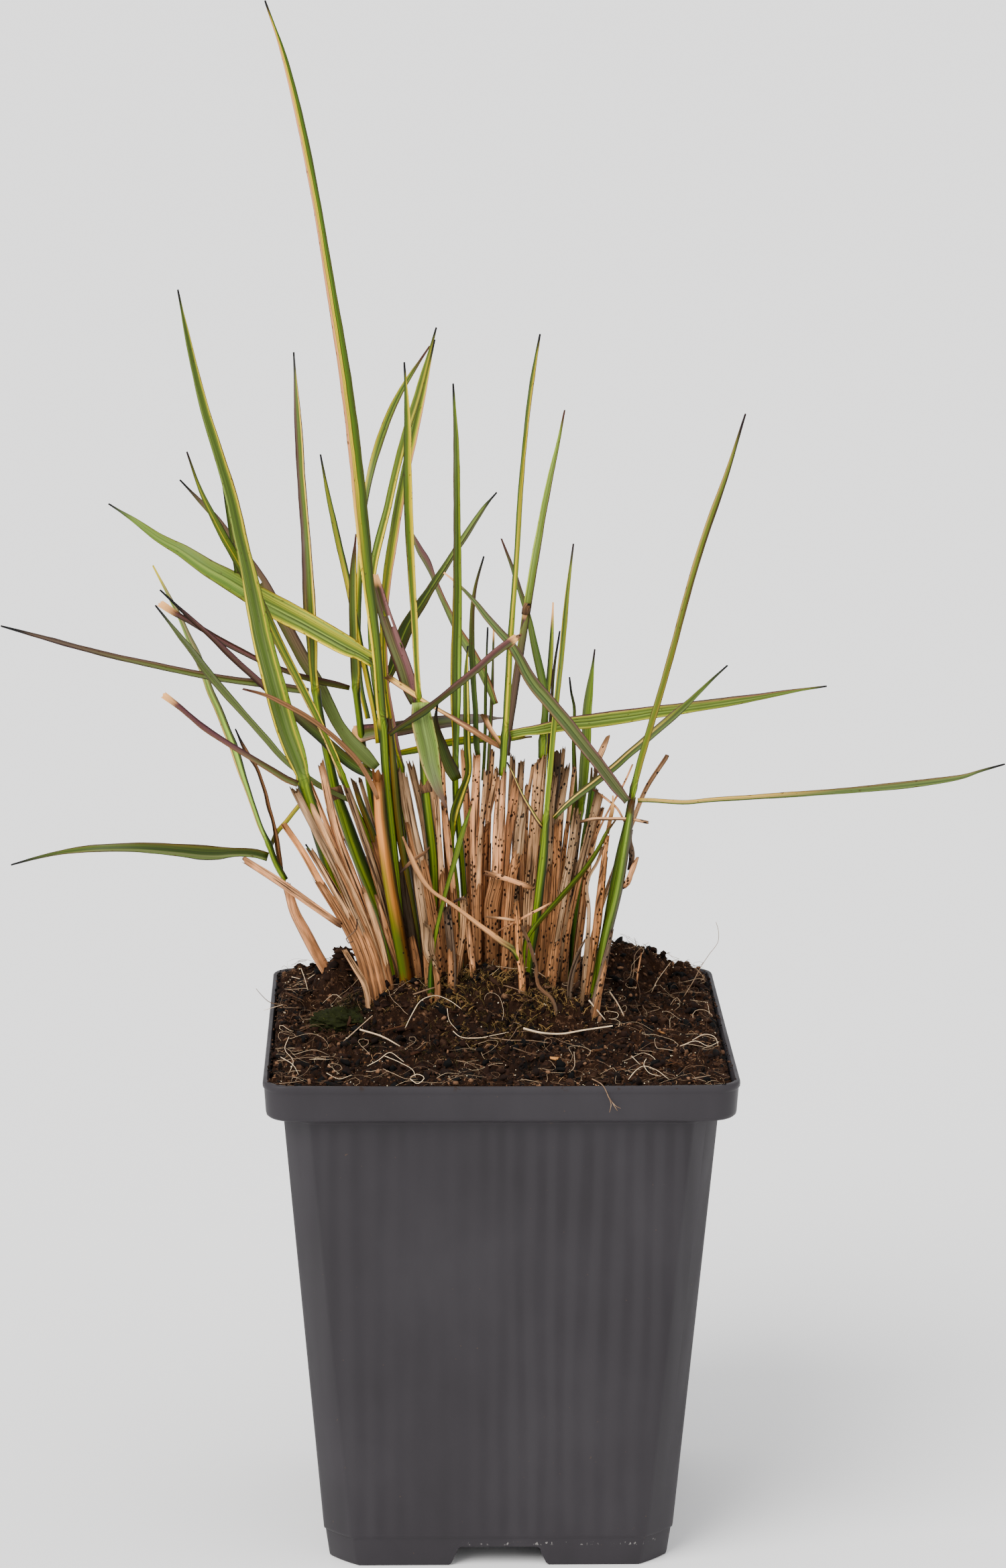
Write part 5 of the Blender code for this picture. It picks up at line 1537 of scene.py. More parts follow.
def wrap_paper(heap, rng, line, depths, high, grow):
    """Wrap a torn papery sheath round a straw, from its foot to a height along it."""
    middle, width, along, side, face, at, total = fine_line(line, depths, PAPER_STEP)
    picked = (at >= PAPER_FOOT) & (at <= min(high, total - 0.2))
    if picked.sum() < 4:
        return
    radii = width[picked] / 2 * grow + 0.05
    start = rng.uniform(-1.6, 3.2)
    arc = rng.uniform(3.2, 5.4)
    ways = (along[picked], side[picked], face[picked])
    points, faces, run = sleeve(middle[picked], *ways, radii, start, arc, rng)
    run[:, 0] += PAPER_FOOT
    heap.add(points, faces, rng.uniform(0.1, 0.9), run)


# Named colours of the leaves
GREEN = (0.46, 0.54, 0.25)
LEAF = (0.58, 0.64, 0.30)
BRIGHT = (0.57, 0.66, 0.13)
DEEP = (0.29, 0.37, 0.09)
SAGE = (0.52, 0.58, 0.35)
SOFT = (0.65, 0.71, 0.42)
YELLOW = (0.80, 0.76, 0.37)
LEMON = (0.92, 0.88, 0.48)
CREAM = (0.90, 0.84, 0.62)
PINK = (0.87, 0.74, 0.59)
OLIVE = (0.43, 0.42, 0.18)
GREY_GREEN = (0.51, 0.53, 0.36)
PURPLE = (0.51, 0.41, 0.35)
MAUVE = (0.58, 0.41, 0.41)
ROSE = (0.66, 0.52, 0.50)
DARK_RED = (0.40, 0.24, 0.18)
MAROON = (0.22, 0.12, 0.09)
TAN = (0.70, 0.55, 0.41)
DRY = (0.88, 0.78, 0.63)
BROWN = (0.41, 0.29, 0.16)
INK = (0.12, 0.08, 0.04)

# Each leaf's colours from one edge to the other, low on it and high on it, and what else it wears. The
# first edge is the left one of an upright leaf, the lower one of a leaf that runs to the left, and the upper
# one of a leaf that runs to the right.
# Most ramps end in a dark stop at both edges: painted shade as a dark outline along the margins, partly the
# margins' own purple and brown.
LOOKS = {
    "tallest_leaf": dict(
        low=((0.0, LEMON), (0.18, LEMON), (0.27, DEEP), (0.34, LEAF), (0.52, BRIGHT), (0.66, GREEN),
             (0.85, DEEP), (1.0, OLIVE)),
        high=((0.0, ROSE), (0.05, PINK), (0.22, PINK), (0.28, YELLOW), (0.37, LEMON), (0.41, DEEP),
              (0.45, LEMON), (0.52, YELLOW), (0.56, DEEP), (0.63, (0.50, 0.62, 0.18)),
              (0.82, (0.38, 0.48, 0.14)), (1.0, OLIVE)),
        tip=INK, tip_length=7.0, fold=0.35, change=(0.42, 0.56)),
    "wide_left_leaf": dict(
        low=((0.0, BROWN), (0.04, YELLOW), (0.09, LEMON), (0.13, GREEN), (0.26, SAGE), (0.36, GREEN),
             (0.48, (0.45, 0.55, 0.24)), (0.58, SAGE), (0.70, GREEN), (0.77, LEAF), (0.81, YELLOW),
             (0.86, LEAF), (0.94, (0.58, 0.66, 0.28)), (1.0, OLIVE)),
        high=((0.0, SAGE), (0.12, SOFT), (0.22, GREEN), (0.48, (0.42, 0.51, 0.22)), (0.66, GREEN),
              (0.76, LEAF), (0.83, YELLOW), (0.90, YELLOW), (0.95, DARK_RED), (1.0, MAROON)),
        tip=INK, tip_length=7.0, change=(0.5, 0.7)),
    "purple_edged_leaf": dict(
        low=((0.0, MAROON), (0.08, LEAF), (0.2, YELLOW), (0.3, DEEP), (0.48, GREEN), (0.66, DEEP),
             (0.75, YELLOW), (0.9, YELLOW), (1.0, DARK_RED)),
        high=((0.0, MAROON), (0.1, DARK_RED), (0.24, PURPLE), (0.34, OLIVE), (0.45, GREEN),
              (0.7, GREEN), (0.78, YELLOW), (0.86, CREAM), (0.92, DARK_RED), (1.0, MAROON)),
        tip=INK, tip_length=10.0, change=(0.45, 0.65)),
    "narrow_striped_leaf": dict(
        low=((0.0, CREAM), (0.16, CREAM), (0.22, OLIVE), (0.32, GREEN), (0.6, (0.46, 0.60, 0.22)),
             (0.78, GREEN), (0.85, LEMON), (0.95, LEMON), (1.0, OLIVE)),
        high=((0.0, OLIVE), (0.14, GREEN), (0.34, LEAF), (0.44, YELLOW), (0.54, LEAF), (0.8, GREEN),
              (1.0, MAROON)),
        tip=MAROON, tip_length=9.0),
    "olive_leaf": dict(
        low=((0.0, DARK_RED), (0.09, (0.52, 0.56, 0.34)), (0.3, SAGE), (0.6, (0.50, 0.55, 0.33)),
             (0.9, SAGE), (1.0, BROWN)),
        high=((0.0, BROWN), (0.16, (0.54, 0.54, 0.33)), (0.4, (0.60, 0.54, 0.42)),
              (0.72, (0.58, 0.49, 0.40)), (0.88, PURPLE), (1.0, MAROON)),
        tip=INK, tip_length=9.0, change=(0.2, 0.45), holes=((0.62, 3, 2, 2), (0.68, 6, 1, 1)),
        gloss=0.6),
    "dark_leaf": dict(
        low=((0.0, MAROON), (0.2, DEEP), (0.6, GREEN), (0.85, OLIVE), (1.0, MAROON)),
        high=((0.0, INK), (0.2, DARK_RED), (0.45, PURPLE), (0.75, MAUVE), (1.0, MAROON)), tip=INK,
        tip_length=16.0, change=(0.2, 0.45)),
    "far_left_leaf": dict(
        low=((0.0, MAROON), (0.15, GREY_GREEN), (0.4, SAGE), (0.6, OLIVE), (0.8, PURPLE),
             (1.0, MAROON)),
        high=((0.0, MAROON), (0.15, DARK_RED), (0.3, PURPLE), (0.5, (0.58, 0.51, 0.43)),
              (0.75, PURPLE), (1.0, MAROON)),
        tip=INK, tip_length=14.0),
    "cut_purple_leaf": dict(
        low=((0.0, MAROON), (0.15, OLIVE), (0.5, (0.34, 0.34, 0.14)), (0.8, DARK_RED), (1.0, INK)),
        high=((0.0, MAROON), (0.25, PURPLE), (0.55, MAUVE), (0.8, DARK_RED), (1.0, INK)), tip=DRY,
        tip_length=5.0, change=(0.2, 0.5)),
    "slender_grey_leaf": dict(
        low=((0.0, DARK_RED), (0.1, GREY_GREEN), (0.4, SAGE), (0.62, GREY_GREEN), (0.85, SAGE),
             (1.0, MAROON)),
        tip=INK, tip_length=9.0),
    "lower_cut_leaf": dict(
        low=((0.0, TAN), (0.3, GREY_GREEN), (0.6, OLIVE), (0.85, DARK_RED), (1.0, INK)),
        high=((0.0, TAN), (0.2, (0.60, 0.46, 0.42)), (0.5, MAUVE), (0.78, (0.50, 0.32, 0.35)),
              (1.0, MAROON)),
        tip=DRY, tip_length=5.0, change=(0.15, 0.45)),
    "broad_left_leaf": dict(
        low=((0.0, BROWN), (0.04, LEMON), (0.14, (0.72, 0.74, 0.38)), (0.22, GREEN), (0.28, SOFT),
             (0.36, SAGE), (0.42, DEEP), (0.46, SOFT), (0.56, GREEN), (0.64, (0.70, 0.72, 0.36)),
             (0.78, (0.76, 0.75, 0.40)), (0.86, SOFT), (0.95, YELLOW), (1.0, BROWN)),
        high=((0.0, DARK_RED), (0.06, LEAF), (0.25, (0.50, 0.61, 0.32)), (0.48, SOFT), (0.54, GREEN),
              (0.62, (0.53, 0.62, 0.32)), (0.9, LEAF), (1.0, BROWN)),
        tip=INK, tip_length=9.0, change=(0.22, 0.5)),
    "short_upright_leaf": dict(
        low=((0.0, MAROON), (0.14, GREEN), (0.5, LEAF), (0.75, DEEP), (0.86, YELLOW), (1.0, OLIVE)),
        high=((0.0, MAROON), (0.15, OLIVE), (0.4, GREEN), (0.7, SAGE), (0.86, YELLOW), (1.0, BROWN)),
        tip=DARK_RED, tip_length=12.0),
    "rolled_leaf": dict(
        low=((0.0, MAROON), (0.1, PURPLE), (0.22, DEEP), (0.5, (0.50, 0.55, 0.24)), (0.66, OLIVE),
             (0.88, PURPLE), (1.0, MAROON)),
        high=((0.0, MAROON), (0.15, MAUVE), (0.4, GREY_GREEN), (0.7, PURPLE), (1.0, MAROON)),
        tip=DARK_RED, base=TAN, base_length=3.0),
    "yellow_leaf": dict(
        low=((0.0, TAN), (0.1, YELLOW), (0.5, (0.86, 0.80, 0.34)), (0.68, LEAF), (0.8, DEEP),
             (1.0, DEEP)),
        high=((0.0, OLIVE), (0.15, LEAF), (0.5, (0.70, 0.68, 0.32)), (0.72, LEAF), (0.84, DEEP),
              (1.0, MAROON)),
        tip=INK, tip_length=9.0),
    "arching_leaf": dict(
        low=((0.0, OLIVE), (0.1, LEMON), (0.28, YELLOW), (0.42, LEAF), (0.7, GREEN), (0.85, DEEP),
             (1.0, DEEP)),
        high=((0.0, OLIVE), (0.12, YELLOW), (0.24, LEAF), (0.42, GREEN), (0.5, DEEP), (0.58, GREEN),
              (0.74, LEAF), (0.88, OLIVE), (1.0, DARK_RED)),
        tip=DARK_RED, tip_length=12.0),
    "twin_leaf_left": dict(
        low=((0.0, DEEP), (0.12, GREEN), (0.3, SOFT), (0.45, GREEN), (0.6, LEAF), (0.75, LEMON),
             (0.86, YELLOW), (1.0, BROWN)),
        high=((0.0, YELLOW), (0.12, LEAF), (0.35, GREEN), (0.5, LEAF), (0.68, YELLOW),
              (0.84, (0.66, 0.68, 0.28)), (1.0, BROWN)),
        tip=INK, tip_length=9.0),
    "twin_leaf_right": dict(
        low=((0.0, DEEP), (0.1, YELLOW), (0.28, LEMON), (0.38, GREEN), (0.52, (0.50, 0.53, 0.23)),
             (0.64, YELLOW), (0.76, MAUVE), (0.92, ROSE), (1.0, DARK_RED)),
        high=((0.0, LEAF), (0.2, GREEN), (0.4, (0.46, 0.51, 0.20)), (0.6, LEAF), (0.78, YELLOW),
              (0.88, PINK), (1.0, PURPLE)),
        tip=INK, tip_length=8.0),
    "vertical_leaf": dict(
        low=((0.0, OLIVE), (0.08, CREAM), (0.16, LEMON), (0.22, GREEN), (0.36, (0.50, 0.58, 0.26)),
             (0.56, GREEN), (0.66, LEAF), (0.76, YELLOW), (0.9, LEMON), (1.0, BROWN)),
        high=((0.0, DEEP), (0.14, GREEN), (0.44, (0.50, 0.60, 0.22)), (0.55, LEAF), (0.68, YELLOW),
              (0.88, LEMON), (1.0, OLIVE)),
        tip=INK, tip_length=8.0),
    "drooping_leaf": dict(
        low=((0.0, (0.70, 0.69, 0.46)), (0.05, SOFT), (0.12, (0.50, 0.59, 0.31)),
             (0.3, (0.56, 0.63, 0.38)), (0.42, SAGE), (0.5, (0.57, 0.64, 0.40)), (0.6, SAGE),
             (0.7, (0.49, 0.57, 0.30)), (0.88, (0.56, 0.62, 0.37)), (0.96, (0.74, 0.71, 0.50)),
             (1.0, TAN)),
        high=((0.0, (0.70, 0.69, 0.46)), (0.06, LEAF), (0.3, (0.53, 0.58, 0.38)),
              (0.45, (0.48, 0.52, 0.34)), (0.6, (0.53, 0.57, 0.38)), (0.84, SAGE),
              (0.95, (0.70, 0.66, 0.48)), (1.0, PURPLE)),
        tip=PURPLE, tip_length=9.0, base=SOFT, base_length=2.0),
    "broad_purple_leaf": dict(
        low=((0.0, MAROON), (0.08, DARK_RED), (0.18, GREY_GREEN), (0.42, (0.50, 0.50, 0.31)),
             (0.6, MAUVE), (0.85, ROSE), (1.0, MAROON)),
        high=((0.0, DARK_RED), (0.14, GREY_GREEN), (0.32, PURPLE), (0.55, OLIVE), (0.72, MAUVE),
              (0.9, ROSE), (1.0, DARK_RED)),
        tip=DRY, tip_length=3.0, holes=((0.7, 4, 1, 1), (0.62, 6, 2, 1), (0.45, 7, 1, 1)), blotch=TAN,
        blotch_amount=0.03),
    "twisted_leaf": dict(
        low=((0.0, OLIVE), (0.2, DEEP), (0.45, (0.36, 0.42, 0.15)), (0.55, LEAF), (0.62, DEEP),
             (0.88, OLIVE), (1.0, MAROON)),
        high=((0.0, OLIVE), (0.15, SAGE), (0.45, SOFT), (0.62, (0.30, 0.26, 0.14)), (0.8, GREY_GREEN),
              (1.0, MAROON)),
        tip=INK, tip_length=8.0),
    "crossing_leaf": dict(
        low=((0.0, PURPLE), (0.15, SAGE), (0.5, SOFT), (0.65, SAGE), (0.85, TAN), (1.0, DARK_RED)),
        high=((0.0, MAROON), (0.15, GREY_GREEN), (0.5, PURPLE), (0.82, MAUVE), (1.0, MAROON)),
        tip=GREY_GREEN),
    "centre_leaf": dict(
        low=((0.0, DARK_RED), (0.1, YELLOW), (0.16, OLIVE), (0.34, GREEN), (0.5, (0.44, 0.55, 0.18)),
             (0.6, DEEP), (0.68, SOFT), (0.78, (0.60, 0.72, 0.33)), (0.9, GREEN), (1.0, DEEP)),
        high=((0.0, PURPLE), (0.1, OLIVE), (0.3, GREEN), (0.5, (0.47, 0.57, 0.20)), (0.58, DEEP),
              (0.66, LEAF), (0.88, (0.62, 0.67, 0.28)), (1.0, OLIVE)),
        tip=INK, tip_length=8.0),
    "dark_drooping_leaf": dict(
        low=((0.0, OLIVE), (0.2, (0.38, 0.43, 0.18)), (0.5, (0.34, 0.41, 0.15)),
             (0.8, (0.36, 0.36, 0.17)), (1.0, MAROON)),
        high=((0.0, GREY_GREEN), (0.2, (0.40, 0.38, 0.22)), (0.8, (0.34, 0.28, 0.18)), (1.0, DARK_RED)),
        tip=INK, tip_length=8.0),
    "upright_centre_leaf": dict(
        low=((0.0, MAROON), (0.12, DEEP), (0.4, (0.32, 0.42, 0.06)), (0.6, DEEP), (0.78, GREEN),
             (1.0, MAROON)),
        high=((0.0, (0.50, 0.52, 0.26)), (0.4, OLIVE), (0.75, BROWN), (1.0, MAROON)), tip=INK,
        tip_length=9.0),
    "cross_purple_leaf": dict(
        low=((0.0, MAROON), (0.25, PURPLE), (0.5, OLIVE), (0.85, DEEP), (1.0, INK)),
        high=((0.0, MAROON), (0.1, ROSE), (0.35, MAUVE), (0.58, PURPLE), (0.8, GREY_GREEN),
              (0.92, OLIVE), (1.0, INK)),
        tip=DRY, tip_length=1.5),
    "straw_tipped_leaf": dict(
        low=((0.0, MAROON), (0.15, OLIVE), (0.35, (0.68, 0.64, 0.42)), (0.5, OLIVE), (1.0, GREY_GREEN)),
        high=((0.0, TAN), (0.3, (0.80, 0.67, 0.53)), (0.6, (0.88, 0.77, 0.63)),
              (0.85, (0.80, 0.66, 0.50)), (1.0, TAN)),
        tip=TAN, change=(0.28, 0.40)),
    "slim_right_leaf": dict(
        low=((0.0, DEEP), (0.25, LEAF), (0.5, GREEN), (0.75, OLIVE), (1.0, BROWN)), tip=BROWN),
    "right_tall_leaf": dict(
        low=((0.0, DEEP), (0.14, LEAF), (0.32, BRIGHT), (0.52, (0.56, 0.60, 0.16)),
             (0.78, (0.70, 0.67, 0.34)), (1.0, BROWN)),
        high=((0.0, OLIVE), (0.1, (0.80, 0.72, 0.48)), (0.28, (0.72, 0.68, 0.42)), (0.42, LEAF),
              (0.60, (0.58, 0.61, 0.27)), (0.76, OLIVE), (0.9, BROWN), (1.0, MAROON)),
        tip=MAROON, tip_length=12.0),
    "far_right_leaf": dict(
        low=((0.0, DARK_RED), (0.2, CREAM), (0.6, (0.75, 0.69, 0.50)), (0.8, GREEN), (1.0, MAROON)),
        high=((0.0, MAROON), (0.12, (0.66, 0.58, 0.42)), (0.34, (0.56, 0.60, 0.38)),
              (0.6, (0.46, 0.53, 0.33)), (0.88, SAGE), (1.0, MAROON)),
        tip=INK, tip_length=9.0, change=(0.3, 0.55)),
    "rising_leaf": dict(
        low=((0.0, BROWN), (0.15, DEEP), (0.34, CREAM), (0.42, OLIVE), (0.5, DEEP), (0.8, GREEN),
             (1.0, MAROON)),
        high=((0.0, DARK_RED), (0.1, PURPLE), (0.2, LEAF), (0.32, GREEN), (0.5, (0.46, 0.52, 0.27)),
              (0.56, DEEP), (0.62, GREEN), (0.85, SAGE), (1.0, MAROON)),
        tip=INK, tip_length=9.0),
    "broad_right_leaf": dict(
        low=((0.0, DARK_RED), (0.07, MAUVE), (0.13, (0.76, 0.75, 0.44)), (0.22, (0.64, 0.69, 0.36)),
             (0.3, GREEN), (0.38, SOFT), (0.48, LEAF), (0.54, DEEP), (0.60, SOFT), (0.72, GREEN),
             (0.84, LEAF), (0.93, (0.78, 0.77, 0.44)), (1.0, OLIVE)),
        high=((0.0, MAROON), (0.12, PURPLE), (0.22, TAN), (0.32, LEAF), (0.48, GREEN), (0.56, SOFT),
              (0.7, GREEN), (0.86, LEAF), (1.0, DARK_RED)),
        tip=INK, tip_length=7.0),
    "diagonal_leaf": dict(
        low=((0.0, MAROON), (0.08, MAUVE), (0.18, GREY_GREEN), (0.45, (0.45, 0.49, 0.30)),
             (0.52, (0.38, 0.43, 0.22)), (0.6, GREY_GREEN), (0.80, (0.48, 0.47, 0.32)),
             (0.90, PURPLE), (0.96, MAUVE), (1.0, MAROON)),
        high=((0.0, BROWN), (0.1, (0.60, 0.52, 0.38)), (0.2, GREY_GREEN), (0.38, (0.45, 0.54, 0.33)),
              (0.48, (0.36, 0.42, 0.23)), (0.56, SAGE), (0.8, (0.44, 0.46, 0.27)), (0.92, PURPLE),
              (1.0, MAROON)),
        tip=DRY, tip_length=7.0, change=(0.15, 0.4)),
    "bright_upright_leaf": dict(
        low=((0.0, DEEP), (0.14, GREEN), (0.26, LEAF), (0.42, (0.86, 0.83, 0.44)), (0.58, YELLOW),
             (0.72, (0.60, 0.63, 0.26)), (0.88, LEAF), (1.0, OLIVE)),
        high=((0.0, DEEP), (0.2, GREEN), (0.36, (0.46, 0.56, 0.22)), (0.48, LEAF), (0.62, YELLOW),
              (0.76, LEMON), (0.88, PURPLE), (1.0, DARK_RED)),
        tip=INK, tip_length=7.0),
    "green_upright_leaf": dict(
        low=((0.0, OLIVE), (0.3, PURPLE), (0.7, (0.46, 0.38, 0.30)), (1.0, MAROON)),
        high=((0.0, OLIVE), (0.08, (0.76, 0.80, 0.44)), (0.22, GREEN), (0.34, SOFT),
              (0.5, (0.55, 0.62, 0.30)), (0.6, GREEN), (0.8, LEAF), (0.9, BROWN), (1.0, MAROON)),
        tip=DARK_RED, tip_length=8.0, change=(0.2, 0.45)),
    "bent_leaf": dict(
        low=((0.0, OLIVE), (0.2, GREEN), (0.5, SAGE), (0.7, (0.42, 0.53, 0.14)), (1.0, DEEP)),
        high=((0.0, DEEP), (0.25, GREEN), (0.5, OLIVE), (0.75, BROWN), (1.0, MAROON)), tip=DARK_RED,
        tip_length=14.0),
    "light_green_leaf": dict(
        low=((0.0, DEEP), (0.1, (0.80, 0.85, 0.34)), (0.25, BRIGHT), (0.6, (0.52, 0.62, 0.09)),
             (0.76, (0.70, 0.75, 0.28)), (1.0, OLIVE)),
        high=((0.0, OLIVE), (0.12, YELLOW), (0.24, DEEP), (0.42, GREEN), (0.6, LEAF),
              (0.88, (0.68, 0.67, 0.30)), (1.0, OLIVE)),
        tip=MAROON, tip_length=7.0),
    "short_back_leaf": dict(
        low=((0.0, MAROON), (0.15, LEAF), (0.25, DEEP), (0.5, GREEN), (0.64, DEEP), (0.8, GREEN),
             (1.0, DEEP)),
        high=((0.0, OLIVE), (0.15, SAGE), (0.3, GREEN), (0.5, LEAF), (0.7, (0.47, 0.57, 0.20)),
              (0.9, LEAF), (1.0, DEEP)),
        tip=MAROON, tip_length=6.0),
    "lower_left_leaf": dict(
        low=((0.0, MAROON), (0.12, SAGE), (0.28, GREY_GREEN), (0.4, DEEP), (0.7, (0.34, 0.40, 0.12)),
             (0.86, OLIVE), (1.0, DARK_RED)),
        high=((0.0, MAROON), (0.08, DARK_RED), (0.16, (0.48, 0.48, 0.28)), (0.42, GREEN), (0.5, DEEP),
              (0.58, GREEN), (0.84, (0.47, 0.50, 0.26)), (0.93, DARK_RED), (1.0, MAROON)),
        tip=INK, tip_length=16.0),
    "outer_left_leaf": dict(
        low=((0.0, OLIVE), (0.1, CREAM), (0.2, GREY_GREEN), (0.4, (0.70, 0.78, 0.46)),
             (0.56, (0.76, 0.84, 0.50)), (0.72, GREEN), (0.85, DEEP), (1.0, INK)),
        high=((0.0, OLIVE), (0.1, SOFT), (0.4, SAGE), (0.68, (0.66, 0.60, 0.46)), (0.86, GREY_GREEN),
              (1.0, MAROON)),
        tip=YELLOW, tip_length=10.0),
}

# The same for the narrow leaves that only the scene has
THIN_LOOKS = {
    "low_level": dict(
        low=((0.0, BROWN), (0.15, YELLOW), (0.4, LEAF), (0.6, (0.60, 0.64, 0.26)), (0.82, GREEN),
             (1.0, MAROON)),
        tip=BROWN),
    "rolled_end": dict(
        low=((0.0, DARK_RED), (0.12, (0.66, 0.54, 0.42)), (0.3, GREY_GREEN),
             (0.5, (0.50, 0.55, 0.24)), (0.66, OLIVE), (0.85, MAUVE), (1.0, MAROON)),
        tip=DRY, tip_length=1.6, torn=0.3),
    "striped_middle": dict(
        low=((0.0, DEEP), (0.2, LEAF), (0.4, DEEP), (0.58, GREEN), (0.72, LEMON), (0.84, GREEN),
             (1.0, DEEP)),
        tip=INK, tip_length=4.0),
    "tan_narrow": dict(
        low=((0.0, BROWN), (0.2, TAN), (0.5, (0.60, 0.45, 0.30)), (0.8, TAN), (1.0, DARK_RED)),
        tip=DARK_RED, base=TAN),
    "dry_fold": dict(
        low=((0.0, BROWN), (0.25, TAN), (0.5, DRY), (0.75, MAUVE), (1.0, BROWN)),
        high=((0.0, BROWN), (0.2, DRY), (0.7, CREAM), (1.0, TAN)), tip=BROWN, tip_length=2.0,
        base=TAN, crinkle=0.2),
    "tan_tipped": dict(
        low=((0.0, DEEP), (0.5, LEAF), (1.0, DEEP)),
        high=((0.0, BROWN), (0.3, TAN), (0.8, DRY), (1.0, TAN)), tip=BROWN, tip_length=2.0,
        change=(0.1, 0.4)),
    "young_shoot": dict(
        low=((0.0, DEEP), (0.3, (0.56, 0.64, 0.12)), (0.7, LEAF), (1.0, DEEP)), tip=BROWN,
        tip_length=2.0),
    "slim_curled": dict(
        low=((0.0, MAROON), (0.25, DEEP), (0.5, LEAF), (0.78, (0.76, 0.78, 0.40)), (1.0, BROWN)),
        tip=DRY, tip_length=6.0),
    "cream_edged": dict(
        low=((0.0, DARK_RED), (0.3, PURPLE), (0.55, CREAM), (0.75, GREEN), (1.0, MAROON)), tip=INK,
        tip_length=3.0),
    "dark_slim": dict(
        low=((0.0, MAROON), (0.4, BROWN), (0.7, DEEP), (1.0, MAROON)), tip=INK, tip_length=10.0),
    "right_needle": dict(low=((0.0, DEEP), (0.5, GREEN), (1.0, DARK_RED)), tip=INK, tip_length=9.0),
    "right_sliver": dict(low=((0.0, DEEP), (0.5, GREEN), (1.0, DEEP)), tip=BROWN),
    "behind_bright_a": dict(
        low=((0.0, MAROON), (0.4, GREEN), (0.8, PURPLE), (1.0, MAROON)), tip=DRY, tip_length=4.0),
    "behind_bright_b": dict(low=((0.0, DEEP), (0.5, GREEN), (1.0, MAROON)), tip=INK, tip_length=9.0),
    "olive_stalk": dict(
        low=((0.0, DEEP), (0.4, (0.68, 0.66, 0.26)), (0.75, YELLOW), (1.0, TAN)), tip=OLIVE),
    "brown_dry": dict(
        low=((0.0, MAROON), (0.3, BROWN), (0.6, TAN), (1.0, MAROON)), tip=INK, crinkle=0.2, base=BROWN),
    "green_dart": dict(low=((0.0, DEEP), (0.5, GREEN), (1.0, DEEP)), tip=INK, tip_length=2.0),
    "behind_wide": dict(low=((0.0, DEEP), (0.5, GREEN), (1.0, PURPLE)), tip=INK),
    "purple_piece": dict(
        low=((0.0, OLIVE), (0.25, PURPLE), (0.6, MAUVE), (0.85, PURPLE), (1.0, MAROON)), tip=DRY,
        tip_length=2.5),
    "papery_blade": dict(low=((0.0, TAN), (0.5, CREAM), (1.0, TAN)), tip=DRY, base=TAN, crinkle=0.2),
}

TONES = {
    "tan": (0.82, 0.724, 0.612),
    "cream": (0.92, 0.835, 0.735),
    "palest": (0.98, 0.93, 0.86),
    "pale": (0.88, 0.78, 0.665),
    "brown": (0.71, 0.614, 0.507),
    "dark": (0.55, 0.468, 0.394),
    "deep": (0.40, 0.335, 0.27),
    "orange": (0.83, 0.695, 0.545),
}

# Round green stalks among the straws: colours from the left edge to the right one, darker at both sides and
# palest near the middle, which paints the round stalk's shade and light
SHADED_STALKS = {
    "olive": ((0.0, (0.30, 0.24, 0.10)), (0.2, (0.58, 0.47, 0.18)), (0.45, (0.55, 0.50, 0.16)),
              (0.7, (0.42, 0.45, 0.12)), (1.0, (0.20, 0.22, 0.06))),
    "green": ((0.0, (0.16, 0.24, 0.06)), (0.3, (0.33, 0.46, 0.14)), (0.6, (0.42, 0.55, 0.22)),
              (1.0, (0.18, 0.26, 0.08))),
    "culm": ((0.0, (0.34, 0.42, 0.14)), (0.3, (0.52, 0.62, 0.26)), (0.5, (0.66, 0.72, 0.40)),
             (0.62, (0.46, 0.56, 0.26)), (0.85, (0.50, 0.50, 0.36)), (1.0, (0.34, 0.28, 0.22))),
}

# Which of the solids' colour groups each leaf belongs to; the rest are green
STRIPED = ("tallest_leaf", "wide_left_leaf", "narrow_striped_leaf", "broad_left_leaf", "twin_leaf_right",
           "right_tall_leaf", "diagonal_leaf", "broad_right_leaf", "lower_left_leaf")
PURPLISH = ("purple_edged_leaf", "dark_leaf", "far_left_leaf", "cut_purple_leaf", "slender_grey_leaf",
            "lower_cut_leaf", "broad_purple_leaf", "cross_purple_leaf", "dark_drooping_leaf",
            "far_right_leaf")

# Colours round a leaf's round sheath: green, darker at both sides and paler towards the front, which paints
# the sheath's shade into its colour
SHADED_SHEATH_GREEN = ((0.0, (0.24, 0.30, 0.06)), (0.16, (0.42, 0.51, 0.13)), (0.30, (0.64, 0.70, 0.22)),
                (0.44, (0.50, 0.60, 0.12)),
                (0.58, (0.66, 0.72, 0.24)), (0.76, (0.40, 0.49, 0.11)), (1.0, (0.20, 0.26, 0.05)))

# Moss: where it shows on the board, spread, count, length, shades and how much the middle is raised
MOSS_PATCHES = (
    (-37.0, 123.5, 4.2, 3.2, 420, 0.9, 0.0, 0.45, 2.6),
    (-33.0, 117.0, 3.0, 5.0, 120, 1.4, 0.0, 0.4, 0.0),
    (-8.0, 131.0, 8.5, 3.0, 230, 2.6, 0.35, 1.0, 0.0),
    (-3.0, 124.0, 6.0, 4.0, 130, 2.4, 0.3, 0.8, 0.0),
    (11.0, 125.5, 5.0, 2.5, 120, 2.4, 0.45, 1.0, 0.0),
    (-12.0, 113.0, 6.0, 4.0, 80, 1.6, 0.0, 0.4, 0.0),
    (2.0, 137.0, 22.0, 8.0, 230, 2.0, 0.0, 0.7, 0.0),
    (30.0, 141.0, 9.0, 7.0, 130, 1.6, 0.0, 0.4, 0.0),
)
MOSS_LUMP = (-37.0, 123.0)

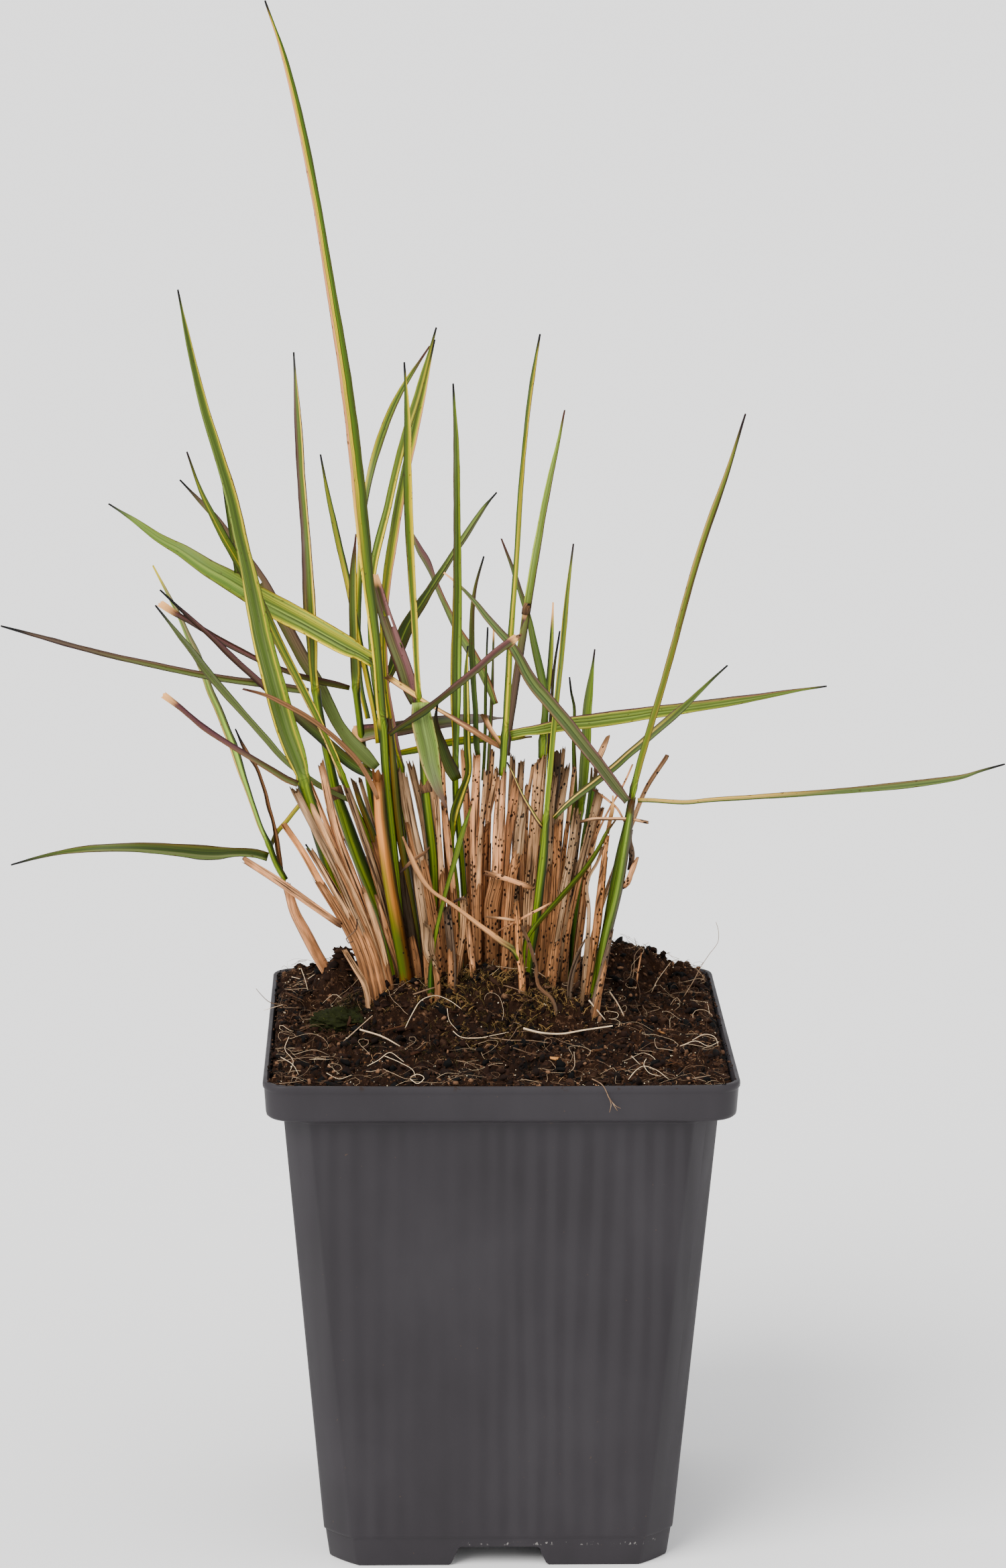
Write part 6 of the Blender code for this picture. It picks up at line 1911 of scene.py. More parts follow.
# Bark and broken straw on the soil: place on the board, length, width, direction and shade
TRACED_CHIPS = (
    (-25.0, 119.6, 4.8, 2.0, 0.1, 0.25),
    (20.5, 117.5, 5.0, 2.2, 2.2, 0.2),
    (-41.6, 121.2, 3.0, 1.1, -0.5, 0.95),
    (12.8, 113.4, 5.2, 1.3, 0.45, 1.0),
    (-19.0, 122.5, 4.0, 0.7, 1.0, 0.6),
    (-28.0, 121.6, 6.5, 0.8, 0.1, 0.5),
    (-43.8, 122.6, 4.8, 0.9, 1.5, 0.9),
    (-11.0, 117.0, 3.5, 1.4, 0.4, 0.2),
    (3.0, 127.5, 4.5, 1.0, 0.2, 0.45),
    (33.0, 121.0, 4.0, 1.3, 0.8, 0.15),
    (40.0, 116.0, 3.5, 1.4, -0.4, 0.1),
    (-46.0, 113.0, 3.5, 1.3, 0.3, 0.2),
)

# Long roots that lie on the soil, as drawn on the board: line, width and shade
TRACED_ROOTS = (
    (((-22.1, 121.1), (-20.5, 124.5), (-18, 128.2), (-14.8, 129.2), (-11.5, 128.0), (-8.5, 125.8)),
     0.30, 1.0),
    (((-36.9, 117.8), (-33.5, 121), (-29.9, 124.3)), 0.5, 0.5),
    (((-33, 120.8), (-27.5, 119), (-22.7, 116.2)), 0.7, 0.75),
    (((-31.2, 111.7), (-28.5, 113.2), (-25.7, 115.1), (-23.5, 113.6), (-21.5, 112)), 0.26, 1.0),
    (((-27, 114.2), (-23, 112.4), (-20, 110.3), (-19.6, 108.6)), 0.24, 0.95),
    (((-20.2, 129.5), (-14.2, 131.4), (-6.3, 132.1), (2.7, 131.4), (6.5, 130)), 0.55, 0.3),
    (((-10.6, 120.4), (-9.3, 119.2), (-5.1, 118.6), (-1, 119.3), (2.8, 120.1)), 0.26, 0.95),
    (((6.3, 121), (10, 120), (14.7, 119.6), (21.2, 120.6), (27.8, 121.6)), 0.85, 0.85),
    (((-6.8, 118.7), (-1, 118.6), (3, 118.1), (8, 118), (12.2, 117.4)), 0.35, 0.4),
    (((31.7, 108.2), (33.5, 110.5), (35, 111.5), (38, 110.8), (41.5, 108.2)), 0.26, 1.0),
    (((32.4, 114.1), (33.8, 112.6), (35, 111.5)), 0.22, 1.0),
    (((36, 113.4), (35.4, 112.4), (36.5, 110), (39.5, 109)), 0.2, 1.0),
    (((37, 129.8), (38.3, 132.7), (40, 135.2), (41.5, 137.3)), 0.3, 0.6),
    (((-49.3, 133.9), (-45.7, 133.3), (-43.3, 134.8), (-41.1, 135.4)), 0.28, 0.9),
    (((-47, 136), (-46, 133), (-45.4, 130.5)), 0.22, 0.9),
    (((22, 128), (24, 125.5), (26, 123)), 0.6, 0.8),
    (((27, 130), (29, 127), (30.5, 124)), 0.6, 0.7),
    (((13, 132), (16, 130.5), (20, 128.5)), 0.9, 0.85),
    (((-12, 126), (-11.5, 123), (-9.5, 120.5)), 0.22, 0.9),
    (((-52, 114), (-49, 112), (-47.5, 109)), 0.24, 0.9),
    (((-50, 119), (-51, 116), (-49, 113), (-50, 110)), 0.22, 0.8),
    (((-41, 110), (-38, 108.5), (-35, 109.5)), 0.22, 0.95),
)

# Roots with an end in the air: line, width, shade and depth at both ends
AIR_ROOTS = (
    (((44.8, 128.8), (47.4, 133.3), (48.7, 136), (50.7, 139.2), (52.9, 142.6), (52.9, 145.2),
      (52.3, 147.3)),
     0.34, 0.4, (14, 8)),
    (((32.4, 133), (32.8, 136), (33, 139.3), (34.4, 141), (36.3, 142.3)), 0.26, 0.5, (22, 20)),
    (((22.9, 108.4), (25.3, 107), (27.1, 103.7), (29.1, 100.4)), 0.36, 0.35, (-54.6, -55.5)),
    (((26.6, 104.6), (27.6, 101.9), (27.2, 100)), 0.26, 0.4, (-55.4, -55.6)),
    (((27.8, 102.6), (28.7, 101.6), (29.9, 101)), 0.22, 0.4, (-55.4, -55.6)),
    (((-51, 127), (-54.5, 127.6), (-56.6, 129.5), (-57.8, 131)), 0.36, 0.2, (-12, -16)),
    (((-51.5, 127), (-54.1, 126.2), (-56, 125.6)), 0.24, 0.7, (-14, -16)),
    (((-20.9, 108.5), (-19.1, 107.3), (-17.5, 108.8), (-19.1, 109.7), (-20.9, 108.9)), 0.24, 1.0,
     (-53.6, -53.4)),
    (((47, 118), (50.2, 119.5), (52.6, 118.6), (53.2, 116.8)), 0.26, 0.9, (-18, -20)),
    (((44, 116.5), (48, 117.8), (51, 116.5), (53.4, 117.6)), 0.24, 0.95, (-22, -24)),
)
# Each living leaf: name, how many of its points are the round sheath, depth at base, middle and tip,
# turn about its own line in degrees, then its line from the base up.
LEAVES = (
    ("tallest_leaf", 6, (7, 2, -9, -26), 20,
     ((-20.6, 137, 1.6), (-23.3, 152, 1.6), (-24.8, 165, 1.5), (-25.9, 176, 1.7), (-26.7, 184, 2.0),
      (-27.2, 192.5, 2.1), (-27.9, 200, 2.2), (-28.6, 210, 2.2), (-29.7, 220, 2.5), (-31.0, 230, 2.8),
      (-32.0, 240, 3.2), (-34.0, 260, 3.1), (-36.5, 280, 2.8), (-39.6, 300, 2.3), (-42.9, 320, 1.9),
      (-46.9, 340, 1.8), (-50.2, 353, 1.2), (-54.2, 364.8, 0))),
    ("wide_left_leaf", 7, (8, -5, -10, -34), 15,
     ((-29.5, 134, 1.7), (-33.0, 143, 1.8), (-37.0, 153, 2.0), (-40.2, 161, 2.2), (-42.6, 169, 2.0),
      (-44.6, 176, 1.9), (-46.0, 181, 1.9), (-46.8, 184.5, 3.6), (-48.0, 188, 4.7), (-49.8, 193, 5.2),
      (-52.9, 204, 5.3), (-55.2, 213, 5.0), (-57.3, 223, 4.6), (-58.8, 231, 3.8), (-60.8, 240, 3.0),
      (-63.0, 250.5, 2.6), (-65.7, 260, 2.5), (-68.7, 270, 2.2), (-71.1, 280, 1.7), (-73.2, 290, 1.1),
      (-74.8, 298.5, 0))),
    ("purple_edged_leaf", 9, (10, 9, 12, 46), -20,
     ((-23.5, 137, 2.2), (-27.0, 147, 2.8), (-30.2, 156, 3.2), (-33.0, 163, 3.3), (-36.0, 171.5, 3.1),
      (-38.3, 178.5, 2.6), (-40.0, 186, 2.2), (-41.6, 194, 1.9), (-43.0, 202.5, 1.8),
      (-43.6, 207, 1.9), (-43.9, 214, 2.5), (-44.5, 224, 3.0), (-45.2, 239, 2.3), (-46.3, 255, 2.0),
      (-46.9, 266, 1.9), (-47.4, 274, 1.2), (-48.0, 284, 0))),
    ("narrow_striped_leaf", 6, (14, 4, -2, -14), 25,
     ((-20.5, 137.5, 1.6), (-25.3, 150, 1.7), (-28.9, 163, 1.8), (-32.0, 170.5, 1.7),
      (-34.7, 177, 1.5), (-36.4, 181.5, 1.5), (-38.9, 187.7, 1.6), (-41.6, 194, 1.6),
      (-45.7, 202.6, 1.9), (-50.6, 212.5, 2.1), (-55.5, 222.8, 2.4), (-60.5, 233, 2.5),
      (-65.5, 242, 1.9), (-70.0, 251.5, 1.0), (-73.1, 260.6, 0))),
    ("olive_leaf", 0, (7, 17, 20, 14), 20,
     ((-28.9, 185, 2.2), (-31.5, 187.7, 3.3), (-35.0, 191.3, 3.2), (-37.9, 195.4, 2.8),
      (-40.2, 200, 2.9), (-42.4, 205, 2.8), (-45.8, 210.6, 3.0), (-49.3, 217.3, 3.0),
      (-52.5, 223.6, 2.9), (-56.0, 230.3, 2.5), (-59.5, 235.5, 2.1), (-63.0, 240.2, 1.8),
      (-66.5, 245, 1.5), (-70.0, 248.8, 1.1), (-74.8, 254, 0))),
    ("dark_leaf", 0, (5.5, 7, 4, -8), -20,
     ((-29.2, 183, 1.8), (-32.5, 184.6, 2.4), (-36.0, 187.1, 2.6), (-39.5, 190.3, 2.6),
      (-43.0, 193.6, 2.5), (-46.5, 196.7, 2.3), (-49.5, 199.6, 2.1), (-55.0, 204.6, 1.7),
      (-61.5, 210.6, 1.3), (-68.0, 217, 1.2), (-73.0, 221.5, 1.1), (-79.7, 227.9, 0))),
    ("far_left_leaf", 0, (9, 5, -1, -24), 30,
     ((-44.9, 203.4, 1.6), (-50.0, 204.3, 2.0), (-55.0, 205.2, 1.9), (-60.0, 205.8, 1.8),
      (-70.0, 207.4, 1.7), (-80.0, 209.5, 1.6), (-90.0, 211.7, 1.4), (-100.0, 214.3, 1.2),
      (-108.0, 216.6, 0.9), (-117.2, 219.2, 0))),
    ("cut_purple_leaf", 0, (12, 12, 11, 2), 25,
     ((-35.2, 204.3, 1.2), (-38.0, 205, 1.6), (-42.0, 205.9, 1.7), (-46.0, 206.9, 1.4),
      (-50.0, 208.3, 1.3), (-57.0, 211.2, 1.3), (-62.0, 213.8, 1.5), (-66.0, 216, 1.4),
      (-70.0, 218.5, 1.3), (-74.0, 220.9, 1.2), (-77.0, 222.7, 1.6), (-79.4, 224.3, 1.8))),
    ("slender_grey_leaf", 0, (7.4, 6, 1, -16), -25,
     ((-35.4, 177.3, 0.7), (-38.5, 178.8, 0.9), (-42.0, 180.6, 1.4), (-45.5, 183, 1.4),
      (-50.3, 186.8, 1.5), (-55.0, 192.2, 1.6), (-60.0, 198, 1.6), (-65.0, 203.8, 1.9),
      (-69.0, 208.8, 2.0), (-72.0, 213, 1.6), (-75.0, 216.8, 1.2), (-80.8, 224.2, 0))),
    ("lower_cut_leaf", 0, (-6.4, -9, -16, -30), 25,
     ((-47.6, 181.1, 1.5), (-50.0, 182.1, 1.7), (-54.0, 184.6, 1.6), (-58.0, 187.1, 1.4),
      (-62.0, 189.6, 1.4), (-66.0, 192.2, 1.4), (-70.0, 195, 1.5), (-73.0, 197.6, 1.3),
      (-76.0, 200.2, 1.4), (-78.9, 202.4, 1.7))),
    ("broad_left_leaf", 0, (5.5, 4, 8, 24), 15,
     ((-29.6, 210.8, 1.8), (-32.0, 212.3, 3.0), (-35.0, 213.9, 4.5), (-40.0, 216.7, 5.1),
      (-45.0, 219.6, 5.3), (-50.0, 222.2, 5.6), (-56.0, 225.5, 5.4), (-62.0, 229.2, 5.0),
      (-68.0, 232.7, 4.2), (-74.0, 236.8, 3.2), (-80.0, 240.3, 2.2), (-86.0, 244.7, 1.2),
      (-91.5, 248.3, 0))),
    ("short_upright_leaf", 7, (19, 14, 12, 4), -20,
     ((-21.5, 139, 1.4), (-25.5, 158, 1.4), (-29.8, 175, 1.4), (-31.0, 184, 1.7), (-32.2, 191, 1.7),
      (-33.0, 198, 1.7), (-33.6, 203.5, 1.8), (-33.7, 208, 2.2), (-34.1, 218, 2.0), (-34.3, 227, 1.9),
      (-34.1, 235, 1.3), (-33.6, 241.2, 0))),
    ("rolled_leaf", 0, (13, 18, 30, 52), 10,
     ((-30.9, 193.6, 3.2), (-28.0, 194, 3.6), (-24.0, 194.6, 3.6), (-20.0, 195.3, 3.5),
      (-16.0, 195.9, 3.3), (-12.0, 196.4, 3.0), (-8.0, 196.8, 2.6), (-4.0, 197, 2.0), (1.0, 197.1, 0))),
    ("yellow_leaf", 0, (7, 12.5, 21, 36), 30,
     ((-28.6, 191, 1.1), (-29.2, 196.5, 1.2), (-31.0, 206, 1.4), (-33.0, 216, 1.5), (-35.3, 228, 1.6),
      (-38.0, 240, 1.5), (-40.5, 252, 0.9), (-41.9, 260, 0))),
    ("arching_leaf", 0, (22, 21, 28, 54), -25,
     ((-30.8, 197, 1.2), (-32.4, 204, 1.3), (-33.1, 212, 1.5), (-33.1, 222, 1.5), (-32.7, 232, 1.4),
      (-32.1, 243, 1.3), (-31.2, 250, 1.4), (-30.0, 256, 1.7), (-28.3, 262, 1.9), (-26.0, 268.5, 1.8),
      (-23.2, 274.5, 1.4), (-20.0, 279.8, 0.9), (-16.3, 285.5, 0))),
    ("twin_leaf_left", 0, (11, 10, 4, -22), -20,
     ((-28.2, 199, 1.4), (-29.4, 207, 1.4), (-30.1, 216, 1.4), (-30.1, 226, 1.5), (-29.2, 235, 1.9),
      (-27.8, 241, 2.0), (-26.2, 247, 1.8), (-24.9, 253, 1.8), (-23.3, 259.5, 1.8),
      (-21.4, 266.5, 1.8), (-19.5, 272.5, 1.7), (-17.7, 279, 1.4), (-14.8, 289.8, 0))),
    ("twin_leaf_right", 6, (12, 9, 9, 26), 20,
     ((-17.8, 139, 1.6), (-20.0, 150, 1.7), (-21.6, 160, 1.7), (-22.6, 170, 1.8), (-22.8, 178, 1.9),
      (-23.2, 184, 2.1), (-24.6, 190, 2.4), (-25.6, 196, 2.3), (-26.6, 203, 1.9), (-27.2, 213, 1.7),
      (-27.2, 222, 1.9), (-26.4, 231, 2.2), (-25.2, 239, 2.3), (-23.5, 249, 2.2), (-22.0, 256.5, 2.1),
      (-20.5, 263, 2.0), (-18.7, 271, 1.7), (-17.0, 279, 1.1), (-15.2, 287, 0))),
    ("vertical_leaf", 7, (10, 3, -4, -38), 20,
     ((-15.6, 136, 2.2), (-15.3, 147, 2.2), (-15.2, 160, 2.3), (-16.2, 170, 2.3), (-17.1, 178, 2.2),
      (-17.9, 189, 1.9), (-18.7, 199, 1.6), (-19.3, 207, 1.4), (-19.9, 219, 1.6), (-20.6, 231, 1.8),
      (-21.2, 243, 2.1), (-21.6, 258, 1.9), (-21.6, 267, 1.6), (-21.9, 275, 0.9), (-22.3, 281.7, 0))),
    ("drooping_leaf", 0, (-3.5, -5, -10), 10,
     ((-18.4, 200.9, 4.0), (-18.1, 197, 5.0), (-17.3, 193, 5.1), (-16.6, 190, 5.0),
      (-16.0, 186.5, 4.5), (-15.1, 183, 3.6), (-14.2, 180, 2.3), (-13.2, 177.6, 1.2),
      (-12.4, 175.3, 0))),
    ("broad_purple_leaf", 0, (4, 3, 3), -15,
     ((-19.9, 200.6, 1.8), (-20.6, 203, 3.0), (-21.4, 206, 3.8), (-22.8, 210.5, 3.8),
      (-24.3, 214.5, 3.7), (-25.8, 219, 3.4), (-27.2, 223.5, 3.0), (-28.4, 228, 2.6),
      (-29.2, 231, 2.0))),
    ("twisted_leaf", 0, (13, 15, 24, 42), 20,
     ((-26.9, 205.8, 1.0), (-25.5, 208.5, 2.0), (-24.0, 213, 3.0), (-22.5, 217.5, 3.4),
      (-20.5, 221.5, 2.8), (-18.3, 224.8, 2.6), (-16.5, 227.6, 1.9), (-15.0, 230, 0.9),
      (-13.0, 233, 1.2), (-10.5, 237, 1.5), (-8.0, 240.8, 1.6), (-5.5, 244.7, 1.3),
      (-3.0, 248.3, 0.8), (-0.6, 251.1, 0))),
    ("crossing_leaf", 0, (13, 18, 28, 46), -20,
     ((-0.6, 200.5, 1.2), (-2.3, 205, 1.9), (-4.5, 209.8, 2.2), (-6.9, 214, 2.3), (-9.5, 218.2, 1.9),
      (-11.5, 222.2, 1.6), (-13.3, 226, 1.3), (-14.6, 229, 0.9), (-15.6, 231.6, 1.3),
      (-16.8, 234.5, 1.8), (-18.5, 237.3, 1.7), (-21.2, 243.2, 0))),
    ("centre_leaf", 6, (18, 7, -4, -42), 20,
     ((-6.8, 138, 1.3), (-7.8, 150, 1.3), (-8.4, 160, 1.4), (-9.2, 169, 1.5), (-10.0, 177, 1.6),
      (-10.2, 184, 1.5), (-10.2, 190, 1.6), (-10.2, 195, 2.0), (-10.2, 204, 2.6), (-10.1, 212, 2.6),
      (-9.9, 222, 2.3), (-9.9, 233, 2.0), (-10.0, 245, 1.7), (-10.1, 255, 1.6), (-10.3, 265, 1.2),
      (-10.9, 276.7, 0))),
    ("dark_drooping_leaf", 0, (4, 3, -2), -20,
     ((-9.7, 182.2, 2.4), (-10.9, 184.6, 3.2), (-12.0, 187, 2.8), (-13.0, 190, 2.4),
      (-14.0, 193, 1.8), (-14.8, 197, 1.0), (-14.2, 201.5, 0))),
    ("upright_centre_leaf", 0, (4, 4, 10, 24), 25,
     ((-4.9, 188.2, 1.2), (-5.2, 190.5, 1.5), (-5.4, 194, 1.4), (-5.5, 199, 1.3), (-5.9, 204, 1.3),
      (-6.2, 209, 1.5), (-6.4, 214, 1.4), (-6.4, 219, 1.3), (-6.2, 224, 1.1), (-5.6, 228.5, 0.8),
      (-3.6, 235.9, 0))),
    ("cross_purple_leaf", 0, (-3, -9, -16), 25,
     ((-25.9, 193.2, 1.0), (-22.0, 196, 1.6), (-18.0, 198.6, 1.9), (-14.5, 201.3, 1.6),
      (-10.0, 205, 1.7), (-5.0, 209.2, 1.8), (-1.0, 212.8, 1.9), (2.2, 215.3, 1.9), (3.6, 216.3, 1.8))),
    ("straw_tipped_leaf", 2, (-4, -7, -18), 20,
     ((5.4, 131, 1.2), (5.0, 138.5, 1.2), (3.4, 140.8, 1.4), (1.5, 142, 1.5), (-1.5, 144.3, 1.4),
      (-5.0, 147, 1.2), (-9.0, 150.2, 1.0), (-12.0, 152.4, 0.9), (-15.5, 154.8, 0.8),
      (-17.5, 157, 1.2), (-19.5, 160.5, 1.4), (-21.0, 164, 1.1), (-22.7, 168.3, 0))),
    ("slim_right_leaf", 3, (-1, -6, -20), 25,
     ((5.9, 131, 1.0), (6.2, 137, 1.0), (6.9, 143.2, 1.0), (9.5, 147, 1.2), (12.0, 150, 1.2),
      (15.0, 153.5, 1.3), (18.0, 157, 1.3), (21.0, 160.7, 1.2), (24.3, 166, 1.0), (26.0, 169.5, 0.8),
      (28.0, 172.3, 0))),
    ("right_tall_leaf", 7, (6, 0, -9, -34), 20,
     ((21.8, 126.5, 1.5), (23.7, 135, 1.6), (26.0, 145, 2.2), (27.8, 155, 2.6), (29.6, 165, 2.4),
      (30.9, 171, 2.2), (31.7, 177.2, 1.6), (33.3, 185, 1.3), (36.0, 195, 1.4), (38.8, 205, 1.4),
      (41.4, 215, 1.4), (43.9, 225, 1.4), (46.6, 235, 1.1), (49.7, 245, 1.0), (53.1, 255, 0.9),
      (57.5, 269.7, 0))),
    ("far_right_leaf", 0, (0, -5, -11, -22), 20,
     ((33.2, 177.2, 1.0), (36.0, 177.2, 1.0), (40.0, 176.9, 0.9), (45.0, 176.7, 0.9),
      (50.0, 177.2, 1.1), (60.0, 177.9, 1.2), (70.0, 178.6, 1.4), (80.0, 179.3, 1.4),
      (90.0, 180.2, 1.7), (100.0, 181.3, 1.8), (106.0, 182.1, 1.5), (111.0, 183, 1.1),
      (115.0, 184.3, 0.6), (120.6, 185.9, 0))),
    ("rising_leaf", 0, (1, 4, 5, 14), -20,
     ((13.3, 172.8, 0.9), (16.0, 175.6, 1.4), (19.0, 178.2, 1.7), (22.0, 180.6, 1.8),
      (25.0, 183, 1.9), (28.0, 185.5, 1.9), (31.0, 188.3, 1.8), (34.5, 191.3, 1.9),
      (37.0, 193.6, 2.0), (40.0, 196.2, 2.0), (42.0, 198, 1.9), (45.0, 200.8, 1.4),
      (48.0, 203.8, 1.0), (51.0, 206.8, 0.6), (54.2, 209.8, 0))),
    ("broad_right_leaf", 0, (2, 8, 14, 28), 15,
     ((2.9, 193.2, 1.2), (6.0, 193.9, 1.9), (10.0, 194.5, 2.6), (13.0, 195.1, 2.9),
      (17.0, 195.9, 3.2), (22.0, 196.5, 3.5), (27.0, 197.2, 3.5), (32.0, 197.9, 3.2),
      (37.0, 198.6, 3.0), (42.0, 199.2, 2.8), (47.0, 200, 2.6), (52.0, 200.7, 2.4),
      (57.0, 201.5, 2.1), (62.0, 202.3, 1.6), (67.0, 203.2, 1.2), (72.0, 204, 0.7), (77.8, 204.8, 0))),
    ("diagonal_leaf", 0, (-3, -7, -5, 4), 15,
     ((30.7, 176.9, 1.6), (28.0, 180.3, 2.7), (26.0, 183, 2.8), (23.5, 186.4, 2.9),
      (21.0, 189.6, 3.0), (18.5, 192.8, 3.1), (16.0, 196, 3.2), (13.5, 199, 3.2), (11.0, 202, 3.2),
      (8.5, 204.9, 3.0), (6.5, 208, 2.8), (4.6, 211.8, 2.4), (2.5, 215.2, 2.0), (0.0, 218, 1.8),
      (-3.0, 221.5, 1.6), (-5.5, 224.8, 1.2), (-8.0, 227.6, 0.8), (-10.5, 230, 0.5), (-13.0, 232, 0))),
    ("bright_upright_leaf", 3, (0, 1, -6, -44), 20,
     ((0.9, 183.2, 1.8), (1.2, 187, 1.8), (1.5, 192, 1.7), (1.8, 198, 1.6), (2.1, 204, 1.6),
      (2.5, 213, 1.5), (3.1, 222, 1.4), (3.6, 229, 1.3), (4.2, 238, 1.3), (4.7, 248, 1.3),
      (5.2, 255, 1.2), (5.9, 263, 1.0), (6.8, 272, 1.0), (7.9, 280, 0.9), (9.3, 288.3, 0))),
    ("green_upright_leaf", 0, (3, 8, 16, 48), -20,
     ((2.2, 188, 1.1), (2.8, 194.5, 1.3), (3.4, 200, 1.7), (4.2, 206, 1.9), (5.2, 213, 1.8),
      (6.3, 220.5, 1.9), (7.4, 228, 1.9), (8.6, 235.5, 1.9), (10.2, 245, 1.6), (11.4, 251.5, 1.5),
      (12.6, 257.5, 1.2), (13.8, 263, 0.8), (15.2, 270.5, 0))),
    ("bent_leaf", 2, (4, 10, 22, 52), 20,
     ((10.3, 187.4, 1.7), (10.4, 190, 1.8), (10.7, 195, 1.7), (11.0, 199.5, 1.5), (10.9, 203, 1.7),
      (10.2, 206.5, 2.0), (9.2, 211, 1.9), (8.3, 215, 1.7), (7.3, 220, 1.4), (5.8, 225, 1.3),
      (4.5, 229, 1.1), (3.0, 233.5, 0.9), (0.5, 240.1, 0))),
    ("light_green_leaf", 6, (1, -1, 4, 30), -20,
     ((7.4, 131, 1.5), (7.9, 138, 1.7), (9.0, 146, 2.0), (10.0, 155, 2.1), (11.0, 165, 2.1),
      (11.4, 171, 1.6), (11.8, 177, 1.2), (12.6, 187, 1.2), (13.4, 197, 1.0), (14.2, 205, 1.1),
      (14.9, 212, 1.1), (15.6, 220, 1.0), (16.1, 226, 0.9), (16.7, 232, 0.6), (17.5, 238.9, 0))),
    ("short_back_leaf", 4, (17, 16, 20, 42), 20,
     ((16.8, 136, 1.4), (17.4, 150, 1.4), (18.4, 163, 1.5), (19.2, 172, 1.7), (20.0, 180, 2.2),
      (20.4, 186, 2.4), (20.8, 192, 2.3), (20.9, 198, 2.2), (21.4, 203, 1.9), (21.9, 207, 1.2),
      (22.7, 213.7, 0))),
    ("lower_left_leaf", 0, (10, 8, 9, 20), 20,
     ((-54.8, 163.3, 1.6), (-57.0, 164, 1.9), (-60.0, 164.4, 1.9), (-63.0, 164.4, 2.3),
      (-67.0, 164.2, 3.3), (-70.0, 164.3, 3.6), (-75.0, 164.8, 3.2), (-80.0, 165.3, 2.8),
      (-85.0, 165.6, 2.4), (-92.0, 165.6, 2.0), (-98.0, 165.3, 1.7), (-104.0, 164.5, 1.1),
      (-109.0, 163.4, 0.6), (-115.8, 161.5, 0))),
    ("outer_left_leaf", 4, (12, 14, 16, 38), -20,
     ((-50.6, 157.8, 1.5), (-52.2, 160.6, 1.6), (-53.3, 163, 1.5), (-54.3, 166, 1.4),
      (-56.3, 170.5, 1.1), (-58.0, 175.5, 1.2), (-59.6, 180.5, 1.5), (-61.0, 185, 1.9),
      (-62.5, 190, 2.1), (-64.3, 194.5, 2.0), (-66.0, 199, 1.9), (-68.0, 203.5, 1.8),
      (-69.5, 208, 1.7), (-71.0, 212, 1.9), (-73.0, 216.5, 1.5), (-75.0, 221.3, 1.0),
      (-77.0, 225.3, 0.8), (-81.3, 233.7, 0))),
)

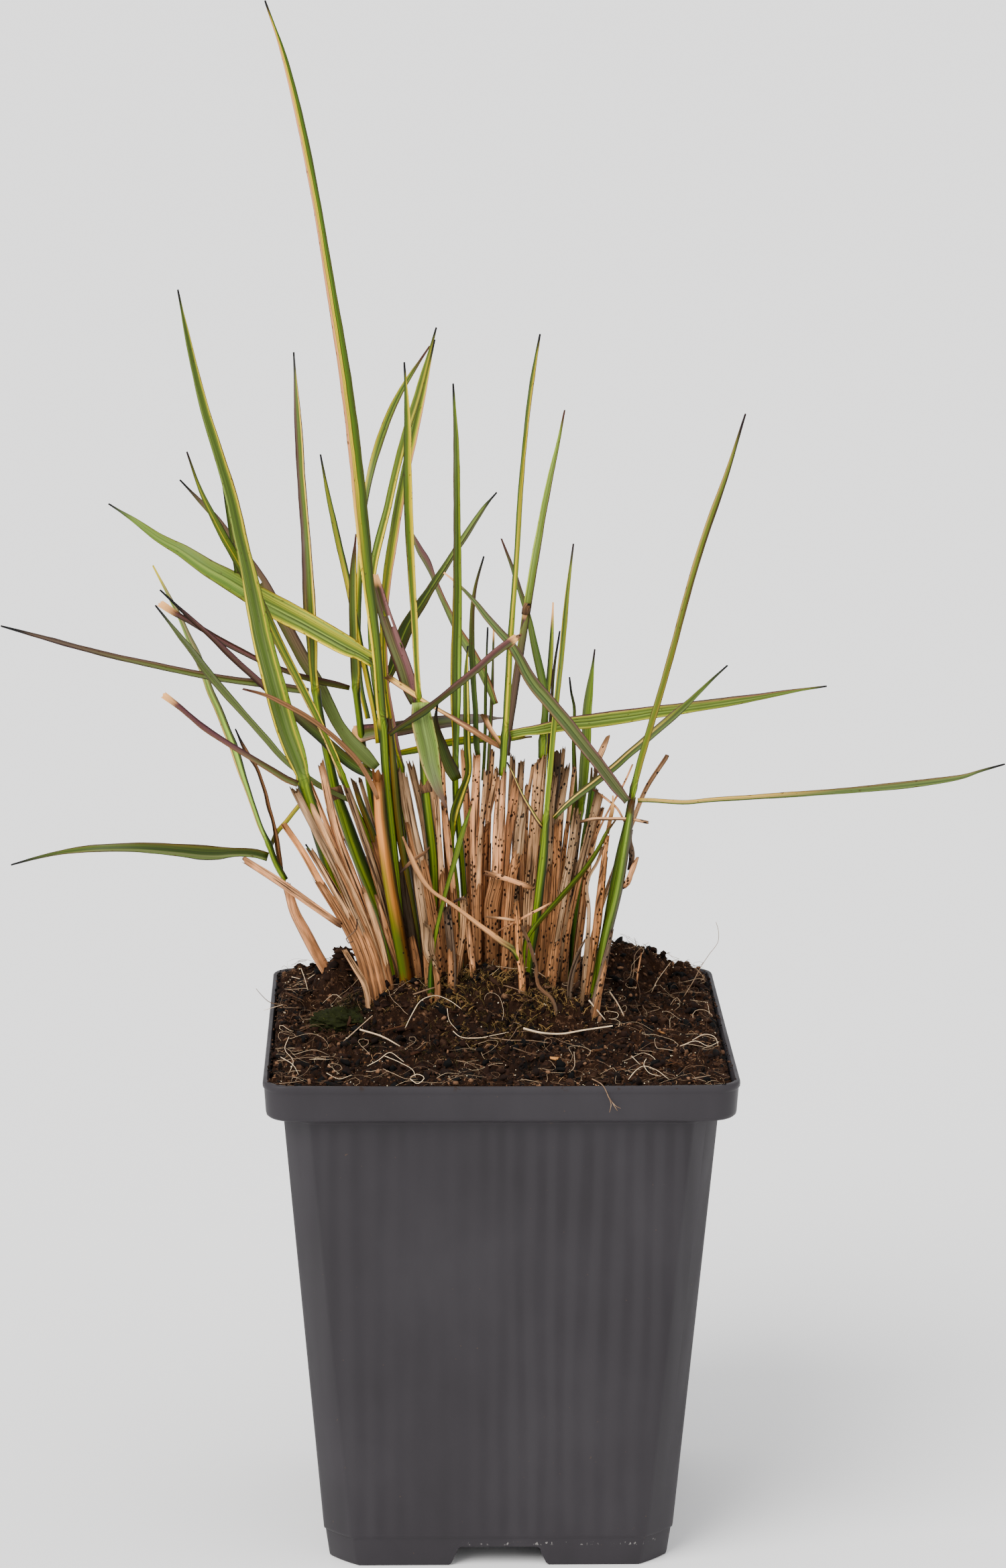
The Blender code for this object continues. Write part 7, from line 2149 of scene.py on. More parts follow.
# Each dead straw: name, depth at foot and at cut top, line from the foot up. The foot stands on the soil.
STRAWS = (
    ("orange_sheath", (2, 0),
     ((-21.2, 131, 3.0), (-22.3, 137, 3.4), (-23.6, 145, 3.5), (-25.4, 155, 3.3), (-26.9, 165, 3.0),
      (-27.9, 173, 2.9), (-28.4, 181.2, 2.9))),
    ("cut_straw_left_front", (-1, -5.5),
     ((-26.5, 130, 1.9), (-30.0, 139.5, 2.0), (-34.5, 150.5, 1.9), (-38.8, 160.5, 1.8),
      (-43.0, 169, 1.8), (-47.6, 178.4, 1.8))),
    ("cut_straw_left_low", (-2, -5),
     ((-29.5, 130, 2.0), (-33.0, 139.5, 2.0), (-37.0, 148, 1.9), (-42.0, 156.5, 1.8),
      (-47.0, 165.5, 1.6), (-50.0, 170, 1.5))),
    ("cut_straw_left_tall", (1, 2),
     ((-24.5, 130.5, 1.9), (-28.0, 140, 1.9), (-32.0, 151.5, 1.9), (-35.3, 160.5, 1.9),
      (-38.3, 169, 1.8), (-41.8, 185, 1.7))),
    ("cut_straw_left_inner", (6.5, 3.5, 0),
     ((-22.5, 133, 1.7), (-25.6, 145, 1.7), (-29.3, 160, 1.8), (-32.3, 169, 1.7), (-35.6, 179, 1.5))),
    ("cut_straw_mid_left", (3.5, 2.5),
     ((-12.6, 136, 1.9), (-14.8, 146, 1.9), (-17.5, 160, 1.9), (-19.5, 168, 1.8), (-22.0, 181.8, 1.4))),
    ("cut_straw_middle_thin", (12, 6),
     ((-9.8, 136, 1.5), (-10.3, 150, 1.6), (-11.3, 161, 1.6), (-12.3, 171, 1.6), (-12.8, 175.5, 1.5))),
    ("cut_straw_middle", (13, 5),
     ((-4.6, 137, 1.7), (-5.2, 150, 2.0), (-5.6, 160, 2.0), (-5.5, 172, 2.3), (-5.1, 187, 1.8))),
    ("cut_straw_centre", (10, 0),
     ((-1.6, 135, 2.4), (-1.2, 145, 3.6), (-1.1, 152, 3.8), (-0.2, 158, 3.0), (0.2, 168, 3.0),
      (0.7, 181.2, 2.5))),
    ("cut_straw_centre_right", (7, 4),
     ((6.2, 133, 1.9), (7.0, 145, 2.6), (7.6, 155, 2.9), (8.3, 165, 2.8), (9.2, 175, 3.0),
      (9.9, 185.6, 2.7))),
    ("cut_straw_right_back", (12, 8),
     ((11.8, 136, 1.7), (13.2, 150, 1.9), (14.2, 166, 2.2), (14.8, 175, 2.0), (16.2, 184, 1.4))),
    ("cut_straw_right", (2, -1),
     ((12.0, 131, 2.3), (13.8, 142, 2.4), (15.4, 152, 2.4), (17.2, 163, 2.0), (18.5, 172, 2.0))),
    ("cut_straw_right_curled", (8, 5),
     ((14.8, 134, 1.8), (17.0, 148, 1.9), (19.5, 160, 1.9), (21.5, 168, 1.9), (23.8, 177.6, 2.2))),
    ("orange_right_straw", (0, 4),
     ((20.6, 127, 1.4), (22.3, 136, 1.5), (23.6, 145, 1.8), (24.4, 153, 1.7), (25.3, 162, 1.4),
      (26.0, 168, 1.2))),
    ("short_front_straw", (-6, -4),
     ((22.8, 124.5, 2.8), (23.9, 129, 2.1), (25.2, 135, 1.6), (26.3, 140, 1.4), (27.2, 144.4, 0.9))),
    ("pale_sheath", (22, 13),
     ((-39.4, 132.6, 2.3), (-41.3, 136, 2.8), (-43.5, 140, 2.8), (-46.0, 145, 2.8), (-48.5, 150, 2.4),
      (-50.0, 155.2, 1.9))),
)

# Straws that lie across the clump: name, depth at both ends, line.
LOOSE_STRAWS = (
    ("right_straw", (12, 4),
     ((19.2, 134, 1.1), (24.5, 150, 1.1), (31.4, 170, 1.1), (35.5, 180.5, 1.1), (39.7, 187.2, 1.1))),
    ("diagonal_straw", (-5, -7),
     ((-38.2, 147.2, 1.6), (-45.0, 152.2, 1.8), (-52.0, 157.3, 1.9), (-59.5, 162.2, 1.6))),
)



# Thinner and hidden straws that only the scene has: name, depths, tone, line from the foot up
THIN_STRAWS = (
    ("left_back", (4, 5), "pale",
     ((-25.5, 133, 1.4), (-31, 147, 1.4), (-36, 160, 1.3), (-40, 169.5, 1.2), (-44.6, 181, 1.2))),
    ("left_second", (9, 5), "olive",
     ((-22.6, 135, 1.7), (-25.5, 152, 1.8), (-30, 169.5, 1.7), (-33, 177.5, 1.4), (-34, 180.8, 1.2))),
    ("left_third", (13, 10), "brown",
     ((-21.5, 135, 1.2), (-24.5, 150, 1.2), (-29.6, 171, 1.1), (-32.6, 181.5, 1))),
    ("slim_left", (14, 12), "tan",
     ((-16, 137, 1.2), (-19, 152, 1.1), (-21, 164, 1), (-22.5, 170, 0.9), (-24.1, 183.5, 0.7))),
    ("dark_left", (10, 7), "brown",
     ((-13.5, 137, 1.9), (-15.5, 155, 1.9), (-17.9, 173.5, 1.9), (-20.3, 184, 1.8))),
    ("mid_left_slim", (8, 3), "tan",
     ((-12, 136, 1.5), (-13, 150, 1.5), (-13.5, 161, 1.4), (-14.1, 170, 1.1), (-14.6, 179, 1.3))),
    ("middle_back", (17, 14), "cream",
     ((-6.6, 137, 1.4), (-6.5, 150, 1.4), (-6.7, 166, 1.3), (-7, 174, 1.4), (-8, 185.5, 0.9))),
    ("middle_front", (8, 2), "tan",
     ((-4.4, 136, 1.4), (-4.6, 150, 1.4), (-4, 170, 1.3), (-3.1, 179, 1.4), (-2.9, 183.2, 1.3))),
    ("middle_second", (15, 8), "tan",
     ((-3.2, 138, 1.4), (-3.2, 150, 1.3), (-2.9, 168, 1.2), (-1.8, 176, 1.3), (-0.9, 180, 1.5),
      (-0.5, 184, 1))),
    ("centre_back", (15, 5), "pale",
     ((1.5, 137, 2), (1.8, 150, 1.8), (2.1, 165, 1.6), (2.9, 172, 2.1), (4, 179.7, 2))),
    ("centre_frayed", (5, -1), "brown",
     ((1.4, 134, 1.6), (2.6, 150, 1.6), (3.7, 160, 1.9), (5, 166, 2.4), (5.3, 170, 2.4),
      (5.6, 174, 2), (5.5, 178, 1.2))),
    ("centre_slim", (16, 13), "tan",
     ((6, 137, 1), (6.3, 150, 0.9), (6.7, 175, 0.8), (7.6, 181, 0.9), (8.2, 185.3, 0.7))),
    ("right_dark", (17, 14), "deep",
     ((11.3, 137, 2.4), (12.2, 155, 2.6), (13.3, 180, 2.6), (13.6, 187.5, 2.6))),
    ("right_second", (21, 18), "brown",
     ((10, 137, 1.3), (11.6, 155, 1.4), (13.6, 175, 1.4), (14.8, 183, 1.4), (15.5, 189, 0.9))),
    ("right_yellow", (5, 1), "brown",
     ((10, 136, 1.2), (11.5, 150, 1.3), (12.6, 170, 1.4), (12.7, 176, 1.4), (13.5, 182.5, 1.3))),
    ("right_slim", (16, 12), "tan", ((12.8, 138, 1), (14.8, 155, 1), (17.2, 177, 1), (18, 184.5, 1))),
    ("right_wavy", (-5, -5), "brown",
     ((20, 124, 0.9), (20.7, 132, 0.9), (21.1, 137, 1.1), (21.5, 142, 1.2), (21.8, 147, 1),
      (21.8, 151, 0.9), (21.3, 156, 0.8), (22, 159, 0.8), (23.5, 161.5, 0.8), (24.8, 165, 0.8))),
    ("right_short", (-3, -4), "dark",
     ((17.3, 131.5, 1.2), (17.7, 133.5, 1.3), (18.6, 137, 1.2), (19.5, 140, 0.8), (21, 143, 0.4))),
    ("front_left_short", (5, 2), "pale",
     ((-22, 131, 1.5), (-24, 137, 1.5), (-25.5, 142, 1.5), (-27, 147, 1.5), (-29, 153.5, 0.6))),
    ("front_left_low", (-4, -6), "tan",
     ((-30.5, 130.5, 1.4), (-32, 132.5, 1.4), (-34, 136, 1.4), (-35.8, 139, 1.2))),
    ("front_broad", (-4, -5), "brown",
     ((-14.2, 131, 1.6), (-15, 136, 1.6), (-16.3, 139.5, 2.4), (-16.5, 142, 2.8), (-16.8, 145, 2))),
    ("front_middle", (-1, -2), "brown",
     ((-15.8, 134, 1.8), (-17.6, 146, 1.8), (-18, 150, 2.2), (-18.7, 155, 2.2), (-19.3, 160, 2))),
    ("by_orange", (4.5, 6), "deep",
     ((-18.4, 131, 2.6), (-19.4, 138, 2.6), (-20.4, 143, 2.5), (-21.4, 149, 2.3), (-22.2, 155, 2),
      (-23, 161, 1.6))),
    ("front_stub", (-2, -2), "dark", ((-10.8, 132, 2), (-11, 140, 2), (-11.5, 145, 2), (-12, 150, 2))),
    ("second_stub", (2, 1), "tan",
     ((-9.4, 134, 1.7), (-9.2, 138, 1.7), (-8.6, 142, 1.6), (-8.2, 147, 1.7), (-8.2, 152, 1.5))),
    ("pale_stub", (0, -1), "pale", ((-5.6, 133, 1.4), (-6, 137, 1.4), (-6.5, 141, 1.4), (-7, 146, 1))),
    ("green_bud", (-4.5, -5.5), "green", ((-16.1, 131.5, 1.0), (-16.1, 134.5, 1.1), (-15.9, 139, 0.8))),
    ("front_tan", (-4, -5), "orange",
     ((6.2, 129, 1.5), (5.8, 135, 1.5), (5.2, 140, 1.5), (5, 145, 1.5), (4.5, 151, 1.4))),
    ("left_fill_outer", (0.5, -3.5), "tan",
     ((-25.6, 130.5, 1.7), (-29.2, 140, 1.8), (-32.9, 150.3, 1.9), (-36.8, 158.9, 1.8),
      (-41.4, 169.3, 1.7), (-44.8, 177, 1.5))),
    ("left_fill_inner", (13, 14), "pale",
     ((-23.6, 130, 1.6), (-26.6, 140.4, 1.8), (-28.9, 148.1, 1.9), (-33.4, 162.1, 1.8),
      (-37.8, 173, 1.7), (-39.6, 179.4, 1.5))),
    ("left_fill_low", (-1.5, -4), "tan",
     ((-28.2, 129.5, 1.9), (-31.4, 139, 2.0), (-35.6, 149, 1.9), (-40.2, 157.5, 1.7),
      (-44.0, 164, 1.5))),
    ("left_fill_front", (1.0, 0.0), "tan",
     ((-24.6, 130, 1.4), (-27.4, 140, 1.5), (-29.8, 148.5, 1.5), (-31.6, 154, 1.2))),
    ("olive_culm", (6.5, 5), "olive",
     ((-18.0, 136, 1.4), (-19.8, 148, 1.6), (-21.6, 158.5, 1.8), (-23.3, 169, 2.0), (-24.3, 179, 2.0),
      (-25.2, 189, 1.8), (-25.9, 196, 1.5))),
    ("mid_left_fill", (8, 6), "brown",
     ((-15, 137, 1.6), (-16.9, 150, 1.8), (-18.8, 160.5, 1.9), (-20.8, 170, 1.9), (-22.3, 177, 1.7),
      (-23.6, 183.5, 1.3))),
    ("mid_fill_dark", (11, 9), "dark",
     ((-17, 136, 1.6), (-18.2, 147, 1.7), (-19.4, 156, 1.7), (-20.6, 164, 1.5))),
    ("mid_fill", (11, 10), "tan",
     ((-12.6, 137, 1.4), (-13.2, 150, 1.5), (-13.8, 160, 1.5), (-14.7, 171, 1.5), (-16, 180, 1.5),
      (-17.2, 188, 1.2))),
    ("mid_fill_back", (13, 12), "pale",
     ((-10.8, 137, 1.2), (-11.4, 150, 1.3), (-12, 160, 1.3), (-12.6, 170, 1.3), (-13, 180, 1.4),
      (-13.5, 189, 1.2))),
    ("middle_fill", (16, 14), "pale",
     ((-7.6, 137, 1.6), (-7.6, 150, 1.6), (-7.5, 160, 1.5), (-7.4, 172, 1.5), (-7.9, 181, 1.4),
      (-8.3, 188, 1.2))),
    ("centre_fill_left", (15, 12), "tan",
     ((-3.0, 137, 1.7), (-2.8, 150, 1.7), (-2.6, 160, 1.6), (-2.4, 170, 1.5), (-2.0, 180, 1.4),
      (-1.4, 188.5, 1.1))),
    ("centre_fill", (11, 9), "brown",
     ((3.4, 134, 2.1), (3.6, 145, 2.2), (4.3, 155, 2.1), (4.4, 165, 2.0), (4.8, 175, 1.9),
      (5.4, 185, 1.6))),
    ("centre_fill_dark", (16, 15), "brown",
     ((1.2, 136, 1.8), (1.4, 150, 1.8), (2.0, 162, 1.7), (3.0, 174, 1.7), (3.4, 186, 1.5))),
    ("centre_fill_right", (17, 15), "tan",
     ((5.6, 137, 1.4), (5.9, 150, 1.5), (6.2, 162, 1.5), (6.6, 172, 1.4), (6.9, 180, 1.2))),
    ("right_fill_dark", (14, 13), "dark",
     ((9.6, 135, 1.7), (10.2, 146, 1.7), (10.9, 158, 1.6), (11.6, 170, 1.5), (12.2, 182, 1.3))),
    ("right_fill_back", (16, 14), "brown",
     ((15.6, 136, 1.9), (16.8, 148, 1.8), (18.0, 160, 1.6), (19.2, 170, 1.4))),
    ("right_fill_tan", (9, 7), "tan",
     ((18.2, 131, 1.5), (19.2, 140, 1.7), (20.2, 149, 1.7), (21.0, 157, 1.4), (22.6, 166, 1.3),
      (24.6, 174.5, 1.1))),
    ("right_fill_green", (13, 12), "green",
     ((17.6, 134, 1.5), (18.3, 145, 1.6), (19.4, 155, 1.5), (20.8, 165, 1.3), (22.0, 175, 1.2),
      (23.2, 184, 1.0))),
    ("right_culm_edge", (1, -2), "culm",
     ((23.4, 134, 2.0), (25.9, 143, 2.3), (28.2, 153, 2.4), (29.8, 162, 2.2), (31.0, 170, 1.9),
      (31.8, 176, 1.5))),
)

# Broken pieces and thin stalks without a bore: name, depths, tone, line
BROKEN_PIECES = (
    ("brown_strip", (-9, -6), "dark",
     ((15, 127, 0.9), (13, 128.5, 0.9), (10, 131.5, 0.9), (9.3, 136, 0.9), (8, 141, 0.9),
      (6, 146, 0.8))),
    ("level_straw", (4, -2), "tan",
     ((19.5, 171.8, 0.8), (22, 172.5, 0.8), (26, 172.6, 0.8), (30, 172.6, 0.8), (33, 172.3, 0.8),
      (35.3, 171.8, 0.8))),
    ("thin_pale", (6, 4), "pale",
     ((22.5, 166, 0.5), (25, 172, 0.5), (27, 176, 0.5), (29.3, 180, 0.5), (30.5, 182.5, 0.5),
      (31.8, 185.6, 0.4))),
    ("thin_arch", (5, 0), "pale",
     ((23, 179.5, 0.6), (26, 177.3, 0.6), (28.5, 175, 0.6), (30, 172.2, 0.5))),
    ("broken_level", (-2.5, -1), "pale",
     ((-2.5, 159.3, 1.3), (1, 158.3, 1.3), (2, 158, 1.2), (7.5, 156, 1.3))),
    ("tan_bit", (8, 8), "tan",
     ((23.2, 184.5, 1.0), (23.8, 187, 1.4), (24.9, 189.8, 1.5), (25.9, 192.2, 1.0))),
    ("curl_by_culm", (-6, -7), "dark",
     ((-10.2, 152.4, 0.6), (-8.8, 153.1, 0.6), (-7.7, 153.0, 0.5), (-7.3, 151.8, 0.4))),
    ("curl_on_shoot", (-3, -5), "dark",
     ((-23.0, 159.6, 0.5), (-21.2, 161.6, 0.9), (-19, 163.4, 0.9), (-17.2, 164.6, 0.8),
      (-16.4, 165.6, 0.4))),
    ("soil_twig", (22, 21), "pale", ((33.3, 132.0, 0.35), (33.8, 135.5, 0.35), (34.5, 139.6, 0.3))),
    ("frill_low", (0, -2), "pale",
     ((28.3, 155.5, 0.7), (29.6, 155.9, 1.3), (30.9, 157.0, 1.5), (31.6, 158.8, 1.3),
      (32.4, 161.0, 1.3), (33.1, 162.6, 0.8))),
    ("frill_high", (0, 0), "dark",
     ((31.3, 160.5, 0.7), (31.9, 162.6, 1.4), (31.9, 165.0, 1.3), (31.5, 167.3, 0.9),
      (31.9, 169.6, 0.5))),
    ("wiry_left", (-5, -6), "dark",
     ((-33.6, 148.0, 0.3), (-33.8, 145.6, 0.35), (-35.2, 144.2, 0.35), (-36.2, 143.3, 0.35),
      (-35.6, 142.2, 0.3), (-34.6, 142.6, 0.3))),
    ("wiry_right", (-4, -4), "pale",
     ((0.4, 145.2, 0.5), (2.4, 146.4, 0.6), (4.6, 147.6, 0.6), (7.6, 149.2, 0.6), (10.6, 150.8, 0.6),
      (12.6, 152.0, 0.4))),
    ("level_front", (-5, -5), "tan", ((-2.4, 148.6, 0.5), (0.6, 148.3, 0.7), (4.6, 147.7, 0.6))),
)

# Cut ends of old sheaths that stand as rings round a culm or a rolled leaf: name, depths, tone, line
SHEATH_RINGS = (
    ("purple_edged", (9, 9), "tan", ((-37.9, 178.0, 3.0), (-38.3, 179.2, 3.1), (-38.6, 180.2, 3.0))),
    ("vertical", (3.7, 3.7), "tan", ((-16.9, 179.6, 2.7), (-17.1, 180.8, 2.9), (-17.2, 182, 2.7))),
    ("green_upright", (8.6, 8.8), "tan", ((6.2, 222.2, 1.6), (6.5, 223.4, 1.9), (6.8, 224.6, 1.3))),
    ("cross_curl", (-10, -9), "tan",
     ((1.0, 213.6, 0.8), (2.4, 214.6, 1.5), (4.0, 216.2, 1.4), (5.3, 217.2, 0.6))),
)

# Narrow or half hidden leaves: name, sheath points, depths, turn, line from the base to the tip
THIN_LEAVES = (
    ("low_level", 0, (13, 14, 13), 20,
     ((-24, 188.6, 1.4), (-20, 189.4, 1.7), (-16, 190.3, 1.9), (-12, 191.2, 1.9), (-8, 191.8, 2),
      (-4, 192.1, 1.8), (0, 192.2, 1.6), (4, 192.3, 1.2), (8, 192.6, 0))),
    ("striped_middle", 3, (13, 10, 6, 2), 20,
     ((-8.5, 137, 1.3), (-9.8, 155, 1.4), (-11, 169, 1.4), (-10.3, 174.5, 2.2), (-9.2, 178, 2.2),
      (-8.2, 180.5, 1.8), (-7.3, 183, 1.6), (-7.4, 190, 1.8), (-7.6, 200, 1.6), (-7.7, 205, 1.4),
      (-7.6, 210, 0.9), (-7.3, 214.5, 0))),
    ("tan_narrow", 0, (-1.5, -7, -12), 20,
     ((-28.6, 177.5, 0.8), (-29.8, 180.5, 1.1), (-31, 182.8, 1.1), (-33, 186.2, 1.2),
      (-36, 189.6, 1.3), (-40, 193.4, 1.2), (-45, 197.2, 1.2), (-50, 200.1, 1.2), (-55, 202.6, 0.9),
      (-60.3, 204.1, 0.5))),
    ("dry_fold", 0, (3, 1.5, 1), 25,
     ((0.5, 190, 0.9), (-1, 190.8, 1.2), (-4, 192.8, 1.5), (-8, 195.3, 1.4), (-12, 197.8, 1),
      (-14.5, 199.3, 0.8), (-17, 200.8, 0.8), (-20, 202.8, 1.3), (-23, 204.8, 1.5), (-26, 206.8, 1.6))),
    ("tan_tipped", 0, (1, 0), 20,
     ((0.8, 188, 0.8), (0.6, 190.5, 0.9), (-0.3, 192, 1), (-2, 194.5, 1.2), (-3.5, 197.6, 1.4))),
    ("young_shoot", 2, (-3, -4, -5), 20,
     ((-15.6, 131, 1), (-15.1, 142.8, 1), (-13.6, 150, 1), (-12.4, 155, 1), (-11.3, 159, 1.1),
      (-10.2, 163, 1.4), (-9.2, 167, 1.5), (-8, 171, 1.1), (-7, 173.8, 0.6), (-6.3, 176.3, 0))),
    ("slim_curled", 0, (14, 15, 24), -20,
     ((9.6, 160, 1.1), (10.4, 175, 1), (11.3, 190, 1), (11.5, 200, 1.1), (11.8, 204, 1.2),
      (12.1, 208, 1.3), (12.4, 213, 1.2), (12.6, 218, 0.9), (12.8, 224.8, 0.35))),
    ("cream_edged", 0, (0, -4), 20,
     ((10.7, 170.5, 0.9), (9.5, 172, 0.9), (8, 174.5, 0.9), (6.5, 177, 0.8), (5, 180, 0.6),
      (3.5, 183.5, 0.4), (2.1, 186.4, 0))),
    ("dark_slim", 0, (14, 22), 20,
     ((11.8, 178, 0.9), (12.5, 200, 0.8), (13, 208, 0.7), (13.4, 211.5, 0.6), (14, 215.5, 0.4),
      (14.4, 218.1, 0))),
    ("right_needle", 0, (10, 14, 18), -20,
     ((15.5, 140, 1.1), (17.5, 166, 1.2), (17.9, 172, 1.3), (18.3, 178, 1.3), (18.2, 184, 1.2),
      (17.9, 193, 0.8), (17.8, 201, 0.5), (17.4, 202.5, 0.4), (16.8, 207, 0))),
    ("right_sliver", 0, (13, 15), 15,
     ((18, 140, 1), (20.6, 169.5, 1), (21.3, 174, 1), (22, 180, 1), (22.2, 185, 0.4))),
    ("behind_bright_a", 0, (10, 18), 15,
     ((-2.6, 182, 0.8), (-2, 192, 0.9), (-1.5, 205, 0.8), (-1.2, 219, 0))),
    ("behind_bright_b", 0, (13, 8), -15,
     ((-3.6, 182, 0.8), (-3.2, 190, 0.8), (-3, 206, 0.7), (-2.6, 219, 0))),
    ("olive_stalk", 0, (6, 12, 14), 10,
     ((-45.5, 177.5, 0.9), (-46.9, 176.3, 1.1), (-48, 175, 1.1), (-50.5, 171.8, 1.1),
      (-52.8, 169, 1.1), (-53.8, 166.5, 0.9))),
    ("brown_dry", 0, (13, 10, 6), 25,
     ((-50.4, 154.5, 0.9), (-51.5, 160, 0.9), (-52.2, 164, 1.2), (-52.8, 168, 1.2), (-53.5, 172, 0.9),
      (-54.5, 175.5, 1), (-55.3, 179, 0.9), (-56.4, 182.5, 0.9), (-57.5, 185.5, 0.9),
      (-59.5, 188.5, 1), (-60.8, 191, 0.8), (-62.3, 194.5, 0))),
    ("green_dart", 0, (-3, -5), 15, ((-41, 160, 1), (-43.5, 163, 1), (-45.8, 166.5, 0))),
    ("behind_wide", 0, (10, 0, -10), 15,
     ((-60.6, 226, 0.9), (-61.4, 230, 1.0), (-62.5, 238, 1.0), (-63.5, 245, 0.9), (-64.5, 252, 0.7))),
    ("rolled_end", 0, (12.6, 13), 5,
     ((-28.2, 194.2, 3.2), (-29.6, 193.9, 3.6), (-31.2, 193.6, 4.0), (-32.6, 193.3, 4.2),
      (-33.9, 193.1, 4.2))),
    ("purple_piece", 0, (8.6, 9.0), 15,
     ((3.3, 201, 1.5), (4.5, 209, 1.8), (5.5, 216, 1.8), (6.5, 223, 1.4))),
    ("papery_blade", 0, (2, 1), 20, ((26, 169, 1), (26.6, 172, 1), (27.2, 175, 0.9), (27.3, 178.3, 0))),
)


def slot_of(name):
    if name in STRIPED:
        return "striped_leaf"
    return "purple_leaf" if name in PURPLISH else "green_leaf"


def leaf_material(name, look, order):
    return leaf_shader(
        name + "_colours", look["low"], look.get("high"), look.get("tip"), look.get("tip_length", 6.0),
        look.get("base"), look.get("base_length", 18.0),
        SHADED_SHEATH_GREEN, look.get("blotch"), look.get("blotch_amount", 0.0),
        look.get("gloss", 0.42), order * 3.3)


def build_leaves():
    for order, (name, sheath, depths, turn, line) in enumerate(LEAVES + THIN_LEAVES):
        own = name in LOOKS
        look = LOOKS[name] if own else THIN_LOOKS[name]
        material = leaf_material(name, look, order)
        leaf = build_leaf(name, sheath, depths, turn, line, look, order * 1.7, material)
        place(leaf, slot_of(name), [name] if own else ())


def build_straws():
    papers = Heap()
    rng = random.Random(5)
    shown = [(name, depths, STRAW_TONES[name], line, [name]) for name, depths, line in STRAWS]
    shown += [(name, depths, tone, line, ()) for name, depths, tone, line in THIN_STRAWS]
    for order, (name, depths, tone, line, nodes) in enumerate(shown):
        tall = line[-1][1] - line[0][1]
        if name == "orange_sheath":
            shader = orange_sheath_shader()
        elif tone in SHADED_STALKS:
            shader = leaf_shader(name + "_colours", SHADED_STALKS[tone], tip=BROWN, tip_length=3.0,
                                 seed=order * 2.9)
        else:
            shader = straw_shader(name + "_fibre", TONES[tone], seed=order * 2.9, foot_length=0.28 * tall)
        place(build_straw(name, line, depths, shader, order, 0.7 + 0.3 * (order % 3)), "dry_straw", nodes)
        if name not in BARE_STRAWS:
            wrap_paper(papers, rng, line, depths, tall * rng.uniform(0.55, 0.95), 1.05)
            if order % 2:
                wrap_paper(papers, rng, line, depths, tall * rng.uniform(0.2, 0.5), 1.13)
    pieces = [(name, depths, STRAW_TONES[name], line, [name]) for name, depths, line in LOOSE_STRAWS]
    pieces += [(name, depths, tone, line, ()) for name, depths, tone, line in BROKEN_PIECES]
    for order, (name, depths, tone, line, nodes) in enumerate(pieces):
        shader = straw_shader(name + "_fibre", TONES[tone], seed=150 + order * 2.9, foot_length=1.0)
        place(build_solid_stem(name, line, depths, shader, order), "dry_straw", nodes)
    for order, (name, depths, tone, line) in enumerate(SHEATH_RINGS):
        shader = straw_shader("ring_" + name + "_fibre", TONES[tone], seed=210 + order * 2.9,
                              foot_length=1.0)
        place(build_solid_stem("ring_" + name, line, depths, shader, order, 16, RING_JAG), "dry_straw")
    sheath = straw_shader("torn_sheath", (0.78, 0.64, 0.50), seed=91.0, own_shade=True)
    place(papers.finish("torn_sheaths", sheath), "dry_straw")


def plain_surface(name, level, roughness):
    """Even pale paper."""
    shader = Shader(name, roughness, 0.1)
    cloud = shader.noise(shader.place(), 3.0, 2.0)
    ends = shader.node("ValToRGB")
    ends.color_ramp.elements[0].color = (level * 0.985, level * 0.985, level * 0.985, 1.0)
    ends.color_ramp.elements[1].color = (level, level, level, 1.0)
    shader.feed(ends.inputs[0], cloud)
    shader.colour(ends.outputs[0])
    return shader.material


def build_floor():
    bpy.ops.mesh.primitive_plane_add(size=60.0, location=(0, 0, 0))
    floor = bpy.context.object
    floor.name = "pale_floor"
    floor.data.materials.append(plain_surface("pale_paper", 0.93, 0.9))


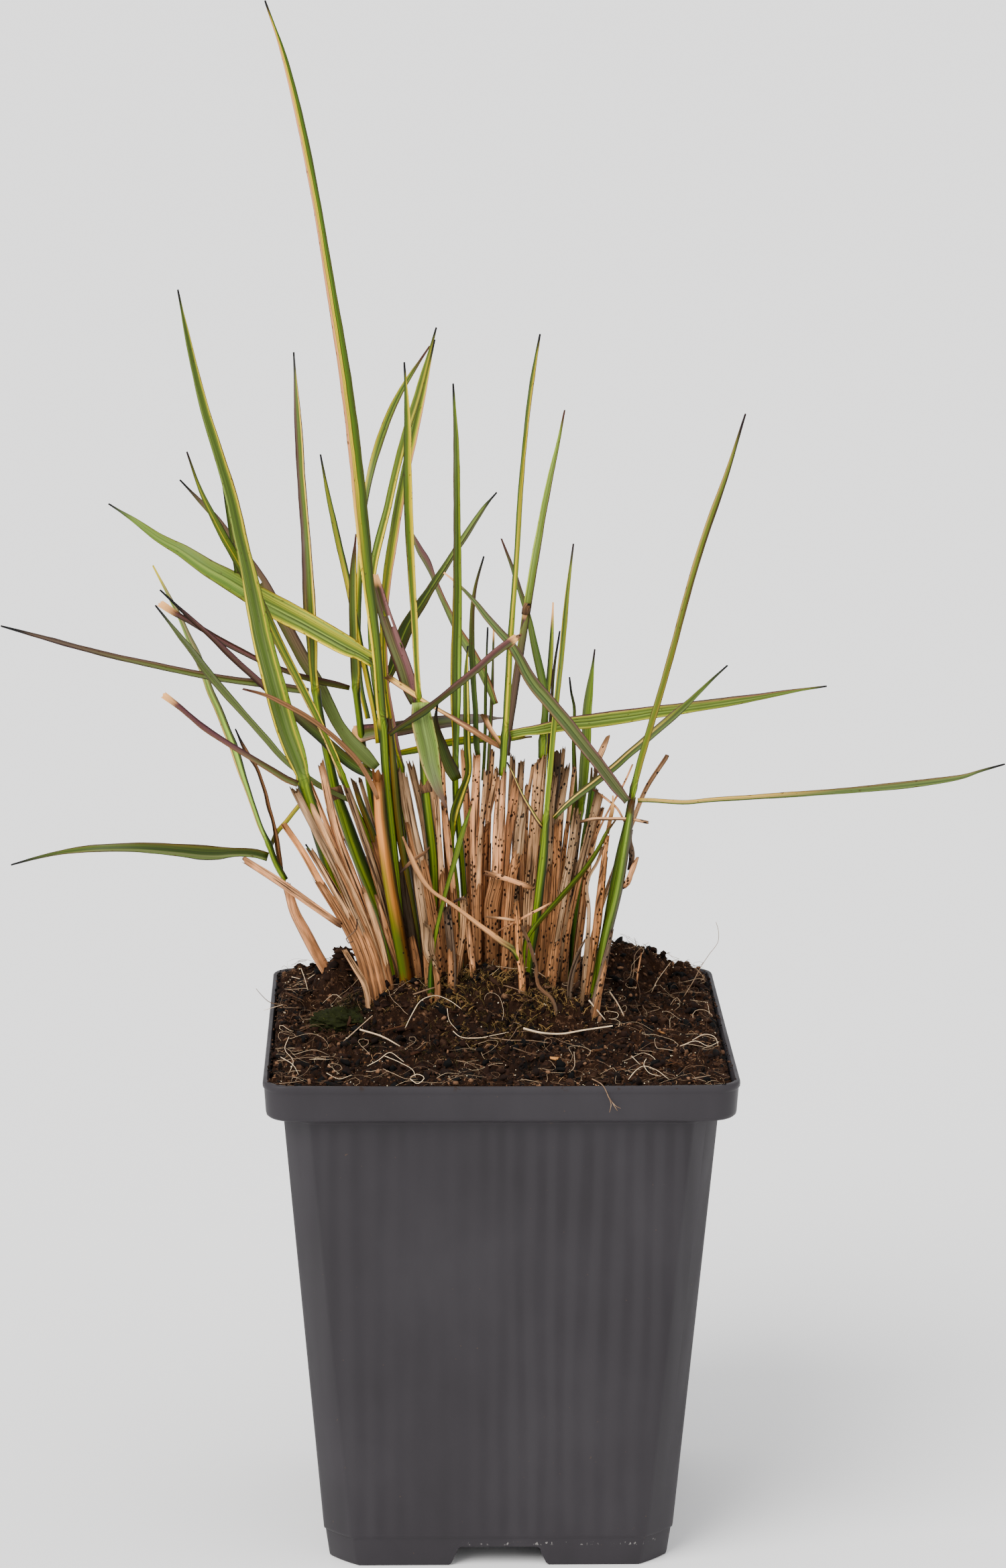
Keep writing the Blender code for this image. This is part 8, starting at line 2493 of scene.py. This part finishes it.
def aim(thing, spot):
    thing.location = spot
    thing.rotation_euler = (Vector((0, 0, 0.16)) - Vector(spot)).to_track_quat("-Z", "Y").to_euler()
    bpy.context.scene.collection.objects.link(thing)


def add_sun(name, spot, softness, strength, colour=(1.0, 1.0, 1.0)):
    lamp = bpy.data.lights.new(name, "SUN")
    lamp.angle = math.radians(softness)
    lamp.energy = strength
    lamp.color = colour
    aim(bpy.data.objects.new(name, lamp), spot)


def build_light():
    world = bpy.data.worlds.new("pale_room")
    world.use_nodes = True
    world.node_tree.nodes["Background"].inputs[0].default_value = (0.99, 0.99, 1.0, 1.0)
    world.node_tree.nodes["Background"].inputs[1].default_value = WORLD_LEVEL
    bpy.context.scene.world = world
    add_sun("key", (-0.9, -1.1, 1.5), 40.0, KEY_LEVEL, (1.0, 0.985, 0.96))
    add_sun("fill", (1.3, -0.9, 0.7), 60.0, FILL_LEVEL)


def build_camera():
    lens = bpy.data.cameras.new("photo_view")
    lens.lens = LENS
    lens.sensor_width = SENSOR
    lens.sensor_fit = "AUTO"
    elevation = math.radians(CAMERA_ELEVATION)
    yaw = math.radians(CAMERA_YAW)
    roll = math.radians(CAMERA_ROLL)
    forward = Vector((math.sin(yaw) * math.cos(elevation), math.cos(yaw) * math.cos(elevation),
                      -math.sin(elevation)))
    flat_right = Vector((math.cos(yaw), -math.sin(yaw), 0.0))
    flat_up = flat_right.cross(forward)
    right = flat_right * math.cos(roll) + flat_up * math.sin(roll)
    up = flat_up * math.cos(roll) - flat_right * math.sin(roll)
    turn = Matrix((right, up, -forward)).transposed().to_4x4()
    spot = (LOOK_AT - forward * CAMERA_DISTANCE) * MM
    thing = bpy.data.objects.new("photo_view", lens)
    thing.matrix_world = Matrix.Translation(spot) @ turn
    bpy.context.scene.collection.objects.link(thing)
    bpy.context.scene.camera = thing


build_pot()
build_soil()
build_crumbs()
build_grit()
build_bark()
build_fibres()
build_roots()
build_moss_lump()
build_moss()
build_leaves()
build_straws()
build_floor()
build_light()
build_camera()
